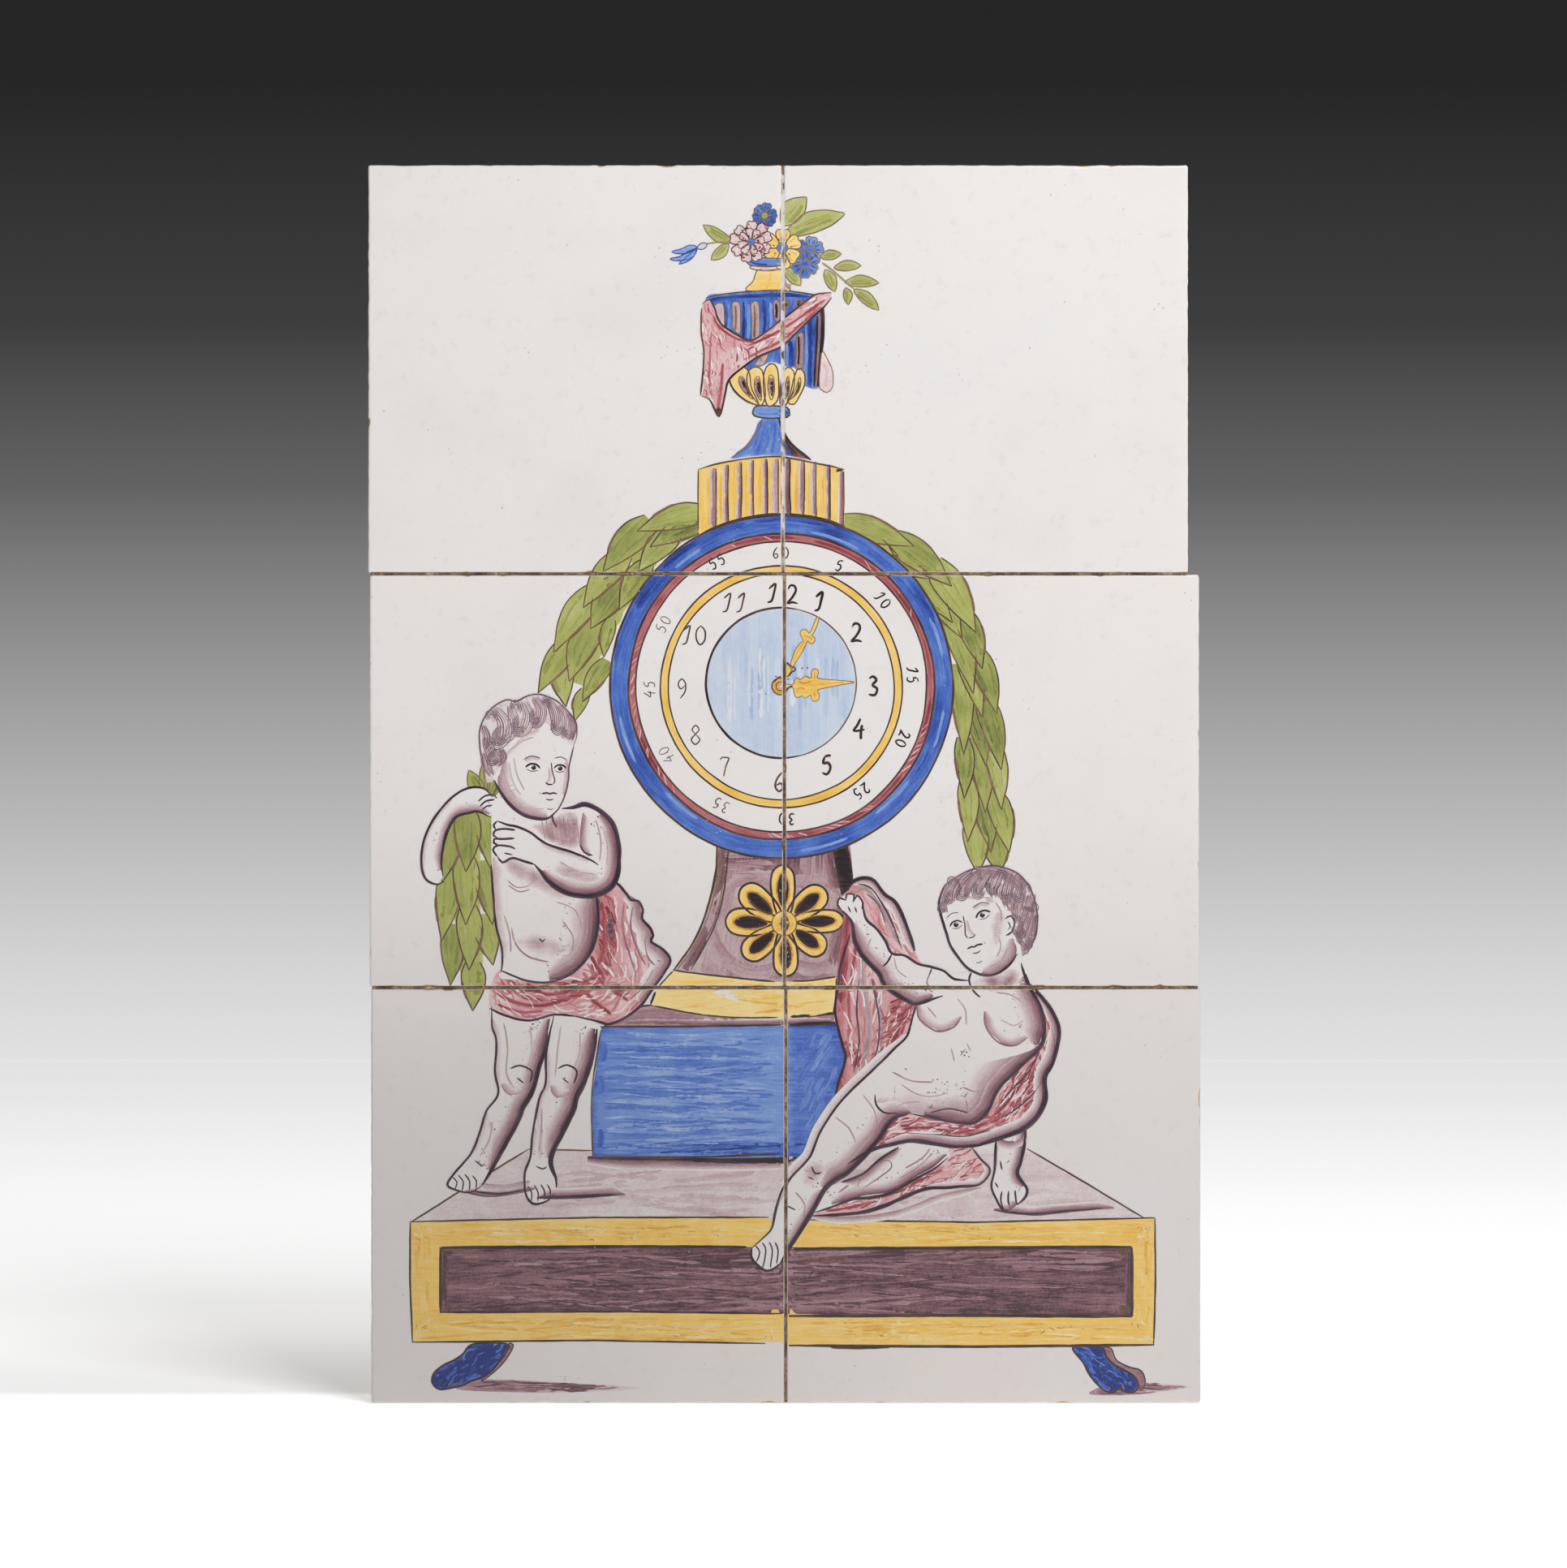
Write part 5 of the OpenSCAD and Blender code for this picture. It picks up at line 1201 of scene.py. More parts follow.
def urn_bowl():
    """Fluted bowl, deep blue with grey slots."""
    patch("blue", [(-24.6, 348.4), (-18, 349.6), (-9, 350.4), (-1, 350.6), (6, 349.8), (10.4, 349.0),
                   (12.4, 345.4), (12.2, 336), (11.4, 326), (10.8, 320), (8.0, 320.0), (6.4, 320.6),
                   (6.0, 325.8), (1, 326.6), (-4, 328.2), (-7.6, 326.6), (-12.9, 325.8), (-19, 333),
                   (-24.2, 338.6)], 7.0, 0.74, 1.2, grain=80, mesh=2.2, shade=mottle(0.35, 0.4, 0.12, 8))
    flutes = ((7.2, 0.98, ((-23.6, 346.5, 341, 1.5), (-19.0, 347.4, 336, 1.6), (-13.0, 347.6, 334.4, 1.8),
                           (-6.4, 348, 334, 2.2), (8.0, 343, 320.6, 2.4), (2.0, 335, 326.6, 2.0))),
              (7.3, 0.52, ((-17.6, 346.6, 337, 1.2), (-11.4, 346.8, 335, 1.4), (-4.4, 347, 338, 1.0),
                           (6.8, 342, 321, 1.0), (0.8, 334, 327, 0.9))))
    for level, load, marks in flutes:
        for x, z0, z1, w in marks:
            curve("blue", [(x, z0), (x + 0.2, (z0 + z1) / 2), (x, z1)], w, level, load, 0.3, soft=0.9)
    slots = (
        ([(-22.0, 345.8), (-19.4, 346.4), (-18.8, 342), (-19.0, 339.4), (-20.4, 341.2)], 0.34, 0.0),
        ([(-16.4, 346.6), (-14.2, 346.6), (-13.8, 342), (-14.0, 337.2), (-16.0, 338.6), (-16.2, 342)],
         0.45, 0.5),
        ([(-10.4, 346.4), (-8.2, 346.8), (-7.8, 341), (-8.0, 335.8), (-10.0, 334.8), (-10.2, 341)],
         0.48, 0.6),
        ([(-3.4, 347.2), (-1.6, 347.2), (-1.4, 343), (-1.8, 341.0), (-3.0, 341.6)], 0.55, 0.95),
        ([(0.2, 347.4), (1.2, 347.4), (1.2, 345), (0.4, 344.6)], 0.9, 0.95),
        ([(3.8, 347.4), (5.4, 347.6), (5.6, 345.6), (4.6, 344.6), (3.8, 345.2)], 0.9, 1.0),
        ([(3.8, 336), (5.9, 337), (6.0, 330), (5.6, 326.2), (3.6, 326.2), (3.8, 331)], 0.62, 0.95),
        ([(-9.2, 327.2), (-7.4, 329.6), (-5.2, 330.4), (-6.6, 327.2)], 0.45, 0.4))
    for outline, load, dark in slots:
        cell = patch("purple", outline, 7.6, load, 0.8, grain=90, mesh=1.2)
        if dark:
            mid_x = sum(p[0] for p in outline) / len(outline) - 0.35
            low, high = min(p[1] for p in outline), max(p[1] for p in outline)
            curve("clock_line", [(mid_x, high - 0.6), (mid_x + 0.2, (low + high) / 2), (mid_x, low + 0.8)],
                  0.8, 7.9, dark, 0.2, step=0.9)
        stroke("clock_line", cell, 0.34, 8.0, 0.55, closed=True)
    curve("clock_line", [(12.0, 345.4), (12.0, 338), (11.2, 328), (10.6, 320.4)], 1.5, 8.1, 1.0, 0.8)
    curve("clock_line", [(10.4, 342.6), (10.2, 334), (9.7, 326), (9.4, 320.4)], 0.8, 8.1, 0.95, 0.6)
    curve("purple", [(11.2, 344), (11.2, 336), (10.6, 328), (10.1, 320.6)], 0.9, 8.05, 0.8, 0.6)
    line([(-24.6, 348.4), (-18, 349.7), (-9, 350.5), (-1, 350.7), (6, 349.9), (10.4, 349.2)], 0.45, 8.5, 0.7)
    curve("blue", [(-24, 347.4), (-16, 348.6), (-6, 349), (2, 349.2), (8, 348.6)], 1.2, 7.4, 1.0, 0.3,
          soft=0.9, step=1.2)


def urn_neck():
    """Yellow neck and blue rim."""
    neck = patch("yellow", [(-12.0, 350.8), (-9.8, 353.6), (-8.4, 357.0), (-4, 357.2), (-0.4, 356.8),
                            (0.2, 353), (1.6, 350.6), (-5, 350.4)], 8.2, 0.50, mesh=2)
    curve("yellow", [(-4.4, 356.4), (-4.8, 353.4), (-6, 351)], 1.4, 8.4, 0.62, 0.3, soft=0.9, step=0.8)
    curve("purple", [(-0.4, 356), (0.2, 353.4), (1.2, 351)], 1.0, 8.5, 0.55, 0.4, step=0.8)
    stroke("clock_line", neck, 0.36, 8.8, 0.5, closed=True)
    ring = patch("red",
                 [(-10.8, 358.2), (-9.0, 357.2), (-5, 356.8), (-1.4, 357.4), (-0.4, 358.4), (-5, 358.4)], 8.7,
                 0.2, 0.8, mesh=1.3)
    stroke("clock_line", ring, 0.34, 9, 0.6, closed=True)
    rim = patch("blue", [(-11.9, 360.6), (-11, 358.8), (-7, 358.2), (-3, 358.2), (-0.2, 359.0), (0.4, 360.6),
                         (-4, 360.8), (-9, 361.0)], 8.9, 0.62, 0.8, mesh=1.4)
    curve("blue", [(-11.4, 360.4), (-9.6, 359.2), (-5, 358.8)], 0.7, 9.1, 0.95, 0.3, step=0.8)
    stroke("clock_line", rim, 0.36, 9.2, 0.6, closed=True)


def paint_urn():
    urn_foot()
    urn_knob()
    urn_cup()
    urn_bowl()
    urn_neck()


def draped_cloth():
    """Pink cloth laid over the bowl."""
    shape = patch("red", [(14.6, 349.8), (10, 349.2), (6, 346.4), (-0.9, 341.2), (-6, 337.2), (-10.5, 334.7),
                          (-14.6, 336.3), (-20.4, 340.4), (-21.6, 344.4), (-23.6, 347.6), (-25.6, 346.4),
                          (-26.0, 338), (-25.2, 332), (-25.4, 325.1), (-26.2, 317.6), (-23.6, 316.4),
                          (-22, 313.4), (-20.6, 311.0), (-19.6, 314.4), (-18.9, 317.8), (-17.6, 322.4),
                          (-12.9, 326.6), (-7.8, 330.2), (-0.9, 333.2), (4, 337.8), (8.4, 342.0),
                          (12.4, 345.6), (14.8, 348.4)], 9.4, 0.30, 1.2, grain=40, rim=1.1, mesh=2,
                  shade=mottle(0.5, 0.16, 0.16, 8))
    tail = patch("red", [(11.8, 331.0), (13.6, 329.0), (15.2, 325.0), (15.2, 320.4), (13.4, 318.6),
                         (11.8, 319.4), (11.0, 321)], 9.4, 0.2, grain=80, mesh=1.6)
    curve("red", [(12.4, 328), (13.4, 324), (13.0, 320)], 0.8, 9.6, 0.34, 0.2)
    stroke("clock_line", tail, 0.34, 10, 0.5, closed=True)

    def along(x, z):
        return 38 if x > -12 and z > 332 else (96 if z < 330 else 110)

    scribbles("red", shape, 9.6, 110, 4.2, 0.6, 0.55, along)
    scribbles("red", shape, 9.7, 60, 3.2, 0.5, 0.9, along)
    scribbles("white", shape, 9.8, 46, 3.4, 0.36, 0.0, along)
    for path, w, load in (([(13.0, 348.0), (8, 344.4), (1, 339.4), (-6, 335.6), (-12, 333.0)], 0.9, 0.95),
                          ([(11.6, 345.6), (6, 340.8), (0, 335.4), (-7, 331.8), (-13, 328.6)], 0.9, 0.9),
                          ([(-9, 334.4), (-14.8, 335.4), (-20.4, 339), (-22.6, 343)], 0.9, 0.85),
                          ([(-19.4, 328), (-19.8, 322), (-20.6, 316), (-21, 312.6)], 1.3, 0.9),
                          ([(-23.0, 338), (-23.4, 330), (-23.6, 322), (-22.6, 316)], 0.8, 0.75)):
        curve("red", path, w, 9.75, load, 0.1, step=1.2)


def draped_cloth_lines():
    patch("clock_line", [(-21.6, 313), (-20.8, 311.6), (-19.8, 313), (-20.8, 314)], 9.9, 0.8, 0.7, mesh=0.8)
    line([(14.8, 349.9), (10, 349.4), (6, 346.6), (-0.9, 341.4), (-6, 337.4), (-10.5, 334.9), (-14.6, 336.5),
          (-20.2, 340.4), (-21.8, 344.6), (-23.6, 347.8), (-25.8, 346.4)], 0.6, 10, 0.85)
    line([(-26.1, 345), (-26.2, 338), (-25.4, 332), (-25.6, 325.1), (-26.4, 317.6)], 0.55, 10, 0.8)
    line([(-26, 317.4), (-23.6, 316.4), (-22, 313.4), (-20.6, 311.0), (-19.4, 314.4), (-18.7, 317.8),
          (-17.5, 322.4), (-12.9, 326.5), (-7.8, 330.0), (-0.9, 333.0), (4, 337.6), (8.4, 341.8),
          (12.4, 345.4), (14.9, 348.4)], 0.7, 10, 0.9)


def paint_urn_cloth():
    draped_cloth()
    draped_cloth_lines()


def bloom(at, radius, pigment, load, petals, level, core, turn=0.0, inner=0.0, edge=0.7):
    """An open flower: one or two rings of scalloped petals with curved strokes, round a small centre."""
    rings = [(radius, petals, 0.0)] + ([(inner, petals - 1, 0.5)] if inner else [])
    for ring_r, count, lift in rings:
        for k in range(count):
            angle = turn + 360 / count * k + rng.uniform(-6, 6)
            r = ring_r * rng.uniform(0.93, 1.05)
            w = 2 * math.pi * ring_r / count * 0.62
            petal = [(r * 0.15, 0), (r * 0.5, w * 0.44), (r * 0.82, w * 0.56), (r * 0.98, w * 0.34),
                     (r * 0.95, 0.02 * w), (r, -w * 0.30), (r * 0.84, -w * 0.56), (r * 0.5, -w * 0.42)]
            amount = load * rng.uniform(0.85, 1.15)
            shape = patch(pigment, moved(petal, at, angle), level + lift + 0.05 * (k % 3), amount, 0.7,
                          grain=angle, rim=0.9, mesh=1.3)
            stroke("clock_line", shape, 0.32, level + lift + 0.3, edge, closed=True, wobble=0.05)
            for q in (-0.25, 0.2):
                vein = moved([(r * 0.35, q * w * 0.6), (r * 0.62, q * w), (r * 0.86, q * w * 1.4)], at, angle)
                curve(pigment, vein, 0.5, level + lift + 0.25, min(load * 1.7, 1.0), 0.2, step=0.8)
    if inner:
        for k in range(26):
            angle, r = rng.uniform(0, 360), rng.uniform(inner * 0.45, radius * 0.92)
            mark = smooth(moved([(r, -0.5), (r + 0.35, 0), (r, 0.6)], at, angle), step=0.4)
            stroke("red" if k % 2 else "clock_line", mark, rng.uniform(0.3, 0.6), level + 0.9,
                   rng.uniform(0.6, 0.95), 0.3)
    size = (inner or radius) * 0.26
    for k in range(7):
        mark = moved([(size * 1.5, 0), (size * 2.0, 0.1)], at, 51.4 * k + 8)
        stroke("clock_line", mark, 0.8, level + 0.95, 0.85 if inner else 0.5, 0.5)
    patch(core, moved([(1, 0), (0.4, 0.9), (-0.7, 0.8), (-1, -0.1), (-0.4, -0.9), (0.7, -0.8)], at, 20, size),
          level + 1.05, 0.72, 0.5, mesh=0.8)
    stroke("clock_line", arc(at, size * 1.05, 20, 380, 0.4)[:-1], 0.26, level + 1.2, 0.6, closed=True)


def bouquet_leaves():
    """Twigs and small leaves."""
    greens = [((-16.4, 365.8), (-25.6, 371.3), 3.6), ((-17.6, 365.4), (-23.0, 360.3), 3.4),
              ((-0.7, 371.3), (6.9, 380.0), 7.0), ((0.4, 368.4), (19.0, 374.8), 6.6),
              ((11.2, 361.1), (18.0, 362.2), 3.0), ((15.7, 357.8), (24.2, 358.5), 3.2),
              ((12.8, 357.2), (16.0, 350.3), 3.6), ((19.2, 353.3), (29.8, 353.0), 3.6),
              ((19.4, 351.6), (20.2, 346.2), 2.8), ((21.9, 351.0), (29.8, 344.5), 3.6),
              ((0.2, 357.8), (5.2, 352.2), 4.2)]
    for path, w in (([(11.9, 359.4), (15.1, 357.1), (18.7, 353.9), (21.9, 351.2)], 0.8),
                    ([(-26, 365), (-21, 365.9), (-16.2, 366.0)], 0.6)):
        curve("green", path, w, 6, 0.5, 0.4)
        line(path, w * 0.4, 6.6, 0.45)
    for i, (base, tip, w) in enumerate(greens):
        leaf(base, tip, w, 6 + 0.2 * (i % 4), rng.uniform(0.42, 0.52), 0.05)


def bouquet_bell():
    """A closed blue bell at the left end of the spray."""
    for points in (
            [(-27.6, 364.4), (-29.8, 364.9), (-32.4, 363.8), (-35.4, 362.9), (-33.2, 362.2), (-30, 362.6)],
            [(-27.6, 363.8), (-30, 363.0), (-32.8, 361.4), (-35.9, 360.6), (-33.4, 360.0), (-30, 360.6),
             (-28.2, 362)],
            [(-27.8, 363.6), (-28.6, 361.4), (-30.6, 359.8), (-33.2, 359.0), (-31, 361)]):
        petal = patch("blue", points, 6.6, 0.46, 0.7, mesh=1.1)
        stroke("blue", petal, 0.36, 6.9, 0.95, closed=True)
    calyx = patch("pale_blue", [(-27.4, 364), (-26.4, 365.4), (-24.8, 365.6), (-24.4, 364.6), (-25.8, 363.6)],
                  7, 0.4, 0.6, mesh=1)
    stroke("figure_line", calyx, 0.34, 7.2, 0.6, closed=True)


def bouquet_blooms():
    bloom((8.0, 363.6), 4.2, "blue", 0.58, 5, 7.0, "blue", 10, edge=0.5)
    bloom((6.6, 358.9), 4.6, "blue", 0.62, 6, 7.2, "blue", 30, edge=0.5)
    bloom((-6.2, 374.2), 4.1, "blue", 0.80, 6, 7.2, "green", 15, edge=0.7)
    bloom((-0.6, 364.0), 6.3, "yellow", 0.46, 6, 8.4, "blue", 28, edge=0.62)
    bloom((-10.4, 366.0), 6.7, "red", 0.20, 9, 9.6, "blue", 12, 4.3, edge=0.8)


def paint_bouquet():
    bouquet_leaves()
    bouquet_bell()
    bouquet_blooms()


# The two putti: plain bodies in outline with stippled shadows
def body(shape, level):
    """White ground of a body or limb, which covers what lies behind it."""
    patch("white", shape, level, 0.0, 1.3, mesh=3.6)


def contour(points, width, level, load=0.95):
    """A smooth contour of a figure."""
    curve("figure_line", points, width, level, load)


def dots(pigment, spots, size, level, load):
    """Small touches of the brush's tip."""
    for x, z in spots:
        turn = rng.uniform(0, math.pi)
        r = size * rng.uniform(0.6, 1.3) / 2
        points = []
        for k in range(5):
            angle = turn + k * 2 * math.pi / 5
            points.append((x + math.cos(angle) * r, z + math.sin(angle) * r, level, load, x, z, turn))
        PIGMENTS[pigment].add(points, [(0, 1, 2, 3, 4)])


def stipple(points, width, level, dense=1.0, load=0.7, size=0.42, power=1.5):
    """A shadow that is dark along the path and breaks up into dots to its left (negative: right)."""
    path = smooth(points, step=0.9)
    normals = sides(path)
    shade("purple", path, width, level, min(load * 1.15, 1.0), 5, power, 0.35)
    spots = []
    for p, nrm in zip(path, normals):
        for _ in range(max(1, round(dense * abs(width) * 0.5))):
            d = width * rng.random() ** 1.3
            spots.append((p[0] + nrm[0] * d + rng.uniform(-0.5, 0.5),
                          p[1] + nrm[1] * d + rng.uniform(-0.5, 0.5)))
    dots("purple", spots, size, level + 0.3, min(load * 1.1, 0.95))


def soft(outline, level, load):
    """A wash that fades out towards its own edge."""
    edge = smooth(outline, True, 1.4)
    middle = (sum(p[0] for p in edge) / len(edge), sum(p[1] for p in edge) / len(edge))
    reach = max(1.0, min(math.dist(p, middle) for p in edge))

    def fade(x, z):
        share = min(1.0, min(math.dist(p, (x, z)) for p in edge) / reach)
        return share * (0.8 + 0.5 * wander(x * 0.3, z * 0.3, 2.0))

    fill("purple", edge, level, load * 1.35, 0.0, 0.0, 1.5, shade=fade)


def swelling(points, width, level, load=1.0):
    """A contour that swells in its middle, as a loaded brush makes it."""
    def spread(t):
        return width * (0.32 + 0.42 * math.sin(math.pi * t) ** 0.6)

    curve("figure_line", points, spread, level, load * 0.94, 0.4)


def form_lines(runs, level, load=0.45, width=0.45):
    """Fine lines that follow a form, in thin manganese."""
    for points in runs:
        curve("purple", points, width * rng.uniform(0.8, 1.25), level, load * rng.uniform(0.8, 1.2), 0.15,
              step=1.1)


def folds(runs, level):
    """Deep folds in red cloth. Each is a path, a width and a load."""
    for points, width, load in runs:
        curve("red", points, width, level, load, 0.1, wobble=0.25, step=1.3)


def face(at, height, turn, flip, level):
    """A calm child's face in three-quarter view, set out by the usual halves and thirds."""
    def at_head(points):
        return moved(points, at, turn, height, flip)

    def pen(points, width, load=0.85, ends=0.2):
        curve("figure_line", at_head(points), width, level, load, ends, wobble=0.04, step=0.7)

    # Brows, lids and eyes
    pen([(-0.165, 0.045), (-0.10, 0.078), (-0.02, 0.062)], 0.40, 0.6)
    pen([(0.10, 0.064), (0.16, 0.078), (0.215, 0.052)], 0.36, 0.6)
    pen([(-0.150, -0.022), (-0.105, 0.010), (-0.050, 0.004), (-0.018, -0.030)], 0.62, 0.95)
    pen([(0.098, -0.026), (0.130, 0.006), (0.180, 0.006), (0.210, -0.022)], 0.56, 0.95)
    pen([(-0.140, -0.036), (-0.090, -0.056), (-0.035, -0.044)], 0.30, 0.55)
    pen([(0.106, -0.040), (0.150, -0.056), (0.198, -0.040)], 0.28, 0.55)
    for x in (-0.076, 0.156):
        spot = at_head([(x, -0.022)])[0]
        fill("figure_line", arc(spot, 0.0215 * height, 0, 345, 0.4), level + 0.2, 0.95, rim=0.9, mesh=0.7)
        glint = at_head([(x - 0.008, -0.012)])[0]
        fill("white", arc(glint, 0.007 * height, 0, 330, 0.3), level + 0.5, 0, mesh=0.6)
    # Nose, mouth, chin
    pen([(0.075, 0.03), (0.088, -0.05), (0.112, -0.130), (0.098, -0.160)], 0.42, 0.7)
    pen([(0.030, -0.148), (0.058, -0.166), (0.098, -0.162)], 0.46, 0.85)
    pen([(0.000, -0.248), (0.050, -0.240), (0.075, -0.247), (0.100, -0.238), (0.140, -0.244)], 0.58, 0.95)
    pen([(0.036, -0.292), (0.075, -0.302), (0.110, -0.290)], 0.42, 0.7)
    pen([(-0.012, -0.236), (-0.020, -0.256)], 0.34, 0.6, 0.6)
    pen([(0.052, -0.375), (0.082, -0.384), (0.110, -0.372)], 0.34, 0.55)
    shadow(at_head([(0.050, -0.02), (0.056, -0.10), (0.036, -0.15)]), 0.05 * height * (-1 if flip else 1),
           level - 0.6, 0.4, 3, 1.2, 0.3, step=0.7)
    shadow(at_head([(-0.16, 0.04), (-0.09, 0.07), (-0.02, 0.055)]), 0.04 * height * (1 if flip else -1),
           level - 0.6, 0.35, 3, 1.2, 0.3, step=0.7)


STRANDS = 6


def curls(outline, level, locks, load):
    """Hair: a pale wash, then locks of nested strands. Each lock is a path and its strands' whole width."""
    patch("purple", outline, level, load * 0.62, 1.2, rim=1.2, mesh=2.4, shade=mottle(1.1, 0.22, 0.22, 4))
    for points, width in locks:
        path = smooth(points, step=0.8)
        normals = sides(path)
        side = [(p[0] + nrm[0] * width * 0.5, p[1] + nrm[1] * width * 0.5) for p, nrm in zip(path, normals)]
        shade("purple", side, -width * 0.55, level + 0.3, min(load * 1.3, 0.8), 3, 1.1, 0.4)
        for k in range(STRANDS):
            share = k / (STRANDS - 1) - 0.5
            run = []
            for i, (p, nrm) in enumerate(zip(path, normals)):
                t = i / max(len(path) - 1, 1)
                d = share * width * (0.35 + 0.65 * math.sin(math.pi * min(max(t, 0.0), 1.0)))
                run.append((p[0] + nrm[0] * d, p[1] + nrm[1] * d))
            start, stop = rng.randrange(0, 2), len(run) - rng.randrange(0, 2)
            if stop - start <= 2:
                continue
            if k % 2:
                stroke("figure_line", run[start:stop], 0.32, level + 0.7, rng.uniform(0.36, 0.62), 0.2,
                       wobble=0.04)
            else:
                stroke("purple", run[start:stop], 0.5, level + 0.6, rng.uniform(0.48, 0.8), 0.2, wobble=0.04)


def ringlets(places, level, load=0.6):
    """Curls seen end on: nested loops, open on one side. Each is a place, a radius and the way it opens."""
    for at, radius, turn in places:
        patch("purple", moved([(1, 0), (0.5, 1.2), (-0.6, 1.2), (-1, 0), (-0.5, -1.2), (0.6, -1.2)], at, turn,
                              radius * 0.9), level, load * 0.55, 0.8, rim=0.0, mesh=1.4)
        for k in range(max(2, round(radius * 1.6))):
            r = radius - 0.55 * k
            loop = [(r * math.cos(math.radians(a)) * 0.8, r * math.sin(math.radians(a)) * 1.15)
                    for a in range(-70, 200, 15)]
            curve("figure_line", moved(loop, at, turn), 0.34, level + 0.5, load * rng.uniform(0.8, 1.15), 0.3,
                  wobble=0.04, step=0.6)


def scribbles(pigment, outline, level, count, length, width, load, heading):
    """Short curved touches inside an outline. heading: degrees, or a function of x and z."""
    x0, x1, z0, z1 = extent(outline)
    made = tries = 0
    while made < count and tries < count * 14:
        tries += 1
        x, z = rng.uniform(x0, x1), rng.uniform(z0, z1)
        turn = math.radians((heading(x, z) if callable(heading) else heading) + rng.uniform(-22, 22))
        size = length * rng.uniform(0.4, 1.2)
        bend = rng.uniform(-0.18, 0.18) * size
        path = [(x - math.cos(turn) * size / 2, z - math.sin(turn) * size / 2),
                (x - math.sin(turn) * bend, z + math.cos(turn) * bend),
                (x + math.cos(turn) * size / 2, z + math.sin(turn) * size / 2)]
        if all(inside(p, outline) for p in path):
            curve(pigment, path, width * rng.uniform(0.6, 1.5), level, load * rng.uniform(0.7, 1.15), 0.15,
                  wobble=0.2, step=0.9)
            made += 1


LEFT_CLOTH = [(-66, 162.4), (-59, 160.8), (-53.6, 164.0), (-50, 160.8), (-48.4, 158.6), (-46, 158.2),
              (-44.6, 155.4), (-44.8, 152.6), (-42.2, 149.6), (-41.4, 147.2), (-42, 145.4), (-38.2, 142.9),
              (-36, 139.5), (-38, 135.5), (-41.6, 130.4), (-45.2, 125.4), (-50, 121.6), (-55, 119.5),
              (-59, 120.4), (-66, 122.0), (-72.8, 122.4), (-80, 120.6), (-87, 121.8), (-92.4, 124.6),
              (-92.4, 131), (-89.4, 136.4), (-82, 133.4), (-75, 132.6), (-68.4, 134.6), (-63.4, 138.6),
              (-60.2, 144.4), (-59.0, 152), (-60.4, 158.4)]


def left_ground_shadows():
    """Shadows that the left figure's feet throw."""
    shadow([(-101, 66.4), (-94, 65.0), (-86, 65.6), (-78, 67.4)], 2.4, 9, 0.95, 4, 0.8, 0.2, step=1.5)
    shadow([(-96, 69.4), (-88, 68.8), (-80, 70.4)], -3.6, 8.9, 0.5, 4, 1.0, 0.2, step=1.5)
    shadow([(-78, 64.4), (-70, 64.4), (-61, 64.8), (-50, 65.6)], 3.4, 9, 0.95, 4, 0.8, 0.1, step=1.5)
    swelling([(-78, 64.8), (-68, 65.0), (-53, 65.8)], 1.6, 9.4, 0.95)
    swelling([(-98, 66.8), (-90, 66.0), (-82, 67.2)], 1.1, 9.4, 0.9)


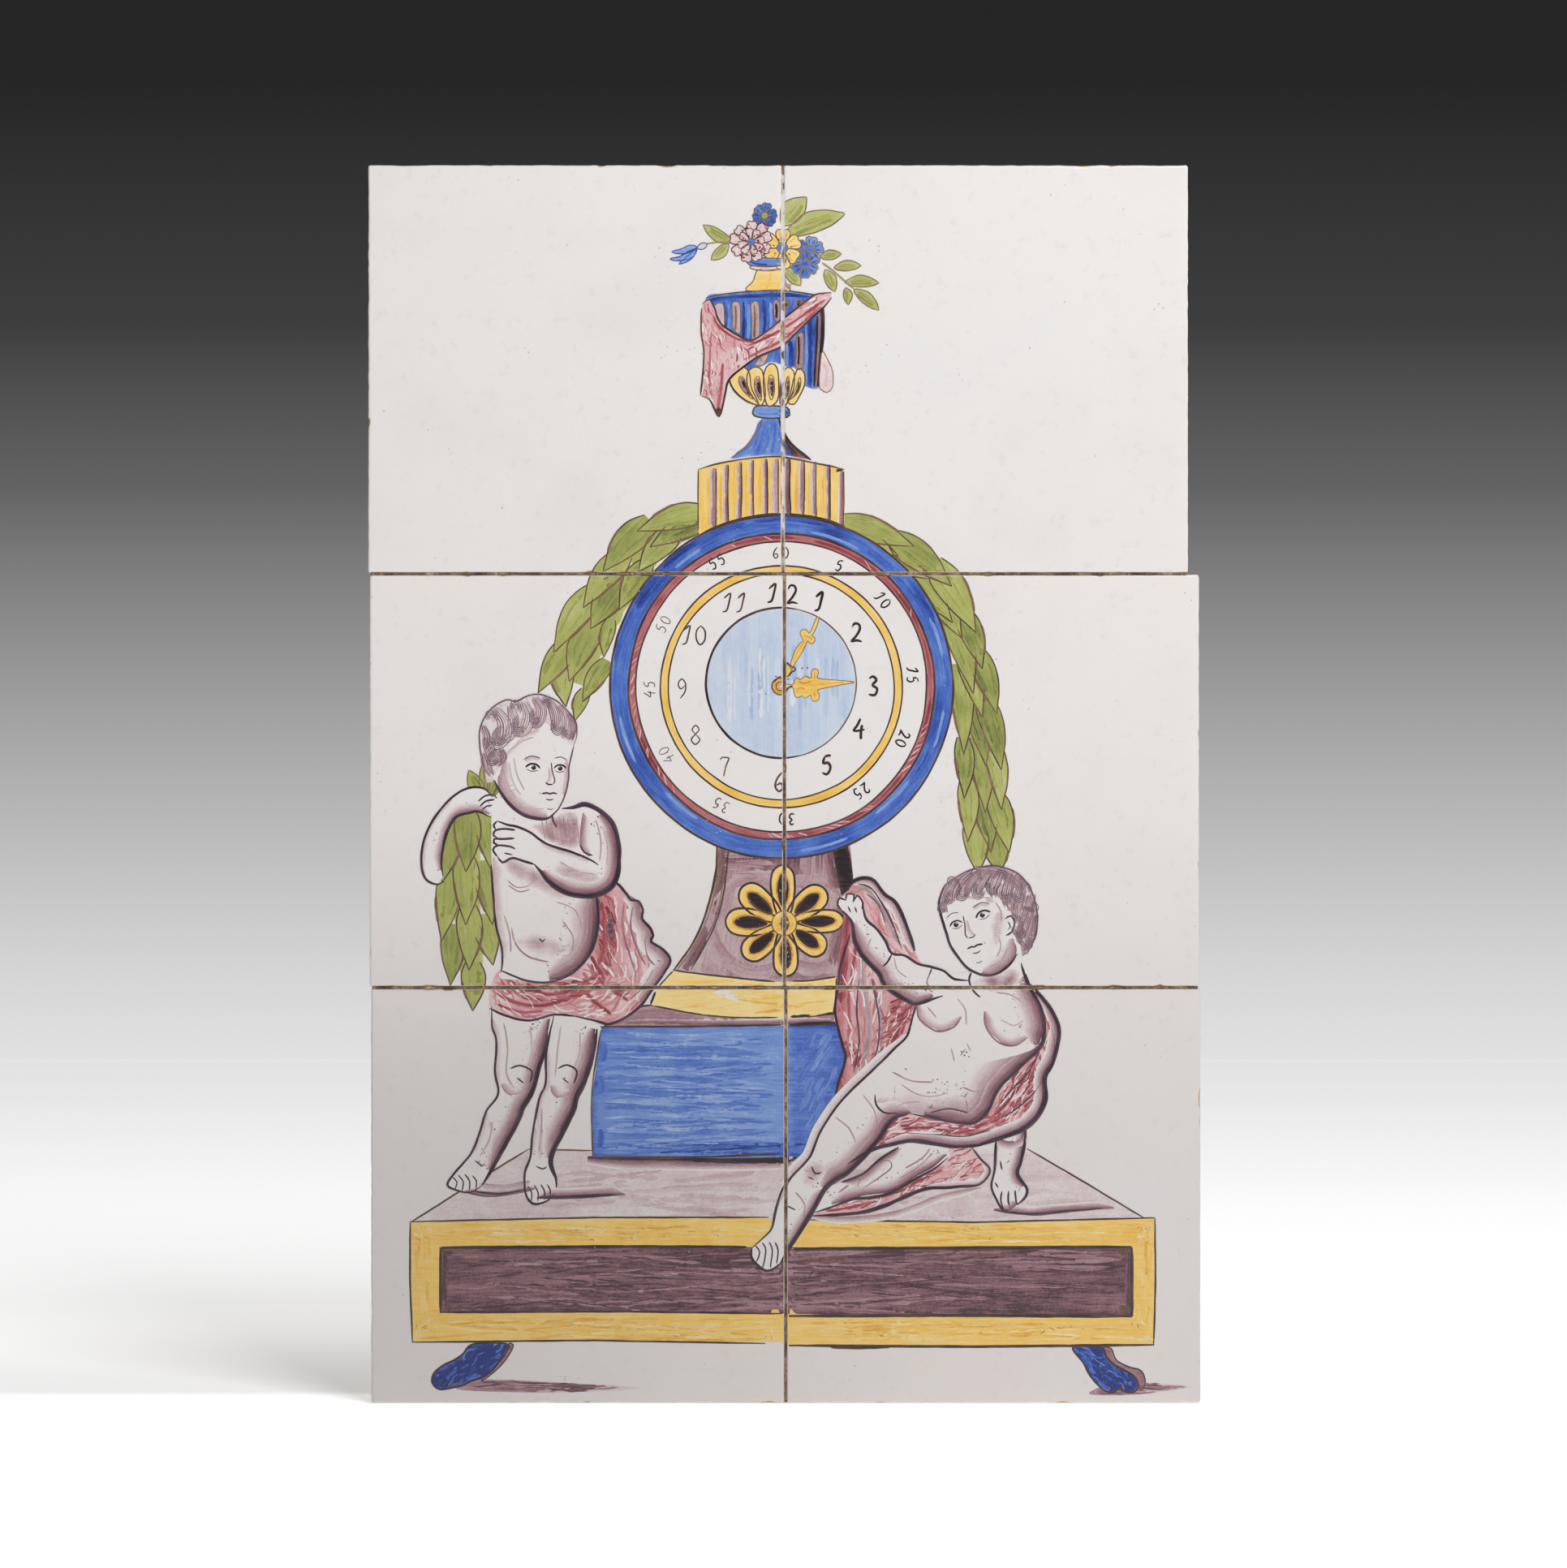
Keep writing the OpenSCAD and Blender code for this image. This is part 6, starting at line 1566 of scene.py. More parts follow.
def left_cloth():
    """Red cloth carried over the hips and hanging at the figure's back."""
    shape = patch("red", LEFT_CLOTH, 9, 0.34, 1.6, rim=1.0, mesh=2.2,
                  shade=lambda x, z: 1 + 0.9 * wander(x * 0.17, z * 0.09, 6)
                  + (1.1 * math.exp(-abs(x + 57.5) / 2.6) if z > 135 else 0))

    def down(x, z):
        return 100 - (x + 48) * 2.2 if z > 134 else 15 + (x + 62) * 2.4

    scribbles("red", shape, 9.5, 150, 7.0, 0.75, 0.62, down)
    near = smooth([(-59.4, 160), (-54.4, 160), (-52.6, 150), (-53.6, 138), (-60, 130), (-74, 126),
                   (-90, 128.6), (-90, 134), (-80, 132.4), (-68.4, 134), (-62.8, 138.6), (-59.8, 146)], True,
                  1.6)
    scribbles("red", near, 9.7, 130, 6.0, 0.9, 0.95, down)
    folds([([(-57.6, 158), (-56.8, 151), (-56.8, 144), (-58.4, 138)], 2.0, 1.0),
           ([(-61.4, 137.4), (-56, 131.4), (-49, 126.8)], 1.4, 0.95),
           ([(-66, 132.6), (-60, 126.8), (-54.4, 122.4)], 1.4, 0.95),
           ([(-89, 134.4), (-81, 130.6), (-73, 128.8), (-64, 131)], 1.2, 0.9),
           ([(-91, 129.4), (-84, 126.0), (-76, 125.4), (-69, 127.4)], 1.3, 0.95),
           ([(-90.6, 125.6), (-83, 123.2), (-76, 123.6)], 1.0, 0.9)], 9.8)
    scribbles("white", shape, 9.9, 60, 6.0, 0.42, 0.0, down)
    shadow([(-50, 160.6), (-46, 158), (-44.8, 153), (-42.2, 149.4), (-41.8, 145.6), (-38.4, 142.7),
            (-36.4, 139.5), (-38.4, 135.5), (-41.8, 130.6), (-45.4, 126)], -4.6, 10, 0.75, 4, 1.1, 0.4,
           step=1.2)
    form_lines([[(-47.6, 157), (-48.4, 150), (-46.2, 143), (-43.6, 138)],
                [(-44, 147), (-43.2, 141), (-40.4, 137.6)],
                [(-50.4, 158), (-51, 150), (-49, 142), (-46.4, 134)], [(-41, 137), (-44.6, 131), (-49, 127)]],
               10.2, 0.7, 0.6)
    patch("purple", [(-55.2, 154.6), (-53.8, 151), (-53.6, 146.4), (-55.0, 145.8), (-56, 150)], 10.1, 1.0,
          mesh=1.6)
    patch("purple", [(-56, 132), (-52.4, 129.4), (-49.2, 128.8), (-52.8, 132.6)], 10.1, 0.9, mesh=1.6)
    patch("purple", [(-72, 129.4), (-66, 130.2), (-61, 133.4), (-66, 132.6)], 10.1, 0.95, mesh=1.6)
    contour(part(LEFT_CLOTH, 1, 19), 0.85, 10.4, 0.9)
    contour([(-93.0, 124.4)] + part(LEFT_CLOTH, 22, 19), 0.75, 10.4, 0.9)
    contour(part(LEFT_CLOTH, 25, 30), 0.7, 12.2, 0.85)


def left_legs():
    left_leg = [(-92.2, 125), (-92.1, 119), (-90.7, 113.6), (-91.2, 104.6), (-90.2, 97.4), (-93.9, 92),
                (-96.1, 84.9), (-98.8, 78.6), (-103.3, 73.2), (-106.2, 68.9), (-103, 67), (-98.8, 66.5),
                (-95.2, 68.7), (-92.5, 73.2), (-88.1, 81.2), (-83.9, 89.2), (-82.4, 93.2), (-79.4, 98.3),
                (-77.4, 105.5), (-75.6, 110.9), (-73.4, 122.6), (-82, 121)]
    right_leg = [(-72.6, 122), (-75, 110.9), (-75.2, 101), (-77.3, 95.6), (-79.3, 84.9), (-80, 77.7),
                 (-81.8, 72.3), (-81.5, 66), (-79.1, 62.9), (-75, 63.6), (-72.4, 66), (-71.9, 70.5),
                 (-73.6, 76.8), (-70.2, 84.9), (-66.6, 92), (-65.4, 96.5), (-62.9, 101.9), (-60.4, 110),
                 (-59.0, 118), (-60.4, 121), (-66, 121.6)]
    body(left_leg, 8.4)
    body(right_leg, 8.6)
    inner_l = [(-73.8, 121)] + part(left_leg, 19, 13)
    inner_r = [(-59.6, 118)] + part(right_leg, 17, 12)
    for edge, reach in ((inner_l, -5.6), (inner_r, -6.2)):
        stipple(edge, reach, 9, 1.3, 0.95, 0.42, 1.25)
        shadow(edge, reach * 0.46, 9.2, 1.0, 4, 0.7, 0.4, base=0.34)
    for edge in ([(-92, 121), (-90.8, 113.6), (-91.2, 104.6), (-90.3, 98.4)],
                 [(-93.8, 92), (-96.1, 84.9), (-98.6, 78.6)], [(-74.8, 112)] + part(right_leg, 2, 5)):
        shadow(edge, 2.4, 9, 0.42, 3, 1.2, 0.3)
    form_lines([[(-88.4, 120), (-87.2, 112), (-87.6, 104), (-85, 99)],
                [(-80.2, 119), (-79.6, 111), (-81.4, 104)], [(-70.4, 119), (-71.6, 110), (-72.2, 103)],
                [(-64.4, 117), (-64.6, 110), (-66.8, 104.6)], [(-92, 89), (-93, 83), (-96, 77.6)],
                [(-76.4, 93), (-76.6, 86), (-77.4, 79)]], 9.5, 0.5, 0.55)
    for knee in ([(-89.6, 100.6), (-87.6, 97.6), (-84.4, 96.6), (-81.6, 98.4)],
                 [(-74.4, 100.2), (-72.6, 96.8), (-69.6, 95.8), (-66.6, 98.2)]):
        shadow(knee, 3.4, 9.1, 0.62, 4, 1.2, 0.2)
    for calf in ([(-93.2, 90), (-90.8, 84), (-92.2, 78)], [(-77.6, 90), (-75.8, 84), (-76.8, 77)]):
        shadow(calf, -2.2, 9.1, 0.34, 3, 1.2, 0.2)
    contour(part(left_leg, 0, 12), 0.7, 10)
    swelling(part(left_leg, 12, 19) + [(-74.6, 117)], 2.3, 10)
    contour(part(right_leg, 0, 10), 0.75, 10)
    swelling([(-71.9, 68)] + part(right_leg, 11, 18), 2.6, 10)
    for points, w in (([(-86.4, 105.4), (-83.4, 106.4), (-79.6, 104.6), (-80.2, 101.0)], 0.6),
                      ([(-84.4, 102.6), (-82.0, 100.8)], 0.5),
                      ([(-71.4, 105.4), (-68.4, 106.6), (-65.4, 104.6), (-66.4, 100.6)], 0.6),
                      ([(-70.0, 102.4), (-67.8, 100.8)], 0.5),
                      ([(-104.9, 71.6), (-103.2, 69.8), (-103.9, 67.2)], 0.5),
                      ([(-102.9, 72.0), (-101.2, 69.8), (-101.6, 66.9)], 0.5),
                      ([(-100.8, 72.2), (-99.2, 70.0), (-99.3, 66.9)], 0.5),
                      ([(-98.4, 71.8), (-97.0, 70.0), (-97.2, 67.4)], 0.5),
                      ([(-80.9, 68.4), (-79.6, 66.2), (-79.8, 63.4)], 0.5),
                      ([(-78.9, 68.8), (-77.6, 66.4), (-77.7, 63.6)], 0.5),
                      ([(-76.8, 69.0), (-75.6, 66.8), (-75.6, 63.9)], 0.5),
                      ([(-74.8, 69.0), (-73.8, 67.2), (-73.8, 64.8)], 0.5),
                      ([(-97.6, 76.6), (-95.2, 74.8), (-94.4, 75.6)], 0.5),
                      ([(-78.4, 74.8), (-76.2, 73.8), (-74.8, 74.6)], 0.5)):
        contour(points, w, 10, 0.85)


def left_trunk():
    trunk = [(-91.6, 190), (-92.3, 180), (-92.2, 169), (-91.7, 159.6), (-90.8, 150.3), (-89.0, 143.3),
             (-88.9, 138), (-89.6, 134), (-82, 133.4), (-75, 132.8), (-68.4, 134.8), (-63.4, 138.8),
             (-60.4, 144.4), (-58.8, 152.1), (-59.0, 160), (-56, 165), (-53, 172), (-53.4, 181.5),
             (-57.7, 186), (-62.6, 188.6), (-70, 189.4), (-78, 187), (-86, 190)]
    body(trunk, 11)
    side = [(-58.9, 161)] + part(LEFT_CLOTH, 31, 28) + [(-74, 133.2)]
    stipple(side, -11.0, 11.3, 0.9, 0.78, 0.42, 1.5)
    shadow(side, -3.8, 11.5, 1.0, 4, 0.8, 0.4, base=0.34)
    shadow([(-92.0, 172), (-91.6, 160), (-90.8, 150), (-88.8, 140)], 4.2, 11.3, 0.45, 4, 1.2, 0.3)
    soft([(-90, 187), (-84, 184), (-78, 183), (-73, 185), (-66, 187), (-64, 178), (-66, 174.4), (-74, 176.6),
          (-82, 183), (-88, 184)], 11.4, 0.46)
    soft([(-89, 174), (-80, 170), (-72, 166), (-66, 163.4), (-68, 158), (-78, 161), (-87, 166)], 11.4, 0.4)
    soft([(-87, 146), (-80, 141), (-70, 139.4), (-66, 143), (-72, 147), (-80, 149)], 11.35, 0.38)
    for k in range(9):
        x = -76.4 + k * 1.35
        form_lines([[(x, 185.4 - abs(k - 4) * 0.3), (x + 0.4, 181), (x + 1.2, 177.6 - k * 0.3)]], 11.6, 0.62,
                   0.45)
    form_lines([[(-87.4, 165), (-84.4, 162.6), (-80.4, 163.2), (-78.6, 165.4)],
                [(-87.2, 163.4), (-83.6, 161.2), (-80, 162)],
                [(-86, 150), (-84.6, 144.6), (-80.4, 140.6), (-74, 139)],
                [(-72, 158), (-66, 155.4), (-63.6, 149)], [(-70, 152), (-66.6, 147), (-67, 142)],
                [(-88.4, 154), (-86.6, 148), (-86.2, 142)]], 11.6, 0.6, 0.5)
    contour([(-92.4, 170)] + part(trunk, 3, 6) + [(-89.4, 135.6)], 0.7, 12)
    swelling([(-59.2, 162), (-58.7, 152.1), (-60.2, 144.4), (-62.8, 139.6), (-66.8, 136)], 1.7, 12)
    for points, w in (([(-77.2, 146.6), (-76.2, 145.4), (-75.2, 146.4)], 0.6),
                      ([(-73.4, 186.6), (-72.9, 183.6), (-71.6, 181.4)], 0.7)):
        contour(points, w, 12, 0.85)


def left_near_arm():
    """The arm laid across the chest."""
    arm = [(-92, 180.6), (-90.4, 183.4), (-87, 182.2), (-84.2, 181.7), (-80.1, 179.9), (-76.8, 177.4),
           (-73.4, 175.6), (-66.8, 173.6), (-64.4, 176), (-63.8, 181), (-62, 186), (-57.7, 186), (-54, 181.7),
           (-52.2, 174.8), (-52.6, 167), (-55.0, 162.4), (-60.6, 160.0), (-68.0, 160.7), (-73.6, 163.9),
           (-76.6, 167.4), (-78.9, 169.9), (-81.8, 170.7), (-85.8, 171.8), (-88.8, 170.4), (-91.4, 173.4)]
    body(arm, 12.4)
    outer = part(arm, 11, 19)
    stipple(outer, -5.4, 12.7, 1.2, 0.9, 0.42, 1.3)
    shadow(outer, -2.8, 12.9, 1.0, 4, 0.8, 0.4, base=0.36)
    shadow([(-63.6, 186), (-64.4, 180), (-64.0, 174.6), (-61.6, 171.6)], 3.0, 12.7, 0.75, 4, 1.1, 0.3)
    shadow([(-76.8, 177.2), (-71.9, 174.8), (-66, 173.2), (-61, 171.2)], -2.4, 12.7, 0.4, 3, 1.1, 0.3)
    soft([(-73, 167), (-66, 163.6), (-59, 163.6), (-58, 167), (-65, 169), (-71, 171)], 12.75, 0.36)
    form_lines([[(-57.4, 182), (-55.8, 176), (-56, 169)], [(-59.4, 184), (-57.8, 177), (-58.2, 170.6)],
                [(-71, 170.6), (-65, 167.6), (-59.4, 166.6)]], 12.95, 0.6, 0.5)
    contour(part(arm, 1, 7) + [(-61, 171.2), (-58.6, 169.6)], 0.8, 13.2)
    swelling([(-52.2, 178)] + part(arm, 13, 20), 2.6, 13.2)
    swelling([(-70.2, 187.4), (-66.8, 187.7), (-62.6, 188.7), (-57.7, 186.3), (-53.8, 181.8), (-52.1, 174.8),
              (-52.2, 169)], 2.2, 13.2)
    for points, w in ((part(arm, 20, 23) + [(-90.4, 172.2)], 0.8),
                      ([(-90.4, 172.2), (-91.8, 174.4), (-90.2, 175.8), (-86.4, 175.4), (-84.8, 174.6)], 0.7),
                      ([(-85.0, 178.0), (-88.4, 177.8), (-91.4, 177.8), (-91.6, 176.6), (-90.2, 175.9)], 0.7),
                      ([(-84.8, 180.6), (-88.4, 181.0), (-91.2, 180.4), (-91.6, 178.8), (-90.4, 178.2)], 0.7),
                      ([(-91, 180.8), (-91.6, 182.2), (-90.4, 183.4)], 0.7),
                      ([(-85.6, 172.8), (-88.4, 173.4)], 0.5),
                      ([(-64.4, 176), (-63.0, 173.6), (-60.4, 172.6)], 0.6)):
        contour(points, w, 13.2, 0.9)


def left_far_arm():
    """The arm behind the garland, which holds it."""
    far = [(-91.4, 190.6), (-94.6, 193.6), (-99.3, 193.9), (-104.6, 191.0), (-110.3, 184.4), (-113.5, 177.5),
           (-114.4, 170.2), (-113.0, 165.2), (-109.6, 163.5), (-107.6, 166), (-108.1, 171), (-107.2, 177.0),
           (-105.6, 181.6), (-103.4, 184.8), (-99.4, 186.0), (-96.4, 186.4), (-93, 185.0), (-90.6, 187)]
    body(far, 9.6)
    under = [(-108.1, 168), (-107.9, 173), (-106.8, 178.0), (-104.8, 183), (-102, 185.6), (-96.4, 186.5),
             (-93, 185.4)]
    stipple(under, 3.4, 10, 1.1, 0.75, 0.4)
    shadow(part(far, 3, 7), 1.8, 10, 0.4, 3, 1.1, 0.3)
    contour([(-92, 191)] + part(far, 1, 8) + [(-107.2, 164.4)], 0.75, 10.6)
    swelling(part(far, 9, 15) + [(-92.4, 184.6)], 1.3, 10.6)
    for points in ([(-91.4, 191.8), (-94.2, 191.4), (-96.4, 189.6)],
                   [(-91.2, 190.2), (-94.0, 189.8), (-96.0, 188.0)],
                   [(-91.2, 188.4), (-93.6, 188.2), (-95.4, 186.8)],
                   [(-91.4, 191.8), (-90.6, 190.6), (-91.2, 189), (-90.6, 187.4), (-92.2, 185.4)]):
        contour(points, 0.55, 10.6, 0.9)


def left_head():
    head = [(-94.6, 200), (-95.8, 206), (-96.0, 211.7), (-94.4, 216.2), (-91.5, 219.5), (-87.4, 221.7),
            (-84.6, 221.2), (-80.5, 223.0), (-76.6, 223.3), (-72, 221.4), (-69.1, 219.0), (-65.8, 214.8),
            (-65.4, 210.4), (-66.4, 207.2), (-67.2, 203.6), (-67.9, 200.4), (-68.0, 196.6), (-69.2, 191.4),
            (-71.4, 187.0), (-74.6, 184.3), (-78.6, 184.3), (-82.6, 185.6), (-86.6, 188.8), (-89.8, 193.2),
            (-91.4, 196.4), (-93.4, 196.6)]
    body(head, 13.4)
    curls([(-93.6, 195.4)] + part(head, 0, 13)
          + [(-68.6, 208.4), (-70.8, 210.6), (-73.4, 213.2), (-76.2, 214.6), (-78.8, 212.8), (-82.4, 211.4),
             (-85.6, 209.6), (-86.6, 206.4), (-88.2, 203.4), (-89.6, 200.6), (-91.2, 198.0), (-92, 195.8)],
          13.8, [([(-91.6, 219), (-88.4, 214.6), (-88.6, 209.4), (-91.6, 207.4), (-93.0, 209.4)], 4.4),
                 ([(-86.6, 220.6), (-85.4, 215.6), (-86.2, 210.8), (-89.2, 208.6)], 3.4),
                 ([(-82.8, 221.6), (-80.6, 217), (-81.6, 212.6), (-84.4, 211.4), (-85.4, 213.4)], 3.6),
                 ([(-79.4, 222.6), (-76.6, 218.8), (-77.4, 214.6), (-80.0, 213.0)], 3.2),
                 ([(-75.4, 222.4), (-72.6, 218.4), (-72.2, 213.8), (-74.0, 212.4)], 3.0),
                 ([(-71.6, 220.4), (-69.0, 216.4), (-69.2, 211.6), (-70.4, 209.8)], 3.0),
                 ([(-68.4, 217.4), (-66.6, 213.4), (-67.4, 208.6)], 2.0),
                 ([(-94.4, 210), (-92.4, 205), (-90.4, 202.4), (-91.8, 200.6)], 3.2),
                 ([(-94.8, 205), (-93.6, 200.6), (-92.0, 197.6)], 2.6),
                 ([(-95.2, 214), (-93.8, 210), (-94.4, 206)], 2.2),
                 ([(-90, 206.6), (-88.6, 203.6), (-90.4, 200.8)], 2.4)], 0.25)
    ringlets([((-83.6, 213.6), 2.9, 165), ((-78.4, 216.4), 2.3, 170), ((-71.6, 213.2), 2.4, 190),
              ((-68.0, 211.4), 1.9, 200), ((-89.6, 210.4), 2.9, 150), ((-91.4, 203.4), 2.4, 140),
              ((-75.0, 220.4), 1.9, 10), ((-84.6, 219.2), 2.0, 20), ((-92.2, 216.2), 2.0, 40)], 14.1, 0.55)
    contour([(-94.4, 197)] + part(head, 0, 13), 0.5, 14.4, 0.6)
    contour(part(head, 13, 19), 0.55, 14.4, 0.75)
    swelling([(-71.8, 186.4)] + part(head, 19, 24), 1.5, 14.4)
    shadow(part(head, 19, 23) + [(-90.2, 198), (-88.6, 203)], -5.6, 13.6, 0.7, 5, 1.2, 0.4)
    shadow([(-88.6, 203.4), (-86.4, 206.8), (-82, 210.8), (-77, 212.8)], -2.4, 13.6, 0.4, 3, 1.2, 0.3)
    shadow([(-68.2, 203), (-68.2, 196.6), (-69.4, 191.4)], -2.0, 13.6, 0.5, 3, 1.1, 0.3)
    form_lines([[(-88.6, 200), (-87.2, 195), (-84.6, 190.6)], [(-86.8, 202), (-85.6, 196), (-83, 191.4)],
                [(-85.2, 203.4), (-84.2, 198), (-81.8, 193)], [(-83, 188.4), (-79, 187.2), (-75.6, 187.4)],
                [(-86, 206), (-83, 208.4), (-79, 210)]], 14.0, 0.42, 0.45)
    face((-76.2, 201.0), 36.0, -2, False, 14.6)


def paint_left_putto():
    left_ground_shadows()
    left_cloth()
    left_legs()
    left_trunk()
    left_near_arm()
    left_far_arm()
    left_head()


RIGHT_HIP_CLOTH = [(77, 132.4), (81, 128), (84.4, 123.4), (86.6, 117.2), (84.9, 108.2), (82.1, 102.8),
                   (82.1, 95.6), (79.5, 90.2), (74.8, 86.2), (67, 83.2), (60.4, 81.2), (53.2, 80.9),
                   (46, 82.0), (39.8, 82.7), (34, 81.6), (27.6, 79.8), (29.6, 83.6), (33.5, 88.4),
                   (39.8, 91.3), (46, 90.0), (58.6, 88.2), (64, 92), (67.6, 99.2), (74.8, 106.5),
                   (80.4, 112.6), (81.8, 119), (80, 125)]


def right_ground_shadows():
    """Shadows on the base and under the figure."""
    shadow([(66, 61.0), (76, 59.4), (86, 60.2), (104, 61.4)], 2.6, 9, 0.95, 4, 0.8, 0.2, step=1.5)
    swelling([(66, 60.8), (78, 59.6), (90, 60.6), (100, 61.4)], 1.3, 9.4, 0.9)
    shadow([(8, 59.0), (22, 58.8), (36, 60.8), (50, 66.0), (62, 68.0)], -2.2, 8.2, 0.6, 4, 0.9, 0.2, step=1.5)


def right_flying_cloth():
    """Red cloth blown behind the raised arm, which hangs down to the leg."""
    fly = [(20.1, 161.6), (21.5, 164.2), (25.1, 165.5), (28.3, 164.6), (31.5, 160.4), (35.2, 157.5),
           (38.4, 150.7), (41.1, 142.5), (44, 136), (43, 130), (41, 125), (38.8, 115.9), (35, 111.6),
           (30.3, 107.1), (24, 101), (18, 95.4), (16.2, 92.4), (15.8, 96), (16.8, 100), (19.3, 108.5),
           (18.3, 113.2), (16, 123.2), (17.1, 132.4), (17.8, 137.9), (20.7, 147.9), (20.0, 154)]
    shape = patch("red", fly, 8.4, 0.34, 1.6, rim=1.0, mesh=2.2,
                  shade=lambda x, z: 1 + 0.9 * wander(x * 0.2, z * 0.08, 9)
                  + 1.7 * math.exp(-abs(x - 17.5) / 1.8))

    def hang(x, z):
        return 96 - (x - 22) * 1.6 if z < 140 else 120

    scribbles("red", shape, 8.8, 150, 8.0, 0.7, 0.6, hang)
    folds([([(20.2, 156), (19.4, 146), (18.2, 136), (17.8, 126)], 3.0, 1.0),
           ([(23.0, 146), (21.4, 136), (20.4, 126), (20.8, 114)], 1.2, 0.85),
           ([(38.6, 126), (36.4, 119), (34.6, 113.4)], 1.8, 0.95),
           ([(31, 112), (25, 105), (19, 98.4)], 1.4, 0.95),
           ([(40.4, 130), (38.6, 122), (36.8, 116)], 1.0, 0.9),
           ([(27.8, 134), (30.4, 124), (34.8, 114)], 0.9, 0.9)], 9.0)
    scribbles("red", smooth([(33, 127), (42, 128), (38.8, 116), (35, 112), (29, 107), (27, 112)], True, 1.4),
              9.1, 70, 4.6, 0.7, 0.95, 35)
    scribbles("red", smooth([(17.4, 112), (23.6, 104), (26.4, 106.4), (24, 112), (20, 116)], True, 1.4), 9.1,
              30, 4.0, 0.7, 0.9, 60)
    scribbles("white", shape, 9.2, 46, 7.0, 0.4, 0.0, hang)
    for points, w in (([(25.4, 146), (24.6, 134), (26.6, 122), (25.6, 110), (22.4, 101)], 2.2),
                      ([(29.6, 128), (30.8, 118), (29.6, 109)], 1.6),
                      ([(21.8, 160.4), (25.2, 162.2), (28.8, 158.8), (32.8, 151.6), (36.4, 144.6)], 1.6)):
        curve("purple", points, w, 9.05, 0.55, 0.15, wobble=0.3, step=1.2)
    swelling([(22.6, 163.8), (27.2, 162.4), (31, 157.2), (34.4, 150.4), (36.8, 143.6)], 0.9, 9.5, 0.85)
    swelling([(25.8, 160.6), (29.4, 157.4), (32, 151.4)], 0.7, 9.5, 0.75)
    shadow(part(fly, 1, 7), -2.6, 9.3, 0.75, 4, 1.0, 0.4, step=1.2)
    swelling([(31.4, 112.6), (26.4, 105.6), (19.4, 97.8)], 0.8, 9.5, 0.9)
    swelling([(27.4, 134), (29.8, 122), (29.4, 112), (27.2, 107)], 0.8, 9.5, 0.8)
    swelling([(23.6, 134), (22.8, 124), (23.6, 114), (21.8, 104)], 0.8, 9.5, 0.8)
    contour(part(fly, 0, 7), 1.2, 9.6, 0.95)
    contour(part(fly, 24, 18) + [(15.9, 94)], 0.9, 9.6, 0.95)
    contour([(41.4, 125), (38.8, 116), (35, 111.6)], 0.8, 9.6, 0.95)


def right_hip_cloth():
    """Red cloth over the hips and down behind."""
    shape = patch("red", RIGHT_HIP_CLOTH, 11.2, 0.36, 1.6, rim=1.0, mesh=2.2,
                  shade=mottle(0.9, 0.16, 0.16, 3))

    def wrap(x, z):
        return 78 if x > 78 and z > 100 else (50 if x > 64 and z > 88 else 8)

    scribbles("red", shape, 11.5, 210, 6.0, 0.8, 0.9, wrap)
    folds([([(80.6, 127), (83.4, 120), (83.6, 112), (80.4, 105), (79.6, 97)], 1.2, 0.95),
           ([(78.6, 108), (74.6, 101), (70.4, 95), (66, 90.4)], 1.3, 1.0),
           ([(80.6, 96), (76, 90.4), (68, 86.6), (59, 84.6)], 1.3, 1.0),
           ([(64, 88.6), (56, 85.4), (46, 86.8), (37, 86.4)], 1.2, 1.0),
           ([(36, 89.8), (32.4, 86), (30.4, 82.6)], 1.2, 1.0)], 11.6)
    scribbles("white", shape, 11.7, 60, 5.5, 0.4, 0.0, wrap)
    for points in ([(80.4, 111), (77, 104.6), (70.6, 97.6), (66.6, 92.6)],
                   [(83.2, 106), (79.6, 99), (74, 93.4), (68.4, 89.8)],
                   [(66, 87.4), (58, 84.2), (48, 84.6), (38, 85.2)], [(84, 119), (85.2, 112), (82.6, 106)]):
        swelling(points, 0.8, 11.9, 0.85)
    outer = part(RIGHT_HIP_CLOTH, 1, 13) + [(32, 81.2)]
    shadow(outer, -3.6, 11.8, 0.95, 4, 1.0, 0.4, step=1.2)
    swelling(part(RIGHT_HIP_CLOTH, 4, 10), 2.6, 12.2, 1.0)
    contour(part(RIGHT_HIP_CLOTH, 0, 5), 1.3, 12.2, 0.95)
    swelling([(64, 82)] + part(RIGHT_HIP_CLOTH, 10, 15) + [(20, 75.4)], 1.9, 12.2, 1.0)


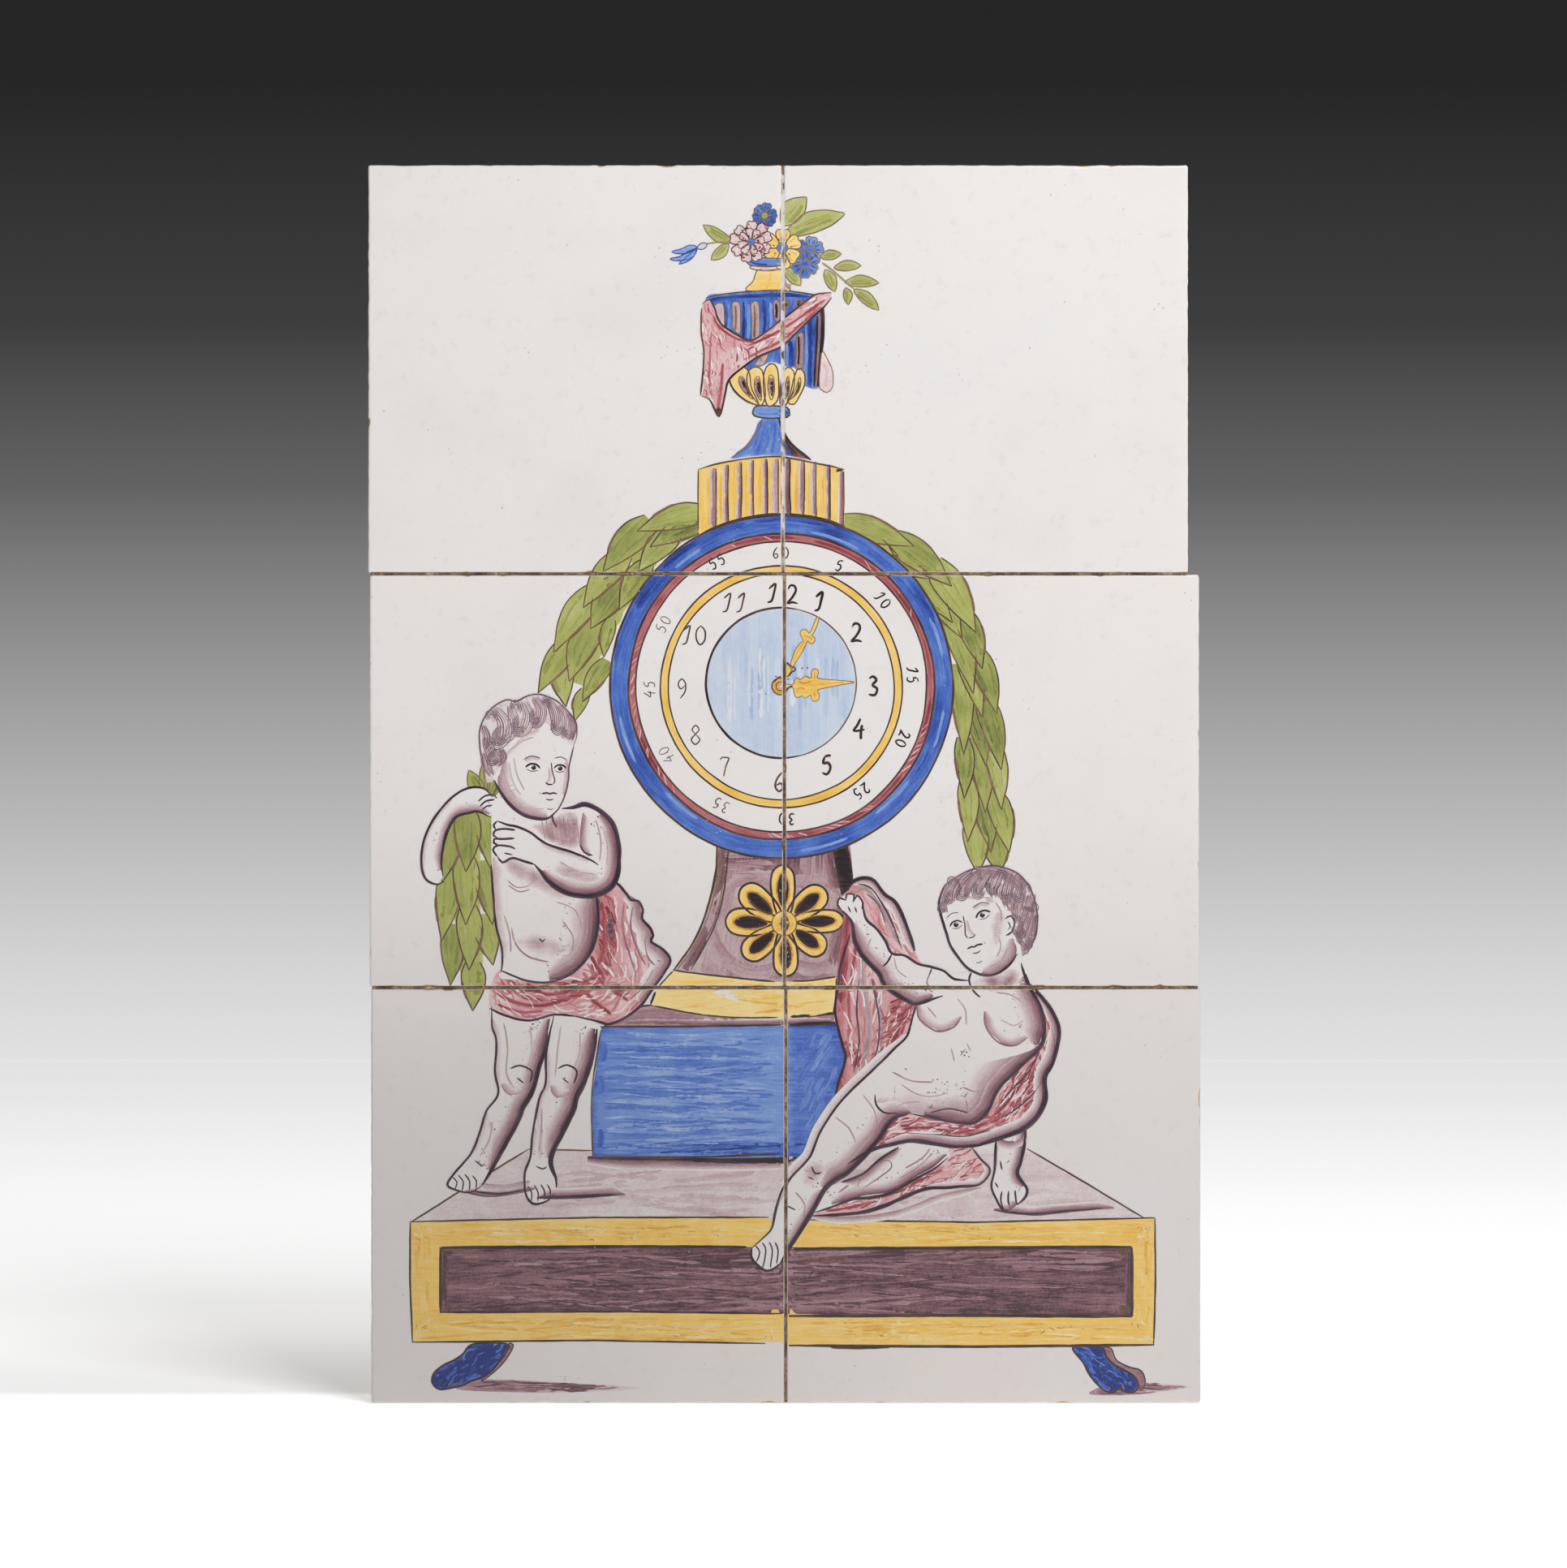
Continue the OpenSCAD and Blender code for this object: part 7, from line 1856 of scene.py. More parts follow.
def right_second_leg():
    """The leg laid under the first, with the cloth below it."""
    low_leg = [(19, 70.0), (25, 72.4), (30, 76.8), (36, 80.6), (40, 82.4), (47, 81.6), (52, 80.6), (52.4, 78),
               (49.6, 75), (45, 72.6), (39, 69.6), (33.7, 66.6), (27, 65), (21.4, 64.4), (14, 61.6),
               (9.7, 60.3), (8.4, 61.4), (12.6, 67.4)]
    body(low_leg, 9.6)
    lower = [(59.1, 80.6), (61.8, 77), (64.6, 74.2), (64.2, 71.6), (61.4, 68.9), (52, 68.0), (44.7, 67.6),
             (37, 64.6), (31, 62.0), (22.7, 59.9), (9, 59.6), (14.4, 61.8), (21.4, 64.5), (27, 65.0),
             (33.7, 66.6), (39, 69.6), (45, 72.8), (49.6, 75.2), (52.2, 78), (51.8, 80.6)]
    shape = patch("red", lower, 9.8, 0.30, 1.4, rim=1.0, mesh=2, shade=mottle(0.9, 0.2, 0.2, 13))
    scribbles("red", shape, 10.0, 90, 5.0, 0.7, 0.85, 28)
    scribbles("white", shape, 10.15, 24, 5.0, 0.4, 0.0, 28)
    folds([([(50, 73.6), (43, 70.4), (36, 66.8), (29, 64.6)], 1.2, 1.0),
           ([(30, 63.6), (21, 61.8), (13, 60.6)], 1.1, 0.95)], 10.1)
    shadow([(62.8, 76)] + part(lower, 2, 6), -2.0, 10.2, 0.6, 3, 1.0, 0.4)
    contour(part(lower, 0, 4) + [(56, 68)], 0.7, 10.6, 0.8)
    swelling(part(lower, 4, 9) + [(9, 59.0)], 1.7, 10.6, 1.0)
    swelling([(51.6, 77.4), (47.4, 74), (41.9, 71), (33.7, 66.4), (27, 64.8), (21.4, 64.3), (14, 61.5),
              (9.4, 60.1)], 1.3, 10.6, 1.0)
    contour([(18, 69.6), (25, 72.4), (30, 76.8), (36, 80.6)], 0.8, 10.6, 0.9)
    stipple([(51, 78), (47.0, 74.4), (41.5, 71.4), (33.7, 66.8), (24, 65.2), (15, 62.6)], -4.4, 10, 1.2, 0.9,
            0.4)
    stipple(part(low_leg, 3, 0), 3.6, 10, 1.1, 0.8, 0.4)
    form_lines([[(24.4, 67.4), (30, 71.2), (33.8, 74.4), (32.6, 76.6), (28.4, 74.6), (24, 70.4),
                 (22.8, 67.8)], [(36, 70.6), (42, 74.4), (47, 79)], [(38, 74), (43.4, 77.2), (46, 80.4)],
                [(17, 66.2), (20.6, 69)]], 10.3, 0.7, 0.55)


def right_supporting_arm():
    prop = [(66.8, 85), (66.5, 78), (66.3, 73.5), (65.3, 68.3), (66.8, 64.4), (68.9, 60.9), (70.6, 60.7),
            (73.3, 62.7), (75.4, 64.6), (76.3, 67.4), (74.8, 69.8), (73.5, 72.2), (74.6, 76.4), (75.5, 80.4),
            (76.2, 88)]
    body(prop, 10.2)
    stipple([(76, 87), (75.3, 80.4), (74.4, 76.4), (73.4, 72.4), (75.4, 68.4)], -3.8, 10.6, 1.3, 0.95, 0.4)
    shadow([(66.9, 84), (66.5, 78), (66.3, 73.5)], 1.6, 10.6, 0.4, 3, 1.1, 0.3)
    shadow([(66.4, 84.4), (71, 82.6), (76, 85)], -3.2, 10.7, 0.85, 4, 1.0, 0.5)
    contour(part(prop, 0, 6), 0.8, 11)
    swelling(part(prop, 14, 11) + [(76.5, 67.4), (75.5, 64.4), (73.3, 62.5)], 1.6, 11, 1.0)
    for points in ([(68.6, 66.8), (68.2, 63.8), (69.2, 60.9)], [(70.7, 67.0), (70.6, 63.6), (71.2, 61.2)],
                   [(72.7, 67.2), (72.9, 64.6), (73.2, 62.6)], [(66.4, 69.6), (67.4, 67.8)],
                   [(68, 76.4), (68.6, 73.4)]):
        contour(points, 0.6, 11, 0.95)
    shadow([(68.6, 61), (71, 60.8), (73.8, 63)], 2.4, 10.8, 0.9, 3, 0.9, 0.5, step=0.8)


def right_front_leg():
    leg = [(43.6, 126), (41.6, 124.6), (40.5, 121.6), (38.8, 115.9), (35.2, 112.2), (30.8, 107.8),
           (26, 103.2), (21.4, 98.9), (16.6, 93.6), (11.3, 85.5), (8.1, 77.8), (3.1, 72.2), (-0.6, 67.4),
           (-2.6, 61.2), (-4, 55), (-7.4, 51.4), (-10.2, 48.9), (-10.4, 46.4), (-9.1, 44.2), (-6, 41.8),
           (-3.4, 42.4), (-1.3, 44), (1.3, 48.6), (4.2, 53), (8.4, 59.8), (12.6, 67.2), (16.2, 70.6),
           (20, 72.8), (25, 77.8), (30, 83.6), (34.2, 89.4), (39.8, 91.3), (46, 90.0), (58.6, 88.2), (64, 92),
           (67.6, 99.2), (74.8, 106.5), (81, 112.6), (82, 118.7), (80.6, 124.1), (76.9, 129.8), (74, 131),
           (60, 127)]
    body(leg, 10.6)
    belly = [(80.8, 124)] + part(RIGHT_HIP_CLOTH, 25, 20) + [(50, 89.6), (44, 90.6)]
    thigh = part(leg, 31, 25)
    shin = part(leg, 25, 22)
    stipple(belly, -12.0, 11.2, 1.0, 0.85, 0.42, 1.5)
    shadow([(62, 91), (56, 89), (46, 90.4), (39.8, 91.6), (33, 91.6), (28.8, 95)], -8.6, 11.15, 0.42, 4, 1.1,
           0.5)
    shadow(belly, -4.4, 11.4, 1.0, 4, 0.9, 0.4, base=0.24)
    stipple(thigh, -7.4, 11.2, 1.2, 0.9, 0.42, 1.4)
    shadow(thigh, -3.0, 11.4, 1.0, 4, 0.8, 0.4, base=0.34)
    stipple(shin, -4.0, 11.2, 1.2, 0.85, 0.4)
    shadow([(38.8, 115.9), (30.8, 107.8)] + part(leg, 7, 11) + [(-2.2, 61)], -2.6, 11.2, 0.42, 4, 1.2, 0.3)
    soft([(6, 75), (11, 77), (14, 73), (10, 68.4), (5, 69)], 11.25, 0.45)
    form_lines([[(36.7, 100.6), (41.8, 97.4), (47, 96.7), (52.1, 98)],
                [(34, 104.4), (40, 101.6), (47, 101.2)], [(56, 99.6), (62, 98), (66, 101.6)],
                [(34.6, 92.8), (38, 94.6), (43, 95)], [(16, 90.2), (20.4, 86.6), (22.6, 82)],
                [(24.6, 97.4), (28.4, 92), (29.4, 86)], [(5.6, 73.6), (9.2, 72.6), (10.4, 69.8)],
                [(3.4, 66.6), (6.4, 62.6), (5.8, 58)], [(60.2, 93.6), (66.6, 101), (73, 108)],
                [(56.2, 92.2), (62.4, 99.4), (70.4, 108.4)]], 11.5, 0.55, 0.5)
    contour([(41.8, 125.4)] + part(leg, 2, 16), 0.75, 12)
    contour(part(leg, 16, 21), 0.8, 12)
    swelling(part(leg, 21, 30) + [(38.8, 91)], 2.3, 12, 1.0)
    swelling(part(leg, 31, 40), 1.6, 12, 0.95)
    swelling([(28.6, 97.4), (28.9, 94.2), (31.4, 91.6), (36, 91.4)], 0.9, 12, 0.95)
    for points, w in (([(-9.2, 49.8), (-7.8, 47.6), (-8.8, 44.4)], 0.5),
                      ([(-7.0, 50.6), (-5.8, 48.2), (-6.8, 42.6)], 0.5),
                      ([(-4.9, 50.8), (-3.8, 48.2), (-4.4, 42.6)], 0.5),
                      ([(-2.9, 50.8), (-2.0, 48.2), (-2.4, 43.8)], 0.5),
                      ([(38.0, 105.6), (38.6, 105.0)], 0.9), ([(8.6, 74.6), (9.8, 72.4), (11.8, 72.8)], 0.6),
                      ([(7.4, 71.4), (9.4, 70.4)], 0.5), ([(46, 91.6), (52, 92.8), (58, 91.4)], 0.5),
                      ([(0.4, 62.4), (3.6, 60.8)], 0.45)):
        contour(points, w, 12, 0.85)


def right_trunk():
    trunk = [(41.8, 125), (45.2, 127.8), (46.4, 133), (50.3, 136.2), (54, 135.4), (58.9, 136), (66, 138),
             (74.6, 139), (76.9, 135), (80.4, 126), (81.9, 119), (79, 112), (66, 108), (52, 106), (40, 114)]
    body(trunk, 12)
    stipple([(76.4, 135), (78.4, 130), (80.8, 124), (81.6, 118), (79.6, 112.6)], -8.0, 12.3, 1.1, 0.85, 0.42,
            1.4)
    shadow([(77.4, 132), (80.2, 125.6), (81.7, 118.7), (80.2, 113)], -3.2, 12.4, 1.0, 4, 0.8, 0.4, base=0.34)
    for edge, reach, load in (
            ([(41.8, 126.2), (42.6, 121), (48.2, 117.2), (53.4, 118.6), (55.9, 121.8)], 3.4, 0.6),
            ([(63, 123.6), (63.6, 118.5), (67.4, 113.8), (72.5, 112.7), (77, 115.4)], 3.6, 0.65)):
        shadow(edge, reach, 12.3, load, 4, 1.2, 0.2, step=0.9)
        curve("purple", edge, 0.55, 12.6, 0.85, 0.2, step=0.9)
    soft([(59, 131), (66, 129), (74, 131), (74, 137), (67, 136.6), (60, 134.6)], 12.3, 0.5)
    form_lines([[(54.4, 127.6), (57, 124), (57.4, 119)], [(57.4, 113.6), (58.8, 110.8)],
                [(55.4, 109.4), (57.2, 111.8)], [(45, 125), (48, 121.4)],
                [(66.6, 129.4), (71, 128.8), (75, 126.4)], [(68, 121), (72.4, 119), (75.6, 121)],
                [(52.6, 112), (53.6, 107.6)]], 12.6, 0.55, 0.5)
    dots("figure_line", [(69.4, 117.4), (56.8, 109.6), (57.4, 110.6), (58.2, 109.2), (55.8, 110.8)], 0.5,
         12.8, 0.8)
    swelling([(74.6, 138.8), (76.7, 132.4), (80.6, 125.2), (82.1, 118.7), (80.8, 113)], 1.6, 12.8, 1.0)
    for points, w in (([(58.9, 135.8), (58.2, 133.2), (59.6, 130.0), (61.8, 127.8)], 0.7),
                      ([(46.6, 137.2), (45.4, 134.4)], 0.5)):
        contour(points, w, 12.8, 0.85)


def right_raised_arm():
    arm = [(17.0, 156.8), (17.4, 159.0), (19.6, 160.2), (22.6, 159.8), (24.7, 157.6), (25.7, 152.7),
           (29.2, 149.4), (32, 145.4), (33.9, 141.7), (37.9, 141.1), (42, 138.5), (46.6, 137.4),
           (50.3, 136.2), (53.5, 133.7), (59, 133), (58, 128), (52, 126.4), (45.2, 127.8), (42, 125.9),
           (39.3, 126.6), (33.8, 129.8), (31.1, 132.6), (29.7, 135.6), (24.9, 140.6), (22.1, 146.1),
           (21.3, 151.4), (18.4, 155.2)]
    body(arm, 12.2)
    under = [(47, 128)] + part(arm, 18, 25)
    stipple(under, -5.4, 12.5, 1.2, 0.9, 0.4, 1.3)
    shadow(under, -2.2, 12.6, 0.95, 3, 0.8, 0.4, base=0.34)
    form_lines([[(34.6, 140.6), (35.6, 136.6), (38.8, 134)], [(46.4, 136.6), (45.0, 132.6), (46.4, 129.4)],
                [(27.4, 146.6), (26.2, 142.8), (29, 139.4)]], 12.8, 0.6, 0.5)
    contour([(58.4, 133.2)] + part(arm, 13, 4), 0.85, 13)
    swelling([(50, 128.4)] + part(arm, 18, 26), 2.0, 13, 1.0)
    for points in ([(18.3, 155.2), (16.8, 157.0), (17.4, 159.2), (19.4, 158.4)],
                   [(19.4, 158.4), (19.8, 160.4), (22, 160.2), (21.6, 157.8)],
                   [(21.8, 158), (23, 160.0), (24.8, 157.6), (24.4, 155.6)], [(20, 156.6), (21, 154.6)],
                   [(22.2, 156.4), (22.8, 154.6)], [(33.9, 141.6), (32.4, 138.8), (31.0, 137.6)]):
        contour(points, 0.6, 13, 0.9)


def right_head():
    head = [(49.2, 154.6), (48.8, 158.4), (50.6, 163), (54.8, 166.0), (58.9, 168.1), (64, 169.2),
            (68.5, 169.0), (74, 166.6), (77.7, 161.6), (79.6, 155.2), (79.0, 147.9), (76.3, 142.4),
            (73.4, 141.6), (71, 138.2), (67.4, 135.6), (64, 134.8), (61, 135.4), (57.6, 137.3), (54.2, 141.4),
            (52.2, 144.6), (51.2, 147.9), (50.4, 150.4)]
    body(head, 13.4)
    curls(part(head, 0, 9)
          + [(79.4, 148.9), (77.3, 143.4), (75.0, 141.6), (74.2, 145.4), (72.6, 148.4), (72.2, 152.6),
             (70.6, 154.8), (69.0, 157.6), (66.6, 160.2), (63.2, 161.4), (58.6, 161.4), (55, 160.4),
             (52.6, 158.6), (50.8, 155.4)], 13.8,
          [([(56, 166.4), (52.6, 163), (50.4, 158.4), (50.2, 154.6)], 2.6),
           ([(59, 167.6), (55.6, 164.4), (53.6, 160.6), (53.4, 158.2)], 2.6),
           ([(62.4, 168.4), (59.4, 165), (57.6, 161.8), (56.8, 159.6)], 2.6),
           ([(65.4, 168.6), (63, 165), (61.4, 162.2), (61.2, 160)], 2.8),
           ([(68.6, 168.4), (66.8, 164.6), (65.8, 161.8), (66.2, 159.2)], 3.0),
           ([(71.6, 167.2), (70.8, 163.2), (70.0, 159.4), (70.2, 156.2)], 3.4),
           ([(75, 164.6), (74.2, 160), (73.2, 156), (73.2, 151.8)], 3.6),
           ([(77.6, 160.4), (77.0, 155), (75.6, 150.6), (75.4, 146.2)], 3.4),
           ([(79.0, 154), (78.4, 149), (76.8, 145), (75.6, 142)], 2.4),
           ([(74.8, 152), (73.8, 148), (74.6, 144.4)], 1.8),
           ([(60, 168), (66, 167.6), (71.6, 165), (75.8, 160)], 2.4)], 0.75)
    contour(part(head, 0, 9) + [(79.4, 148.4), (77.4, 143.2), (75.0, 141.0)], 0.55, 14.4, 0.7)
    contour(part(head, 24, 12), 0.85, 14.4, 0.95)
    contour([(69.6, 152.6), (71.4, 153.6), (72.6, 151.4), (71.6, 148.4), (69.8, 147.4)], 0.6, 14.4, 0.9)
    contour([(70.4, 151.8), (71.3, 150.2), (70.4, 149.0)], 0.45, 14.4, 0.8)
    shadow([(62, 135.4), (65, 135.0), (68, 136.2), (71, 138.6), (73.2, 142.2), (72.4, 147)], 5.4, 13.6, 0.7,
           5, 1.2, 0.35, step=0.9)
    soft([(68.6, 156.4), (70, 152), (69, 146), (66, 143), (64.6, 148), (65.6, 154)], 13.6, 0.4)
    soft([(58, 160.6), (64, 160.4), (66.6, 157.4), (60, 158.2), (55, 158.4)], 13.6, 0.4)
    form_lines([[(66.4, 158), (68.2, 155), (68.4, 151.6)], [(64.4, 137.4), (68.4, 139.6), (70.4, 143.6)],
                [(67.6, 147), (68.2, 143.6), (66.8, 140.4)]], 14.0, 0.5, 0.45)
    ringlets([((56.2, 160.9), 2.3, 165), ((61.2, 161.8), 2.6, 170), ((52.2, 159.4), 2.0, 150),
              ((50.2, 156.4), 1.8, 130), ((65.4, 162.9), 2.4, 185), ((69.6, 160.4), 2.2, 200),
              ((73.4, 160.2), 2.2, 210), ((76.2, 162.0), 2.0, 20), ((77.6, 156.6), 2.2, 250),
              ((74.6, 153.6), 2.4, 230), ((73.8, 148.8), 2.2, 220), ((76.2, 145.2), 2.0, 230),
              ((60.4, 166.0), 2.0, 10), ((68.4, 166.2), 2.1, 0), ((53.4, 163.8), 2.0, 40)], 14.1, 0.6)
    face((59.4, 153.6), 38.0, 20, True, 14.6)


def paint_right_putto():
    right_ground_shadows()
    right_flying_cloth()
    right_hip_cloth()
    right_second_leg()
    right_supporting_arm()
    right_front_leg()
    right_trunk()
    right_raised_arm()
    right_head()


# Materials: the scale of a texture counts its features to the metre
class Nodes:
    """Builds one material's node tree."""

    def __init__(self, name):
        self.material = bpy.data.materials.new(name)
        self.material.use_nodes = True
        self.tree = self.material.node_tree
        self.shader = self.tree.nodes["Principled BSDF"]

    def make(self, kind, **values):
        node = self.tree.nodes.new(kind)
        for key, value in values.items():
            setattr(node, key, value)
        return node

    def put(self, socket, value):
        if isinstance(value, bpy.types.NodeSocket):
            self.tree.links.new(value, socket)
        else:
            socket.default_value = value

    def math(self, operation, a, b=0.0, c=0.0):
        node = self.make("ShaderNodeMath", operation=operation)
        for socket, value in zip(node.inputs, (a, b, c)):
            self.put(socket, value)
        return node.outputs[0]

    def times(self, a, b):
        return self.math("MULTIPLY", a, b)

    def minus(self, a, b):
        return self.math("SUBTRACT", a, b)

    def scaled(self, a, factor, lift):
        return self.math("MULTIPLY_ADD", a, factor, lift)

    def place(self):
        return self.make("ShaderNodeTexCoord").outputs["Object"]

    def axes(self, vector):
        node = self.make("ShaderNodeSeparateXYZ")
        self.put(node.inputs[0], vector)
        return node.outputs

    def attribute(self, name, vector=False):
        node = self.make("ShaderNodeAttribute", attribute_name=name)
        return node.outputs["Vector" if vector else "Fac"]

    def stretch(self, vector, scale):
        node = self.make("ShaderNodeMapping")
        self.put(node.inputs["Vector"], vector)
        node.inputs["Scale"].default_value = scale
        return node.outputs[0]

    def noise(self, vector, scale, detail=3.0, rough=0.55, distort=0.0):
        node = self.make("ShaderNodeTexNoise")
        self.put(node.inputs["Vector"], vector)
        node.inputs["Scale"].default_value = scale
        node.inputs["Detail"].default_value = detail
        node.inputs["Roughness"].default_value = rough
        node.inputs["Distortion"].default_value = distort
        return node.outputs["Fac"]

    def cells(self, vector, scale):
        node = self.make("ShaderNodeTexVoronoi")
        self.put(node.inputs["Vector"], vector)
        node.inputs["Scale"].default_value = scale
        return node.outputs["Distance"]

    def span(self, value, a, b, c=0.0, d=1.0):
        node = self.make("ShaderNodeMapRange", interpolation_type="SMOOTHSTEP")
        for socket, v in zip(node.inputs, (value, a, b, c, d)):
            self.put(socket, v)
        return node.outputs[0]

    def ramp(self, value, stops):
        """Each stop is a place and a tone: a hex code, or a number for a grey."""
        node = self.make("ShaderNodeValToRGB")
        self.put(node.inputs[0], value)
        elements = node.color_ramp.elements
        while len(elements) < len(stops):
            elements.new(0.5)
        for element, (at, tone) in zip(elements, stops):
            element.position = at
            element.color = linear(tone) if isinstance(tone, str) else (tone, tone, tone, 1.0)
        return node.outputs["Color"]

    def mix(self, factor, a, b, blend="MIX"):
        node = self.make("ShaderNodeMix", data_type="RGBA", blend_type=blend)
        self.put(node.inputs[0], factor)
        self.put(node.inputs[6], a)
        self.put(node.inputs[7], b)
        return node.outputs[2]

    def bump(self, height, strength, distance=0.0002):
        node = self.make("ShaderNodeBump")
        node.inputs["Strength"].default_value = strength
        node.inputs["Distance"].default_value = distance
        self.put(node.inputs["Height"], height)
        self.put(self.shader.inputs["Normal"], node.outputs[0])

    def finish(self, colour, rough, specular):
        self.put(self.shader.inputs["Base Color"], colour)
        self.put(self.shader.inputs["Roughness"], rough)
        self.shader.inputs["Specular IOR Level"].default_value = specular
        return self.material


def glaze_colour(n):
    """The tin glaze: warm white with faint clouds and pin specks, and painted shade that greys the lower tiles."""
    place = n.place()
    height = n.axes(place)
    # Painted shade: the glaze turns greyer towards the bottom, where the light falls off
    low = n.span(height["Z"], 0.05, 0.28, 0.0, 1.0)
    clouds = n.noise(place, 22.0, 4.0, 0.6)
    fine = n.noise(place, 260.0, 4.0, 0.65)
    base = n.mix(low, linear("E0DAD7"), linear("E7E3E0"))
    base = n.mix(n.span(clouds, 0.42, 0.75, 0.0, 0.22), base, linear("D8CDD0"))
    base = n.mix(n.span(clouds, 0.56, 0.25, 0.0, 0.20), base, linear("DCDFE6"))
    base = n.mix(n.span(fine, 0.55, 0.80, 0.0, 0.22), base, linear("BDB2B4"))
    specks = n.cells(place, 420.0)
    rare = n.noise(place, 65.0, 2.0)
    dot = n.times(n.span(specks, 0.16, 0.06), n.span(rare, 0.60, 0.68))
    return n.mix(n.times(dot, 0.5), base, linear("6E6068"))


def painted_falloff(n, colour):
    """Painted shade: the lower tiles darker, the left one most, as the light falls off there."""
    place = n.axes(n.place())
    low = n.span(place["Z"], 0.21, 0.06)
    side = n.span(place["X"], 0.09, -0.09, 0.11, 0.25)
    painted_dim = n.minus(1.0, n.times(low, side))
    return n.mix(1.0, colour, painted_dim, "MULTIPLY")


def glaze_relief(n, place):
    """Height of the glaze's ripple, and where its pits lie."""
    ripple = n.noise(place, 170.0, 3.0, 0.5)
    pits = n.times(n.span(n.cells(place, 330.0), 0.14, 0.03), n.span(n.noise(place, 40.0, 2.0), 0.55, 0.68))
    return ripple, pits


# Each pigment from its thinnest wash to its full load
RAMPS = {
    "blue": [(0.20, "BCCAE2"), (0.46, "7998D1"), (0.72, "4A6BBD"), (0.88, "3350A2"), (1.0, "22337A")],
    "pale_blue": [(0.15, "D6DAE2"), (0.40, "C2CDDE"), (0.62, "A6B9D8"), (0.9, "7F99CE")],
    "yellow": [(0.12, "E6DDCB"), (0.34, "F0D99C"), (0.58, "ECC05E"), (0.8, "D69C42"), (1.0, "A0743C")],
    "green": [(0.20, "CFD0AC"), (0.5, "ADB064"), (0.75, "8D934F"), (1.0, "5F5F38")],
    "red": [(0.12, "E3D2D2"), (0.34, "D6A6A8"), (0.6, "C07C80"), (0.85, "A34E56"), (1.0, "7E3540")],
    "purple": [(0.12, "DDD2D2"), (0.34, "C6B0B2"), (0.6, "A17C83"), (0.85, "7C5760"), (1.0, "4C333C")],
    "clock_line": [(0.2, "B09C86"), (0.46, "82674C"), (0.72, "54403A"), (0.9, "33262B"), (1.0, "241A1F")],
    "figure_line": [(0.2, "A996A0"), (0.5, "745C68"), (0.8, "463440"), (1.0, "281C24")],
}


def pigment_material(name):
    """Enamel whose tone follows the brush's load; where it is thin or worn, the glaze shows."""
    n = Nodes("enamel_" + name)
    ground = glaze_colour(n)
    place = n.place()
    load = n.attribute("load")
    brush = n.attribute("brush", True)
    streaks = n.noise(n.stretch(brush, (0.10, 1.5, 1.0)), 1.0, 4.0, 0.62)
    patches = n.noise(place, 120.0, 4.0, 0.6)
    grain = n.noise(place, 1900.0 if name == "purple" else 1100.0, 3.0, 0.7)
    density = n.times(load, n.scaled(streaks, 0.75, 0.62))
    density = n.math("ADD", density, n.times(n.minus(patches, 0.5), 0.26))
    density = n.math("ADD", density, n.times(n.minus(grain, 0.5), 0.5 if name == "purple" else 0.26))
    colour = n.ramp(density, RAMPS[name])
    cover = n.span(density, 0.03, 0.20)
    worn = n.times(n.span(n.cells(place, 520.0), 0.13, 0.05), n.span(n.noise(place, 90.0, 2.0), 0.58, 0.66))
    cover = n.times(cover, n.minus(1.0, n.times(worn, 0.8)))
    ripple, pits = glaze_relief(n, n.place())
    n.bump(n.minus(n.times(ripple, 0.5), pits), 0.25, 0.00018)
    rough = n.scaled(grain, 0.16, 0.20)
    # The enamel also gets the painted shade that darkens the lower tiles
    return n.finish(painted_falloff(n, n.mix(cover, ground, colour)), rough, 0.4)


def glaze_material():
    """Glaze on the face; bare clay where the clay attribute says so."""
    n = Nodes("tin_glaze")
    ground = glaze_colour(n)
    clay = n.attribute("clay")
    place = n.place()
    body_noise = n.noise(place, 90.0, 6.0, 0.7)
    coarse = n.noise(place, 700.0, 3.0, 0.7)
    clay_colour = n.ramp(n.scaled(coarse, 0.5, n.times(body_noise, 0.5)),
                         [(0.25, "8E6F4E"), (0.42, "B6946C"), (0.58, "C9AE88"), (0.78, "DBC8A6")])
    edge = n.math("ADD", clay, n.times(n.minus(n.noise(place, 500.0, 3.0), 0.5), 0.5))
    bare = n.span(edge, 0.42, 0.58)
    colour = n.mix(bare, ground, clay_colour)
    rough = n.scaled(bare, 0.62, 0.24)
    ripple, pits = glaze_relief(n, place)
    grit = n.times(n.noise(place, 900.0, 5.0, 0.7), bare)
    height = n.minus(n.scaled(ripple, 0.5, n.times(grit, 1.5)), pits)
    n.bump(height, 0.3, 0.0002)
    # The glaze gets the painted shade that darkens the lower tiles
    return n.finish(painted_falloff(n, colour), rough, 0.4)


def joint_material():
    """Brown sandy filling, with painted highlights as white spots near the top of the upright joint."""
    n = Nodes("joint_filling")
    place = n.place()
    coarse = n.noise(place, 130.0, 5.0, 0.7)
    sand = n.noise(place, 1500.0, 3.0, 0.7)
    colour = n.ramp(n.scaled(sand, 0.35, n.times(coarse, 0.65)),
                    [(0.34, "35271D"), (0.45, "5C4836"), (0.54, "8A725A"), (0.63, "BBA58A"),
                     (0.76, "E6DCCC")])
    # Painted highlight: pale spots for gloss catching the light on the upper part of the upright joint
    where = n.axes(place)
    top = n.times(n.span(where["Z"], 0.262, 0.268), n.span(n.math("ABSOLUTE", where["X"]), 0.0022, 0.0016))
    spots = n.span(n.noise(n.stretch(place, (1.0, 1.0, 0.5)), 260.0, 3.0, 0.6), 0.40, 0.52)
    colour = n.mix(n.times(n.times(top, spots), 0.85), colour, linear("E9E4DD"))
    n.bump(sand, 0.6, 0.0003)
    return n.finish(colour, 0.85, 0.2)


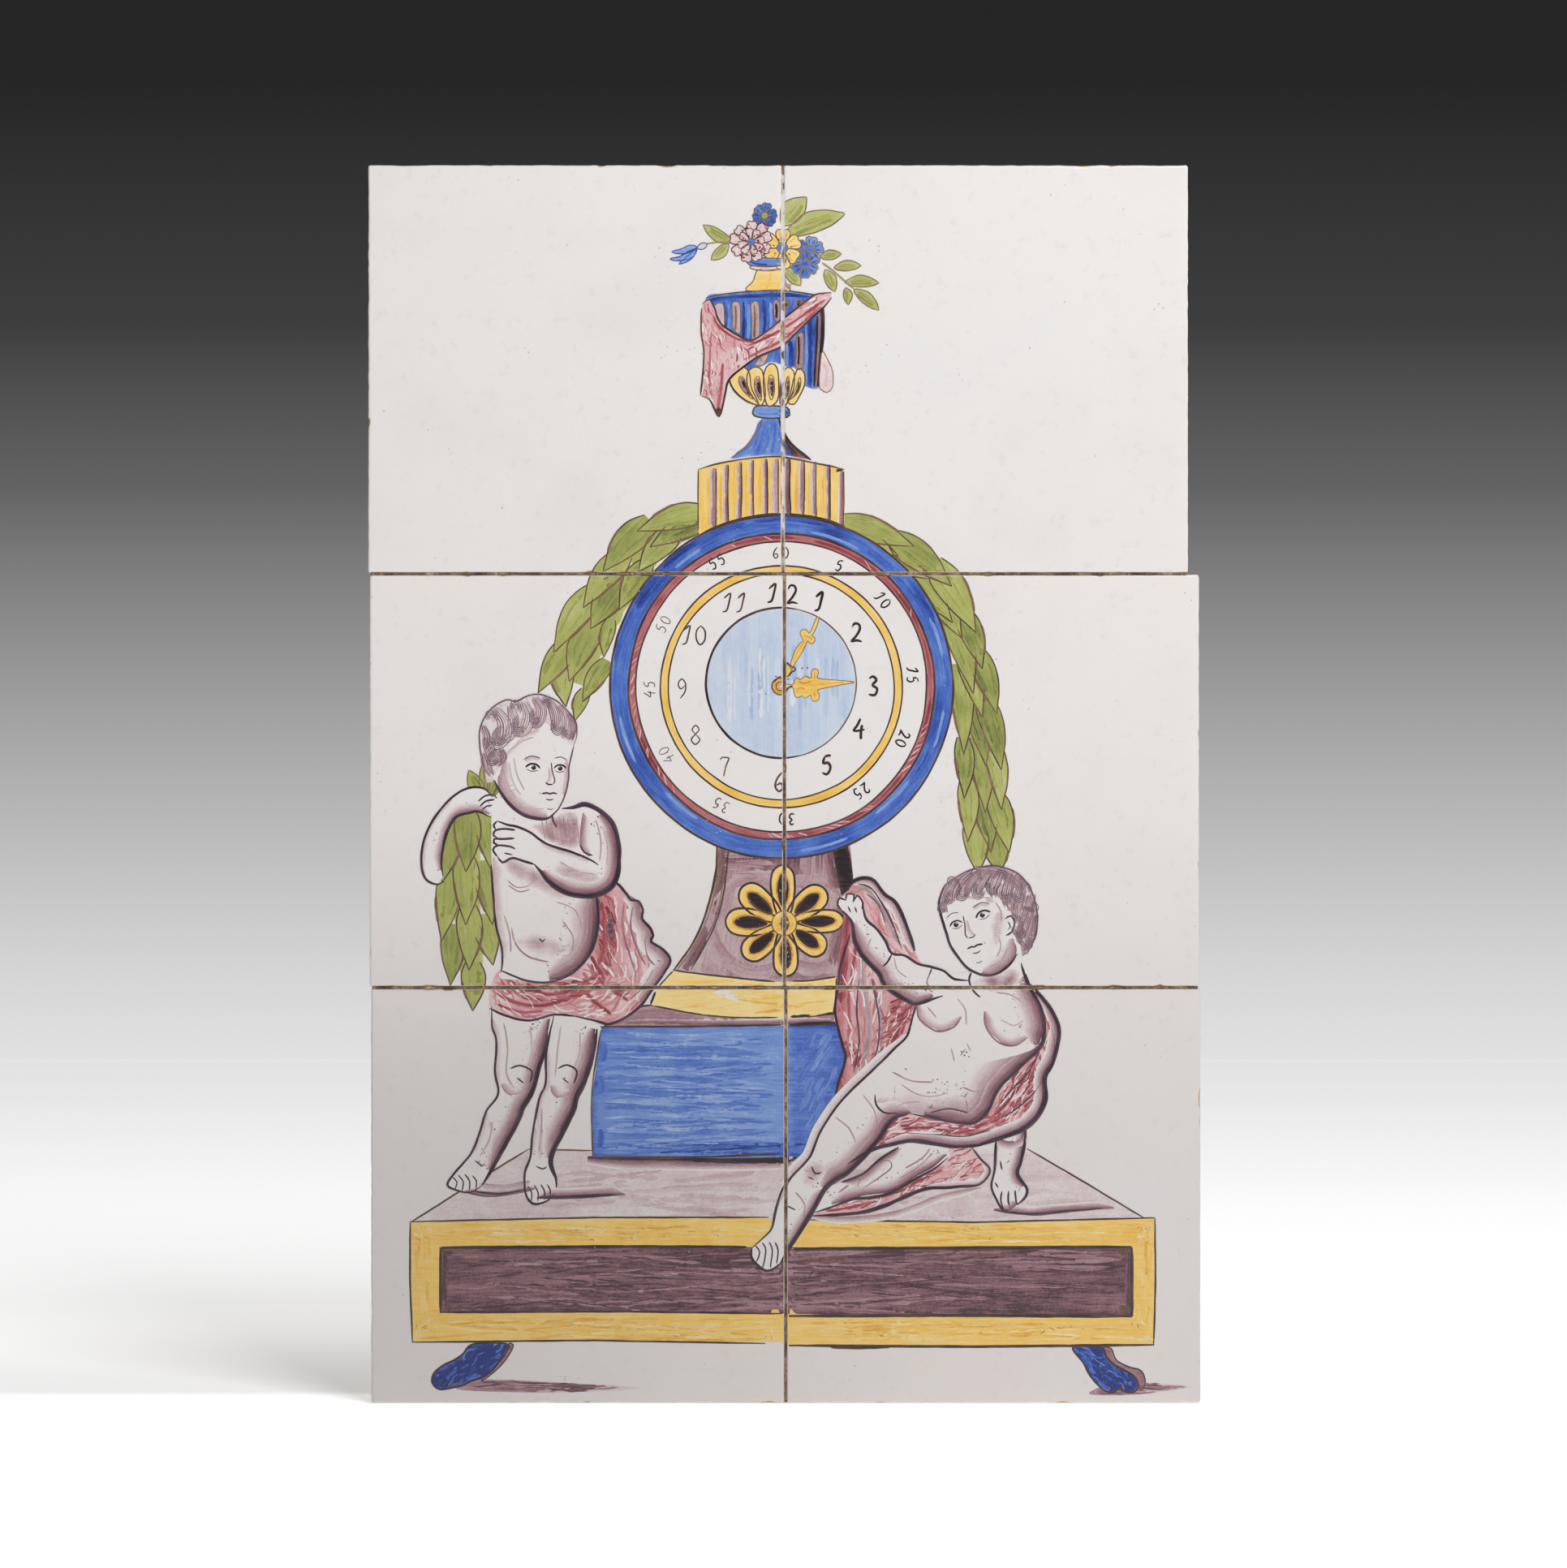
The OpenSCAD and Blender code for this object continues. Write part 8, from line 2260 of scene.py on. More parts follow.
def dab_material():
    """Grey adhesive with sand in it."""
    n = Nodes("adhesive")
    place = n.place()
    coarse = n.noise(place, 60.0, 5.0, 0.65)
    sand = n.noise(place, 1200.0, 3.0, 0.7)
    colour = n.ramp(n.scaled(sand, 0.4, n.times(coarse, 0.6)),
                    [(0.3, "8F8A82"), (0.5, "AFAAA1"), (0.7, "C9C5BC")])
    n.bump(sand, 0.5, 0.0004)
    return n.finish(colour, 0.8, 0.25)


def plywood_material():
    """Face veneer with long grain along the height; plies showing on the edges."""
    n = Nodes("plywood")
    place = n.place()
    geometry = n.make("ShaderNodeNewGeometry")
    facing = n.axes(geometry.outputs["Normal"])
    face_on = n.span(n.math("ABSOLUTE", facing["Y"]), 0.5, 0.8)
    warped = n.noise(n.stretch(place, (1.0, 1.0, 0.10)), 20.0, 3.0, 0.5)
    grain = n.noise(n.stretch(place, (1.0, 1.0, 0.03)), 520.0, 4.0, 0.6, 0.4)
    rings = n.math("SINE", n.times(warped, 70.0))
    veneer = n.ramp(n.scaled(rings, 0.055, grain),
                    [(0.28, "A8834F"), (0.45, "C49D66"), (0.6, "D6B47E"), (0.8, "E2C794")])
    where = n.axes(place)
    ply = n.math("SINE", n.times(where["Y"], 2 * math.pi / 0.0034))
    fibre = n.noise(n.stretch(place, (1.0, 4.0, 1.0)), 900.0, 3.0, 0.6)
    edge = n.ramp(n.scaled(ply, 0.25, fibre),
                  [(0.25, "6E4C2C"), (0.45, "9A7447"), (0.65, "C7A06A"), (0.9, "DDBD88")])
    n.bump(grain, 0.35, 0.0003)
    return n.finish(n.mix(face_on, edge, veneer), n.scaled(grain, 0.15, 0.6), 0.3)


def batten_material():
    """Planed softwood with the grain along the batten."""
    n = Nodes("batten_wood")
    place = n.place()
    warped = n.noise(n.stretch(place, (0.07, 1.0, 1.0)), 30.0, 3.0, 0.5)
    grain = n.noise(n.stretch(place, (0.025, 1.0, 1.0)), 620.0, 4.0, 0.6, 0.3)
    rings = n.math("SINE", n.times(warped, 85.0))
    colour = n.ramp(n.scaled(rings, 0.085, grain),
                    [(0.26, "9C6B3B"), (0.42, "C08B52"), (0.6, "D4A66B"), (0.8, "E3BF8A")])
    n.bump(n.scaled(rings, 0.3, grain), 0.4, 0.0003)
    return n.finish(colour, n.scaled(grain, 0.15, 0.55), 0.35)


def steel_material():
    """Dull zinc-plated steel."""
    n = Nodes("screw_steel")
    place = n.place()
    tone = n.noise(place, 900.0, 3.0, 0.6)
    colour = n.ramp(tone, [(0.3, "8C8A80"), (0.55, "A9A79C"), (0.8, "C2BFAE")])
    n.shader.inputs["Metallic"].default_value = 1.0
    n.bump(n.noise(place, 2600.0, 2.0), 0.2, 0.0001)
    return n.finish(colour, n.scaled(tone, 0.25, 0.25), 0.5)


def felt_material():
    """Dark green felt with loose fibres."""
    n = Nodes("felt")
    place = n.place()
    fibres = n.noise(place, 2400.0, 5.0, 0.75, 0.8)
    colour = n.ramp(fibres, [(0.3, "2E3B33"), (0.5, "43544A"), (0.7, "5F7265")])
    n.shader.inputs["Sheen Weight"].default_value = 0.6
    n.bump(fibres, 0.9, 0.0005)
    return n.finish(colour, 0.95, 0.1)


# Putting the paint on the tiles
# The paint stops this far from a tile's edge, and pieces with less area are left out
CLIP_MM = 0.42
LEAST_AREA = 1e-6


def level_seams():
    """Heights where one row of tiles ends and the next begins, with the clip on both sides."""
    cuts = []
    for name in ("tile_bottom_left", "tile_middle_left", "tile_top_left"):
        low, high = TILES[name]
        cuts += [low[2] + CLIP_MM, high[2] - CLIP_MM]
    return cuts


def slice_at(mesh, faces, place, normal):
    """Cuts the given faces along a plane."""
    geometry = set(faces)
    for f in faces:
        geometry.update(f.edges)
        geometry.update(f.verts)
    bmesh.ops.bisect_plane(mesh, geom=list(geometry), dist=1e-5, plane_co=place, plane_no=normal)


def gathered(source):
    """One mesh of all pieces of a pigment, flat in the picture's plane, with its layers."""
    mesh = bmesh.new()
    load_layer = mesh.verts.layers.float.new("load")
    level_layer = mesh.verts.layers.float.new("level")
    brush_layer = mesh.verts.layers.float_vector.new("brush")
    made = []
    for x, z, level, load, along, across, seed in source.verts:
        v = mesh.verts.new((x, 0.0, z))
        v[load_layer] = load
        v[level_layer] = level
        v[brush_layer] = (along, across, seed)
        made.append(v)
    for corners in source.faces:
        try:
            face = mesh.faces.new([made[i] for i in corners])
        except ValueError:
            continue
        if face.calc_area() < LEAST_AREA:
            mesh.faces.remove(face)
    mesh.normal_update()
    bmesh.ops.reverse_faces(mesh, faces=[f for f in mesh.faces if f.normal.y > 0])
    return mesh


def cut_at_edges(mesh):
    """Cuts the paint where the tiles end."""
    for z in level_seams():
        near = [f for f in mesh.faces if min(v.co.z for v in f.verts) < z < max(v.co.z for v in f.verts)]
        slice_at(mesh, near, (0, 0, z), (0, 0, 1))
    for name in TILE_NAMES:
        low, high = TILES[name]
        for x in (low[0] + CLIP_MM, high[0] - CLIP_MM):
            near = [f for f in mesh.faces if low[2] < f.calc_center_median().z < high[2]
                    and min(v.co.x for v in f.verts) < x < max(v.co.x for v in f.verts)]
            slice_at(mesh, near, (x, 0, 0), (1, 0, 0))


def home_tiles(mesh):
    """The tile under each point; paint that lies on no tile is removed."""
    home, lost = {}, []
    clip = CLIP_MM - 1e-4
    for f in mesh.faces:
        c = f.calc_center_median()
        for name, (low, high) in TILES.items():
            if low[0] + clip < c.x < high[0] - clip and low[2] + clip < c.z < high[2] - clip:
                home.update((v, name) for v in f.verts)
                break
        else:
            lost.append(f)
    bmesh.ops.delete(mesh, geom=lost, context="FACES")
    bmesh.ops.delete(mesh, geom=[v for v in mesh.verts if not v.link_faces], context="VERTS")
    return home


def paint_object(pigment):
    """All pieces of one pigment as thin closed layers on the glaze: front sheets, back sheets and walls."""
    mesh = gathered(PIGMENTS[pigment])
    cut_at_edges(mesh)
    home = home_tiles(mesh)
    level_layer = mesh.verts.layers.float["level"]
    load_layer = mesh.verts.layers.float["load"]
    brush_layer = mesh.verts.layers.float_vector["brush"]
    index = {v: i for i, v in enumerate(mesh.verts)}
    count = len(index)
    fronts, backs, loads, brushes = [], [], [], []
    for v in index:
        x, z = v.co.x, v.co.z
        drop = swell(home[v], x, z)
        height = FIRST_MM + v[level_layer] * LEVEL_MM
        rim = any(e.is_boundary for e in v.link_edges)
        fronts.append((x, FACE_Y - drop - height + (RIM_MM if rim else 0.0), z))
        backs.append((x, FACE_Y - drop - ROOT_MM, z))
        loads.append(v[load_layer])
        brushes += list(v[brush_layer])
    faces = [tuple(index[v] for v in f.verts) for f in mesh.faces]
    walls = []
    for f in mesh.faces:
        ring = list(f.verts)
        for v, w in zip(ring, ring[1:] + ring[:1]):
            edge = mesh.edges.get((v, w))
            if edge and edge.is_boundary:
                walls.append((index[w], index[v], index[v] + count, index[w] + count))
    mesh.free()
    undersides = [tuple(i + count for i in reversed(f)) for f in faces]
    data = mesh_mm("paint_" + pigment, fronts + backs, faces + undersides + walls)
    write_attribute(data, "load", "FLOAT", "value", loads * 2)
    write_attribute(data, "brush", "FLOAT_VECTOR", "vector", brushes * 2)
    data.shade_flat()
    return add_object("paint_" + pigment, data)


# The tiles themselves
# How far the glaze reaches down the rim, and the steps of the face's middle
GLAZE_DEPTH = 0.8
FRONT_STEP = 1.9
# Uneven sides: a long wave and a short one, each with its height and its pace, and how far in they reach
LONG_MM, LONG_PER_MM = 0.10, 0.05
SHORT_MM, SHORT_PER_MM = 0.07, 0.4
OUTER_WAVE = 3.0
UNEVEN_REACH = 5.0
# Steps of the face near each edge, from the edge inwards
EDGE_STEPS = (0.35, 0.75, 1.4)
# Rows that carry the rim round to the back: how far in, and how deep
RIM_ROWS = ((0.12, 0.10), (0.0, 0.35), (0.05, 0.80), (0.15, 1.2), (0.5, 3.4), (0.95, 6.3), (1.4, 7.2))
# The glazed rows of the rim lie less deep than this
RIM_DEPTH = 1
CORNER_CUT = 0.18
# The rim under the glaze: its drop, the most that a chip adds, a chip's share inwards, and its bare clay
RIM_SINK, RIM_BITE, NICK_SHARE = 0.22, 0.4, 0.25
RIM_BARE, BARE_PER_MM = 0.22, 0.5
CLAY_ROUGH, CLAY_ROUGH_PER_MM, CLAY_ROW_STEP = 0.12, 0.8, 2.0
# Small chips left to chance: their pace along the edge, where they begin, and how they fade inwards
CHIP_PER_MM, CHIP_FROM, CHIP_FADE = 0.22, 0.28, 0.55
# Chips with a place of their own: their depth, how far from the edge they count, and how far across
CHIP_DEPTH, CHIP_EDGE = 0.6, 1.6
JOINT_ACROSS, OUTER_ACROSS = 1.1, 0.7
# Chips this near the middle joint, or this far out, lie on an upright edge
NEAR_JOINT, FAR_OUT = 3, 125
# How deep a chip sinks into the face for its depth, and at most
CHIP_SINK, CHIP_SINK_MOST = 1.1, 0.55
# Bare clay for each millimetre of a chip
BARE_AFTER_CHIP = 3.2
# The back: how far in it begins, its steps and the depth of its combing
BACK_INSET = 1.9
BACK_COUNT = 26
BACK_COMB = 0.10


def edge_wave(name, side, t):
    """How uneven a side is at place t; the panel's own outline more than the joints."""
    k = TILE_NAMES.index(name) * 3.1 + side * 11.7
    wave = LONG_MM * wander(t * LONG_PER_MM, k, 0.0) + SHORT_MM * wander(t * SHORT_PER_MM, k, 3.0)
    return wave * (OUTER_WAVE if ("left", "right", "bottom", "top")[side] in name else 1.0)


def drawn_in(name, x, z):
    """A point of the face, moved with the uneven sides near it."""
    low, high = TILES[name]
    near = [max(0.0, 1 - d / UNEVEN_REACH) for d in (x - low[0], high[0] - x, z - low[2], high[2] - z)]
    px = x + near[0] * abs(edge_wave(name, 0, z)) - near[1] * abs(edge_wave(name, 1, z))
    pz = z + near[2] * abs(edge_wave(name, 2, x)) - near[3] * abs(edge_wave(name, 3, x))
    return px, pz


def chip(name, x, z):
    """Depth of the chips along the glaze's edge, in millimetres."""
    k = TILE_NAMES.index(name) * 5.7
    d = edge_distance(name, x, z)
    amount = wander(x * CHIP_PER_MM, z * CHIP_PER_MM, k) - CHIP_FROM - d * CHIP_FADE
    extra = 0.0
    for chips, across in ((CHIPS, JOINT_ACROSS), (OUTER_CHIPS, OUTER_ACROSS)):
        for cx, cz, r in chips:
            upright = abs(cx) < NEAR_JOINT or abs(cx) > FAR_OUT
            wide, tall = (across, r) if upright else (r, across)
            extra = max(extra, 1.0 - math.hypot((x - cx) / wide, (z - cz) / tall))
    return max(0.0, amount, extra * CHIP_DEPTH if d < CHIP_EDGE else 0.0)


# Each: x, z and reach along the edge
CHIPS = [(-0.9, 285, 2.6), (-0.8, 296, 3.6), (-0.9, 304, 2.2), (-0.9, 319, 3.0), (-0.8, 338, 2.4),
         (0.9, 351, 2.0), (-0.9, 366, 2.6), (1.0, 200, 1.8), (-0.9, 176, 2.0), (0.9, 160, 2.2), (8, 261, 2.6),
         (14, 130.9, 2.2), (-8, 131, 2.4), (64, 261.2, 2.0), (-100, 261.3, 2.0), (104, 131.1, 2.4),
         (-30, 131.2, 1.8), (-50, 261.3, 3.4), (-43, 261.0, 2.4), (-37, 261.4, 1.8), (31.5, 260.6, 2.6),
         (-112, 131, 3.0), (-106, 130.6, 2.2), (80, 131, 3.6), (45, 131.0, 1.4), (-76, 131.2, 1.6),
         (99, 261, 1.4), (-88, 261.2, 1.4), (-22, 130.8, 1.2), (118, 131.2, 1.6)]
OUTER_CHIPS = [(-131.1, 309, 2.2), (-130.9, 236, 1.4), (-131.1, 121, 1.6), (129.4, 364, 2.6),
               (130.9, 205, 1.2), (131.1, 96, 3.4), (-37, 390.1, 3.2), (-58, 390.1, 1.4), (104, 390.1, 1.6),
               (-5, 0.2, 2.4), (-62, 0.1, 1.6), (88, 0.1, 1.8)]


class Skin:
    """Points, bare clay and faces of one tile while it is built."""

    def __init__(self):
        self.verts, self.clay, self.faces = [], [], []

    def point(self, place, clay):
        self.verts.append(place)
        self.clay.append(clay)
        return len(self.verts) - 1


def face_steps(a, b):
    """Even steps from a to b, with narrow ones at each end."""
    count = round((b - a) / FRONT_STEP)
    margin = EDGE_STEPS[-1]
    middle = [a + margin + (b - a - 2 * margin) * i / count for i in range(1, count)]
    return [a + s for s in EDGE_STEPS] + middle + [b - s for s in reversed(EDGE_STEPS)]


def round_the_edge(last_i, last_j):
    """Places of a grid's outer points, once round."""
    there = [(i, 0) for i in range(last_i)] + [(last_i, j) for j in range(last_j)]
    return there + [(i, last_j) for i in range(last_i, 0, -1)] + [(0, j) for j in range(last_j, 0, -1)]


def tile_face(skin, name):
    """Glazed face; returns its outer points, and for each the x, the z and the sides that it lies on."""
    low, high = TILES[name]
    xs, zs = face_steps(low[0], high[0]), face_steps(low[2], high[2])
    last_i, last_j = len(xs) - 1, len(zs) - 1
    grid = {}
    for j, z in enumerate(zs):
        for i, x in enumerate(xs):
            depth = chip(name, x, z)
            y = FACE_Y - swell(name, x, z) + min(depth * CHIP_SINK, CHIP_SINK_MOST)
            px, pz = drawn_in(name, x, z)
            grid[i, j] = skin.point((px, y, pz), min(depth * BARE_AFTER_CHIP, 1.0))
    skin.faces += [(grid[i, j], grid[i + 1, j], grid[i + 1, j + 1], grid[i, j + 1])
                   for j in range(last_j) for i in range(last_i)]
    loop = round_the_edge(last_i, last_j)
    starts = [(xs[i], zs[j], (i == 0, i == last_i, j == 0, j == last_j)) for i, j in loop]
    return [grid[c] for c in loop], starts


def rim_point(name, x, z, on_side, inset, depth):
    """Place and bare clay of a rim point below the face's outer point at (x, z)."""
    low, high = TILES[name]
    bite = chip(name, x, z)
    nick = NICK_SHARE * bite if depth < RIM_DEPTH else 0.0
    corner = CORNER_CUT if sum(on_side) == 2 else 0.0
    px, pz = drawn_in(name, x, z)
    if on_side[0]:
        px = low[0] + inset + (abs(edge_wave(name, 0, z)) + nick) + corner
    if on_side[1]:
        px = high[0] - inset - (abs(edge_wave(name, 1, z)) + nick) - corner
    if on_side[2]:
        pz = low[2] + inset + (abs(edge_wave(name, 2, x)) + nick) + corner
    if on_side[3]:
        pz = high[2] - inset - (abs(edge_wave(name, 3, x)) + nick) - corner
    y = FACE_Y + depth
    if depth < RIM_DEPTH:
        y += (RIM_SINK + min(bite, RIM_BITE)) * (1 - depth)
    else:
        inwards = 1 if px < (low[0] + high[0]) / 2 else -1
        rough = wander(x * CLAY_ROUGH_PER_MM, depth * CLAY_ROW_STEP, z * CLAY_ROUGH_PER_MM)
        px = min(max(px + CLAY_ROUGH * rough * inwards, low[0]), high[0])
        pz = min(max(pz, low[2]), high[2])
    bare = min(bite * BARE_AFTER_CHIP + RIM_BARE + depth * BARE_PER_MM, 1.0)
    return (px, y, pz), 1.0 if depth > GLAZE_DEPTH else bare


def tile_back(skin, name):
    """Combed clay back; returns its outer points."""
    low, high = TILES[name]
    xs, zs = ([low[k] + BACK_INSET + (high[k] - low[k] - 2 * BACK_INSET) * i / BACK_COUNT
               for i in range(BACK_COUNT + 1)] for k in (0, 2))
    grid = {}
    for j, z in enumerate(zs):
        for i, x in enumerate(xs):
            y = FACE_Y + TILE_T - BACK_COMB + BACK_COMB * wander(x * 0.2, z * 0.05, 3.0)
            grid[i, j] = skin.point((x, min(y, FACE_Y + TILE_T), z), 1.0)
    skin.faces += [(grid[i + 1, j], grid[i, j], grid[i, j + 1], grid[i + 1, j + 1])
                   for j in range(BACK_COUNT) for i in range(BACK_COUNT)]
    return [grid[c] for c in round_the_edge(BACK_COUNT, BACK_COUNT)]


def tile_object(name):
    """One tile: glazed face, rim and back."""
    low, high = TILES[name]
    skin = Skin()
    last, starts = tile_face(skin, name)
    for inset, depth in RIM_ROWS:
        ring = [skin.point(*rim_point(name, x, z, on_side, inset, depth)) for x, z, on_side in starts]
        skin.faces += [(last[a + 1 - len(ring)], last[a], ring[a], ring[a + 1 - len(ring)])
                       for a in range(len(ring))]
        last = ring
    inner = tile_back(skin, name)
    stitch(skin.verts, skin.faces, last, inner, ((low[0] + high[0]) / 2, (low[2] + high[2]) / 2))
    data = mesh_mm(name, skin.verts, skin.faces)
    write_attribute(data, "clay", "FLOAT", "value", skin.clay)
    data.shade_smooth()
    return add_object("glazed_" + name, data)


def stitch(verts, faces, outer, inner, mid):
    """Triangles between two rings that go round the same way, matched by angle."""
    def angle(i):
        return math.atan2(verts[i][2] - mid[1], verts[i][0] - mid[0])

    def unrolled(ring):
        start = min(range(len(ring)), key=lambda k: angle(ring[k]))
        turned = ring[start:] + ring[:start]
        return turned + [turned[0]], [angle(i) for i in turned] + [angle(turned[0]) + 2 * math.pi]

    a, angle_a = unrolled(outer)
    b, angle_b = unrolled(inner)
    i = j = 0
    while i < len(a) - 1 or j < len(b) - 1:
        if j == len(b) - 1 or (i < len(a) - 1 and angle_a[i + 1] <= angle_b[j + 1]):
            faces.append((a[i + 1], a[i], b[j]))
            i += 1
        else:
            faces.append((a[i], b[j], b[j + 1]))
            j += 1


# Joint filling: rough brown mortar, hollow along its middle
MORTAR_STEP = 0.9
MORTAR_HALF, HALF_VARIES, HALF_PER_MM = 0.38, 0.10, 0.3
MORTAR_PROUD, MORTAR_HOLLOW = 0.02, 0.16
MORTAR_ROUGH, ROUGH_PER_MM = 0.05, 0.5
MORTAR_CLEAR = 0.05
# How far the filling stops short of the panel's foot, top and sides
JOINT_FOOT, JOINT_TOP, JOINT_SIDE = 0.3, 0.1, 0.4
MORTAR_PROFILE = (-1.0, -0.6, -0.2, 0.2, 0.6, 1.0)
MORTAR_BACK = (1.6, -1.6)


def mortar_ring(x, z, dx, dz, back_y):
    """Points across a joint that runs in the direction (dx, dz): its hollow front, then its wider back."""
    half = MORTAR_HALF + HALF_VARIES * wander(x * HALF_PER_MM, z * HALF_PER_MM, 1.0)
    ring = []
    for k in MORTAR_PROFILE:
        wide = half * k
        rough = MORTAR_ROUGH * wander(x * ROUGH_PER_MM, z * ROUGH_PER_MM, k + 4.0)
        dip = MORTAR_HOLLOW * (1 - k * k) + rough
        ring.append((x - dz * wide, FACE_Y - MORTAR_PROUD + dip, z + dx * wide))
    return ring + [(x - dz * k, back_y, z + dx * k) for k in MORTAR_BACK]


def mortar(name, runs):
    """Filling of one joint. runs: pieces of it, each ((x, z) start, (x, z) end)."""
    back_y = box_mm(name)[1][1] - MORTAR_CLEAR
    ring = len(MORTAR_PROFILE) + len(MORTAR_BACK)
    verts, faces = [], []
    for start, end in runs:
        length = math.dist(start, end)
        count = round(length / MORTAR_STEP)
        dx, dz = (end[0] - start[0]) / length, (end[1] - start[1]) / length
        first = len(verts)
        for i in range(count + 1):
            t = i / count
            x, z = start[0] + (end[0] - start[0]) * t, start[1] + (end[1] - start[1]) * t
            verts += mortar_ring(x, z, dx, dz, back_y)
        for i in range(count):
            a, b = first + i * ring, first + (i + 1) * ring
            faces += [(a + k, a + (k + 1) % ring, b + (k + 1) % ring, b + k) for k in range(ring)]
        faces.append(tuple(first + k for k in reversed(range(ring))))
        faces.append(tuple(first + count * ring + k for k in range(ring)))
    data = mesh_mm("mortar_" + name, verts, faces)
    mesh = bmesh.new()
    mesh.from_mesh(data)
    bmesh.ops.recalc_face_normals(mesh, faces=mesh.faces)
    mesh.to_mesh(data)
    mesh.free()
    data.shade_smooth()
    return add_object("mortar_" + name, data)


def joint_runs():
    """Middle lines of the joints, worked out from the tiles on both sides."""
    runs = {"grout_vertical": []}
    for row in ("bottom", "middle", "top"):
        left, right = TILES[f"tile_{row}_left"], TILES[f"tile_{row}_right"]
        x = (left[1][0] + right[0][0]) / 2
        runs["grout_vertical"].append(((x, left[0][2] + JOINT_FOOT), (x, left[1][2] - JOINT_TOP)))
    for name, under, over in (("grout_lower", "bottom", "middle"), ("grout_upper", "middle", "top")):
        z = (TILES[f"tile_{under}_left"][1][2] + TILES[f"tile_{over}_left"][0][2]) / 2
        right = min(TILES[f"tile_{under}_right"][1][0], TILES[f"tile_{over}_right"][1][0])
        runs[name] = [((TILES[f"tile_{under}_left"][0][0] + JOINT_SIDE, z), (right - JOINT_SIDE, z))]
    return runs


# Building the picture
paint_base()
paint_feet()
paint_plinth()
paint_yellow_step()
paint_column()
paint_rosette()
paint_garlands()
paint_dial()
paint_hands()
paint_block()
paint_urn()
paint_bouquet()
paint_urn_cloth()
paint_left_putto()
paint_right_putto()

# The CAD node that each pigment stands for, and its slot
REPLACED = {"blue": "enamel_blue", "pale_blue": "enamel_pale_blue", "yellow": "enamel_yellow",
            "green": "enamel_green", "red": "enamel_red", "purple": "enamel_purple",
            "clock_line": "enamel_outline_clock", "figure_line": "enamel_outline_figures"}
SLOTS = {"blue": "blue_enamel", "pale_blue": "pale_blue_enamel", "yellow": "yellow_enamel",
         "green": "green_enamel", "red": "red_enamel", "purple": "purple_enamel",
         "clock_line": "outline_enamel", "figure_line": "outline_enamel", "white": "tin_glaze"}


def settle(piece, material, slot_name, replaced=None):
    """Gives a piece its material, its place in the frame and the CAD node that it stands for."""
    piece.data.materials.append(material)
    if replaced:
        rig.replaces(piece, replaced)
    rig.slot(piece, slot_name)
    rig.ride(piece, "root")


glaze = glaze_material()
for pigment in PIGMENTS:
    enamel = pigment_material(pigment) if pigment in RAMPS else glaze
    settle(paint_object(pigment), enamel, SLOTS[pigment], REPLACED.get(pigment))
for name in TILE_NAMES:
    settle(tile_object(name), glaze, "tin_glaze", name)
filling = joint_material()
for name, runs in joint_runs().items():
    settle(mortar(name, runs), filling, "joint_filling", name)

# The panel's back: each CAD node keeps its shape, and gets a material, a slot and edges rounded in mm
BEVEL_STEPS = 2
BEVEL_FROM = 40
dab = dab_material()
wood = batten_material()
steel = steel_material()
BACK = {"backing_board": (plywood_material(), "plywood", 0.35), "hanging_cleat": (wood, "batten_wood", 0.5),
        "lower_spacer": (wood, "batten_wood", 0.5), "cleat_screws": (steel, "screw_steel", 0.08),
        "spacer_screws": (steel, "screw_steel", 0.08), "felt_pads": (felt_material(), "felt", 0.4)}
for name in TILE_NAMES:
    BACK[name.replace("tile", "adhesive")] = (dab, "adhesive", 0.5)
for name, (material, slot_name, round_mm) in BACK.items():
    node = frame["nodes"][name]
    node.data.materials.clear()
    node.data.materials.append(material)
    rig.slot(node, slot_name)
    bevel = node.modifiers.new("softened edges", "BEVEL")
    bevel.width = round_mm * MM
    bevel.segments = BEVEL_STEPS
    bevel.limit_method = "ANGLE"
    bevel.angle_limit = math.radians(BEVEL_FROM)

# Camera, white ground and soft light
make_camera()

KEY_PLACE, KEY_AIM = (0.40, -0.80, 1.10), (0.0, 0.0, 0.31)
KEY_SIZE = (0.5, 0.5)
KEY_POWER = 9.8
ROOM_LIGHT = 0.22
FLOOR_REACH = 4.0
FLOOR_FRONT = -3.0
FLOOR_DROP = 0.0002
WALL_Y = 1.7
WALL_H = 1.6
# The painted shadow in the floor's glow, left of the panel and close behind it: spans from none to full, and its depth
SHADE_LEFT, SHADE_RIGHT = (-0.62, -0.14), (0.0, -0.12)
SHADE_NEAR, SHADE_FAR = (0.0, 0.012), (0.20, 0.02)
SHADE_DEPTH = 0.30
# Light of the wall by its height, and of the floor by its depth
WALL_STOPS = [(0.0, 0.753), (0.0376, 0.665), (0.1096, 0.468), (0.1817, 0.283), (0.2537, 0.124),
              (0.3256, 0.048), (0.4336, 0.0194), (1.0, 0.014)]
FLOOR_STOPS = [(0.0, 0.54), (0.18, 0.64), (0.36, 0.645), (0.55, 0.615), (0.70, 0.585), (0.84, 0.533),
               (0.93, 0.456), (1.0, 0.322)]


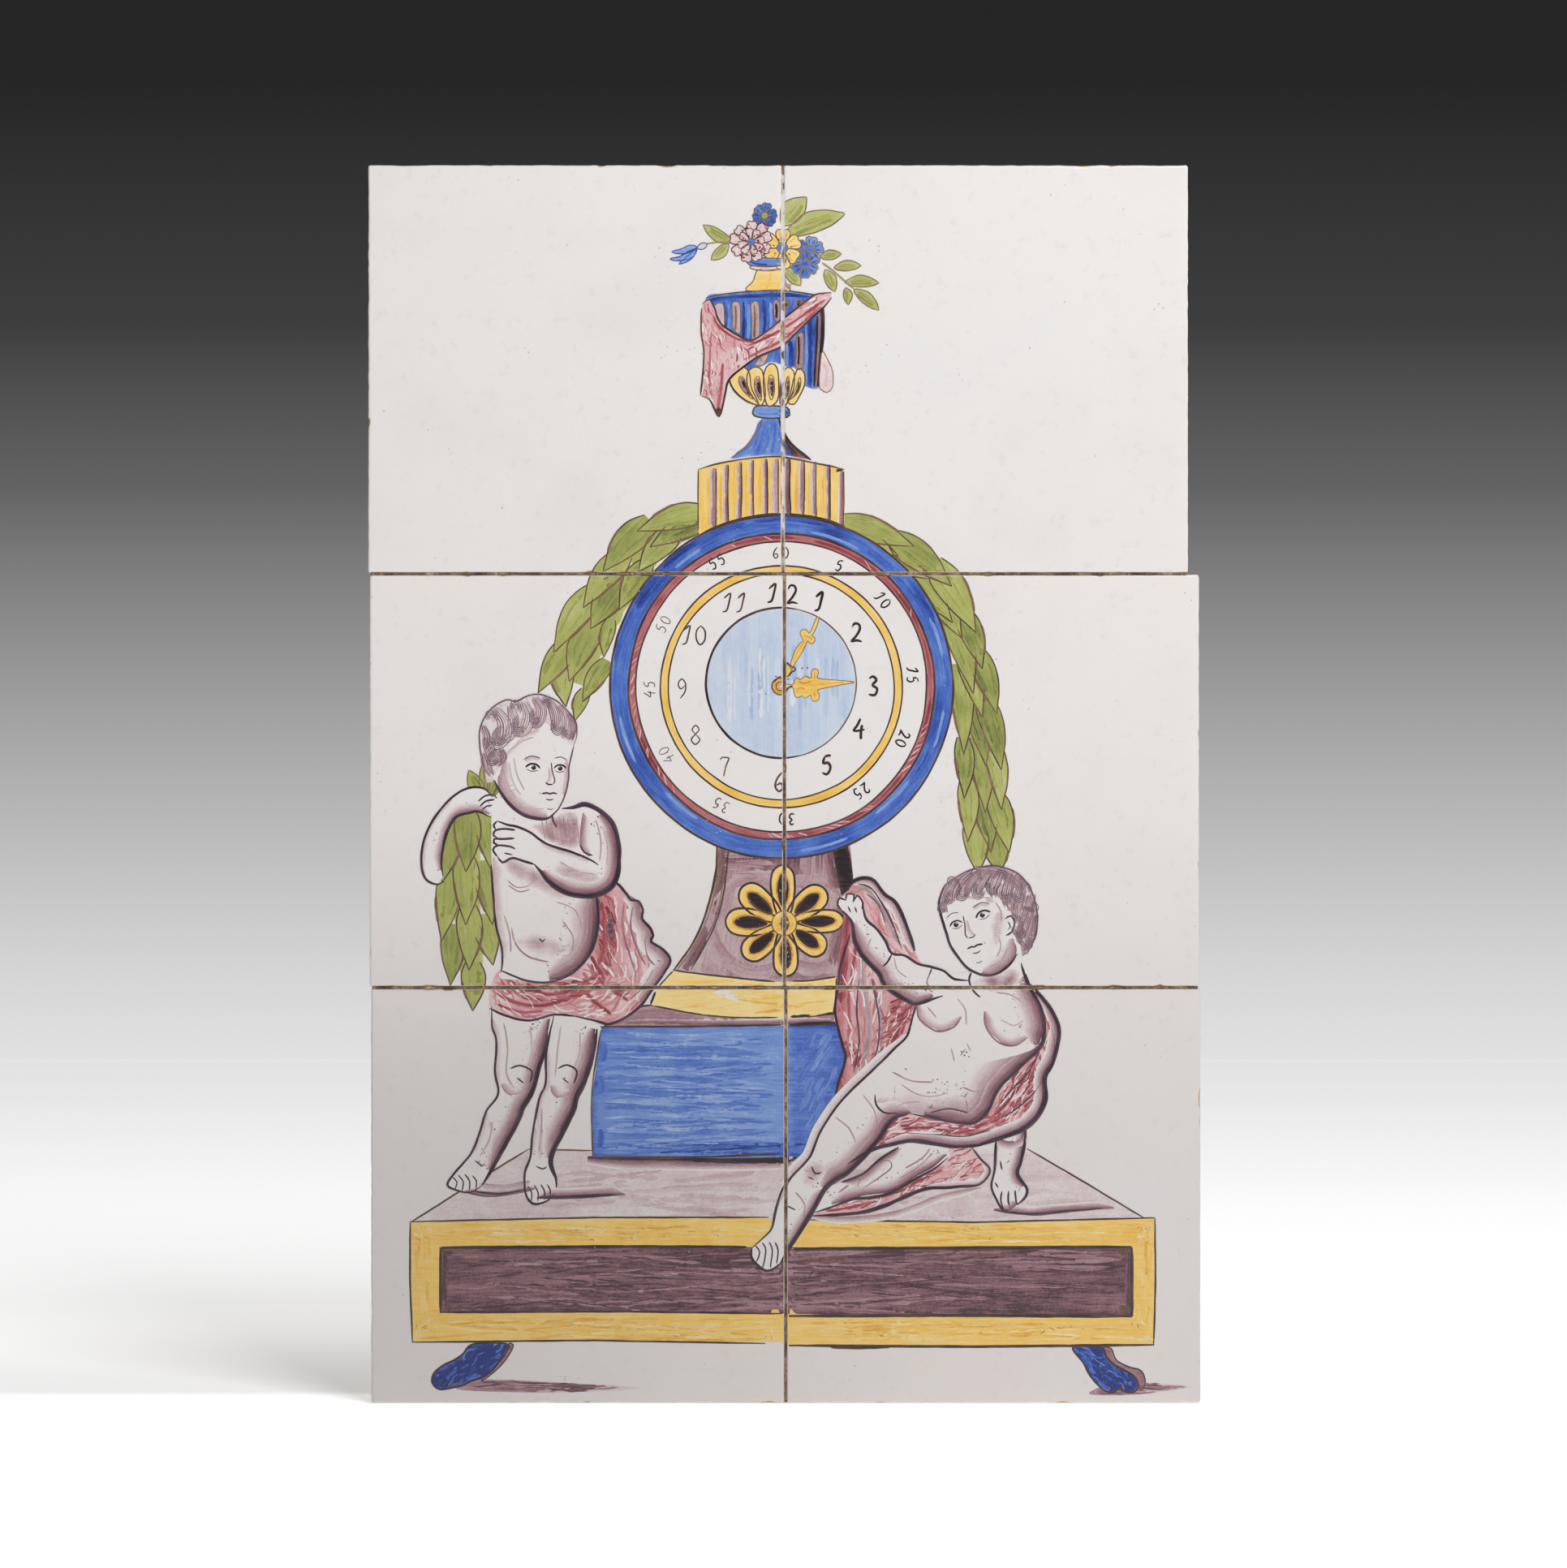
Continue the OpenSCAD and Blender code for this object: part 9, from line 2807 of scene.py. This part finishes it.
def ground():
    """A white floor and a wall behind it that darkens with height, both glowing with painted light and shade."""
    for name, ends, axis, reach, stops, tone in (
            ("floor", [(FLOOR_FRONT, 0), (WALL_Y, 0)], "Y", WALL_Y, FLOOR_STOPS, linear("F4F4F4")),
            ("wall", [(WALL_Y, 0), (WALL_Y, WALL_H)], "Z", WALL_H, WALL_STOPS, linear("000000"))):
        data = bpy.data.meshes.new(name)
        (y0, z0), (y1, z1) = ends
        corners = ((-FLOOR_REACH, y0, z0), (FLOOR_REACH, y0, z0), (FLOOR_REACH, y1, z1),
                   (-FLOOR_REACH, y1, z1))
        data.from_pydata([(x, y, z - FLOOR_DROP) for x, y, z in corners], [], [(0, 1, 2, 3)])
        n = Nodes("studio_" + name)
        place = n.axes(n.place())
        light = n.ramp(n.math("DIVIDE", place[axis], reach), stops)
        if name == "floor":
            # Painted shadow: the floor's glow is dimmed left of the panel and close behind it
            x, y = place["X"], place["Y"]
            dim = n.times(n.span(x, *SHADE_LEFT), n.span(x, *SHADE_RIGHT))
            dim = n.times(dim, n.times(n.span(y, *SHADE_NEAR), n.span(y, *SHADE_FAR)))
            light = n.mix(n.times(dim, SHADE_DEPTH), light, linear("000000"))
        n.put(n.shader.inputs["Emission Color"], light)
        n.shader.inputs["Emission Strength"].default_value = 1.0
        data.materials.append(n.finish(tone, 0.9, 0.0))
        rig.stage(add_object(name, data))


def area(name, place, aim, size, power):
    """A rectangular lamp at a place, aimed at a point."""
    lamp = bpy.data.lights.new(name, "AREA")
    lamp.shape = "RECTANGLE"
    lamp.size, lamp.size_y = size
    lamp.energy = power
    obj = add_object(name, lamp)
    obj.location = place
    obj.rotation_euler = (Vector(aim) - Vector(place)).to_track_quat("-Z", "Y").to_euler()
    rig.stage(obj)


ground()
area("key", KEY_PLACE, KEY_AIM, KEY_SIZE, KEY_POWER)
world = bpy.data.worlds.new("room")
world.use_nodes = True
world.node_tree.nodes["Background"].inputs["Color"].default_value = (1.0, 1.0, 1.0, 1.0)
world.node_tree.nodes["Background"].inputs["Strength"].default_value = ROOM_LIGHT
bpy.context.scene.world = world
bpy.context.scene.view_settings.view_transform = "Standard"

sizes = {"cad": [list(c) for c in cad_bounds], "visual": [list(c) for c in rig.bounds()]}
with open("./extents.json", "w") as out:
    json.dump(sizes, out)
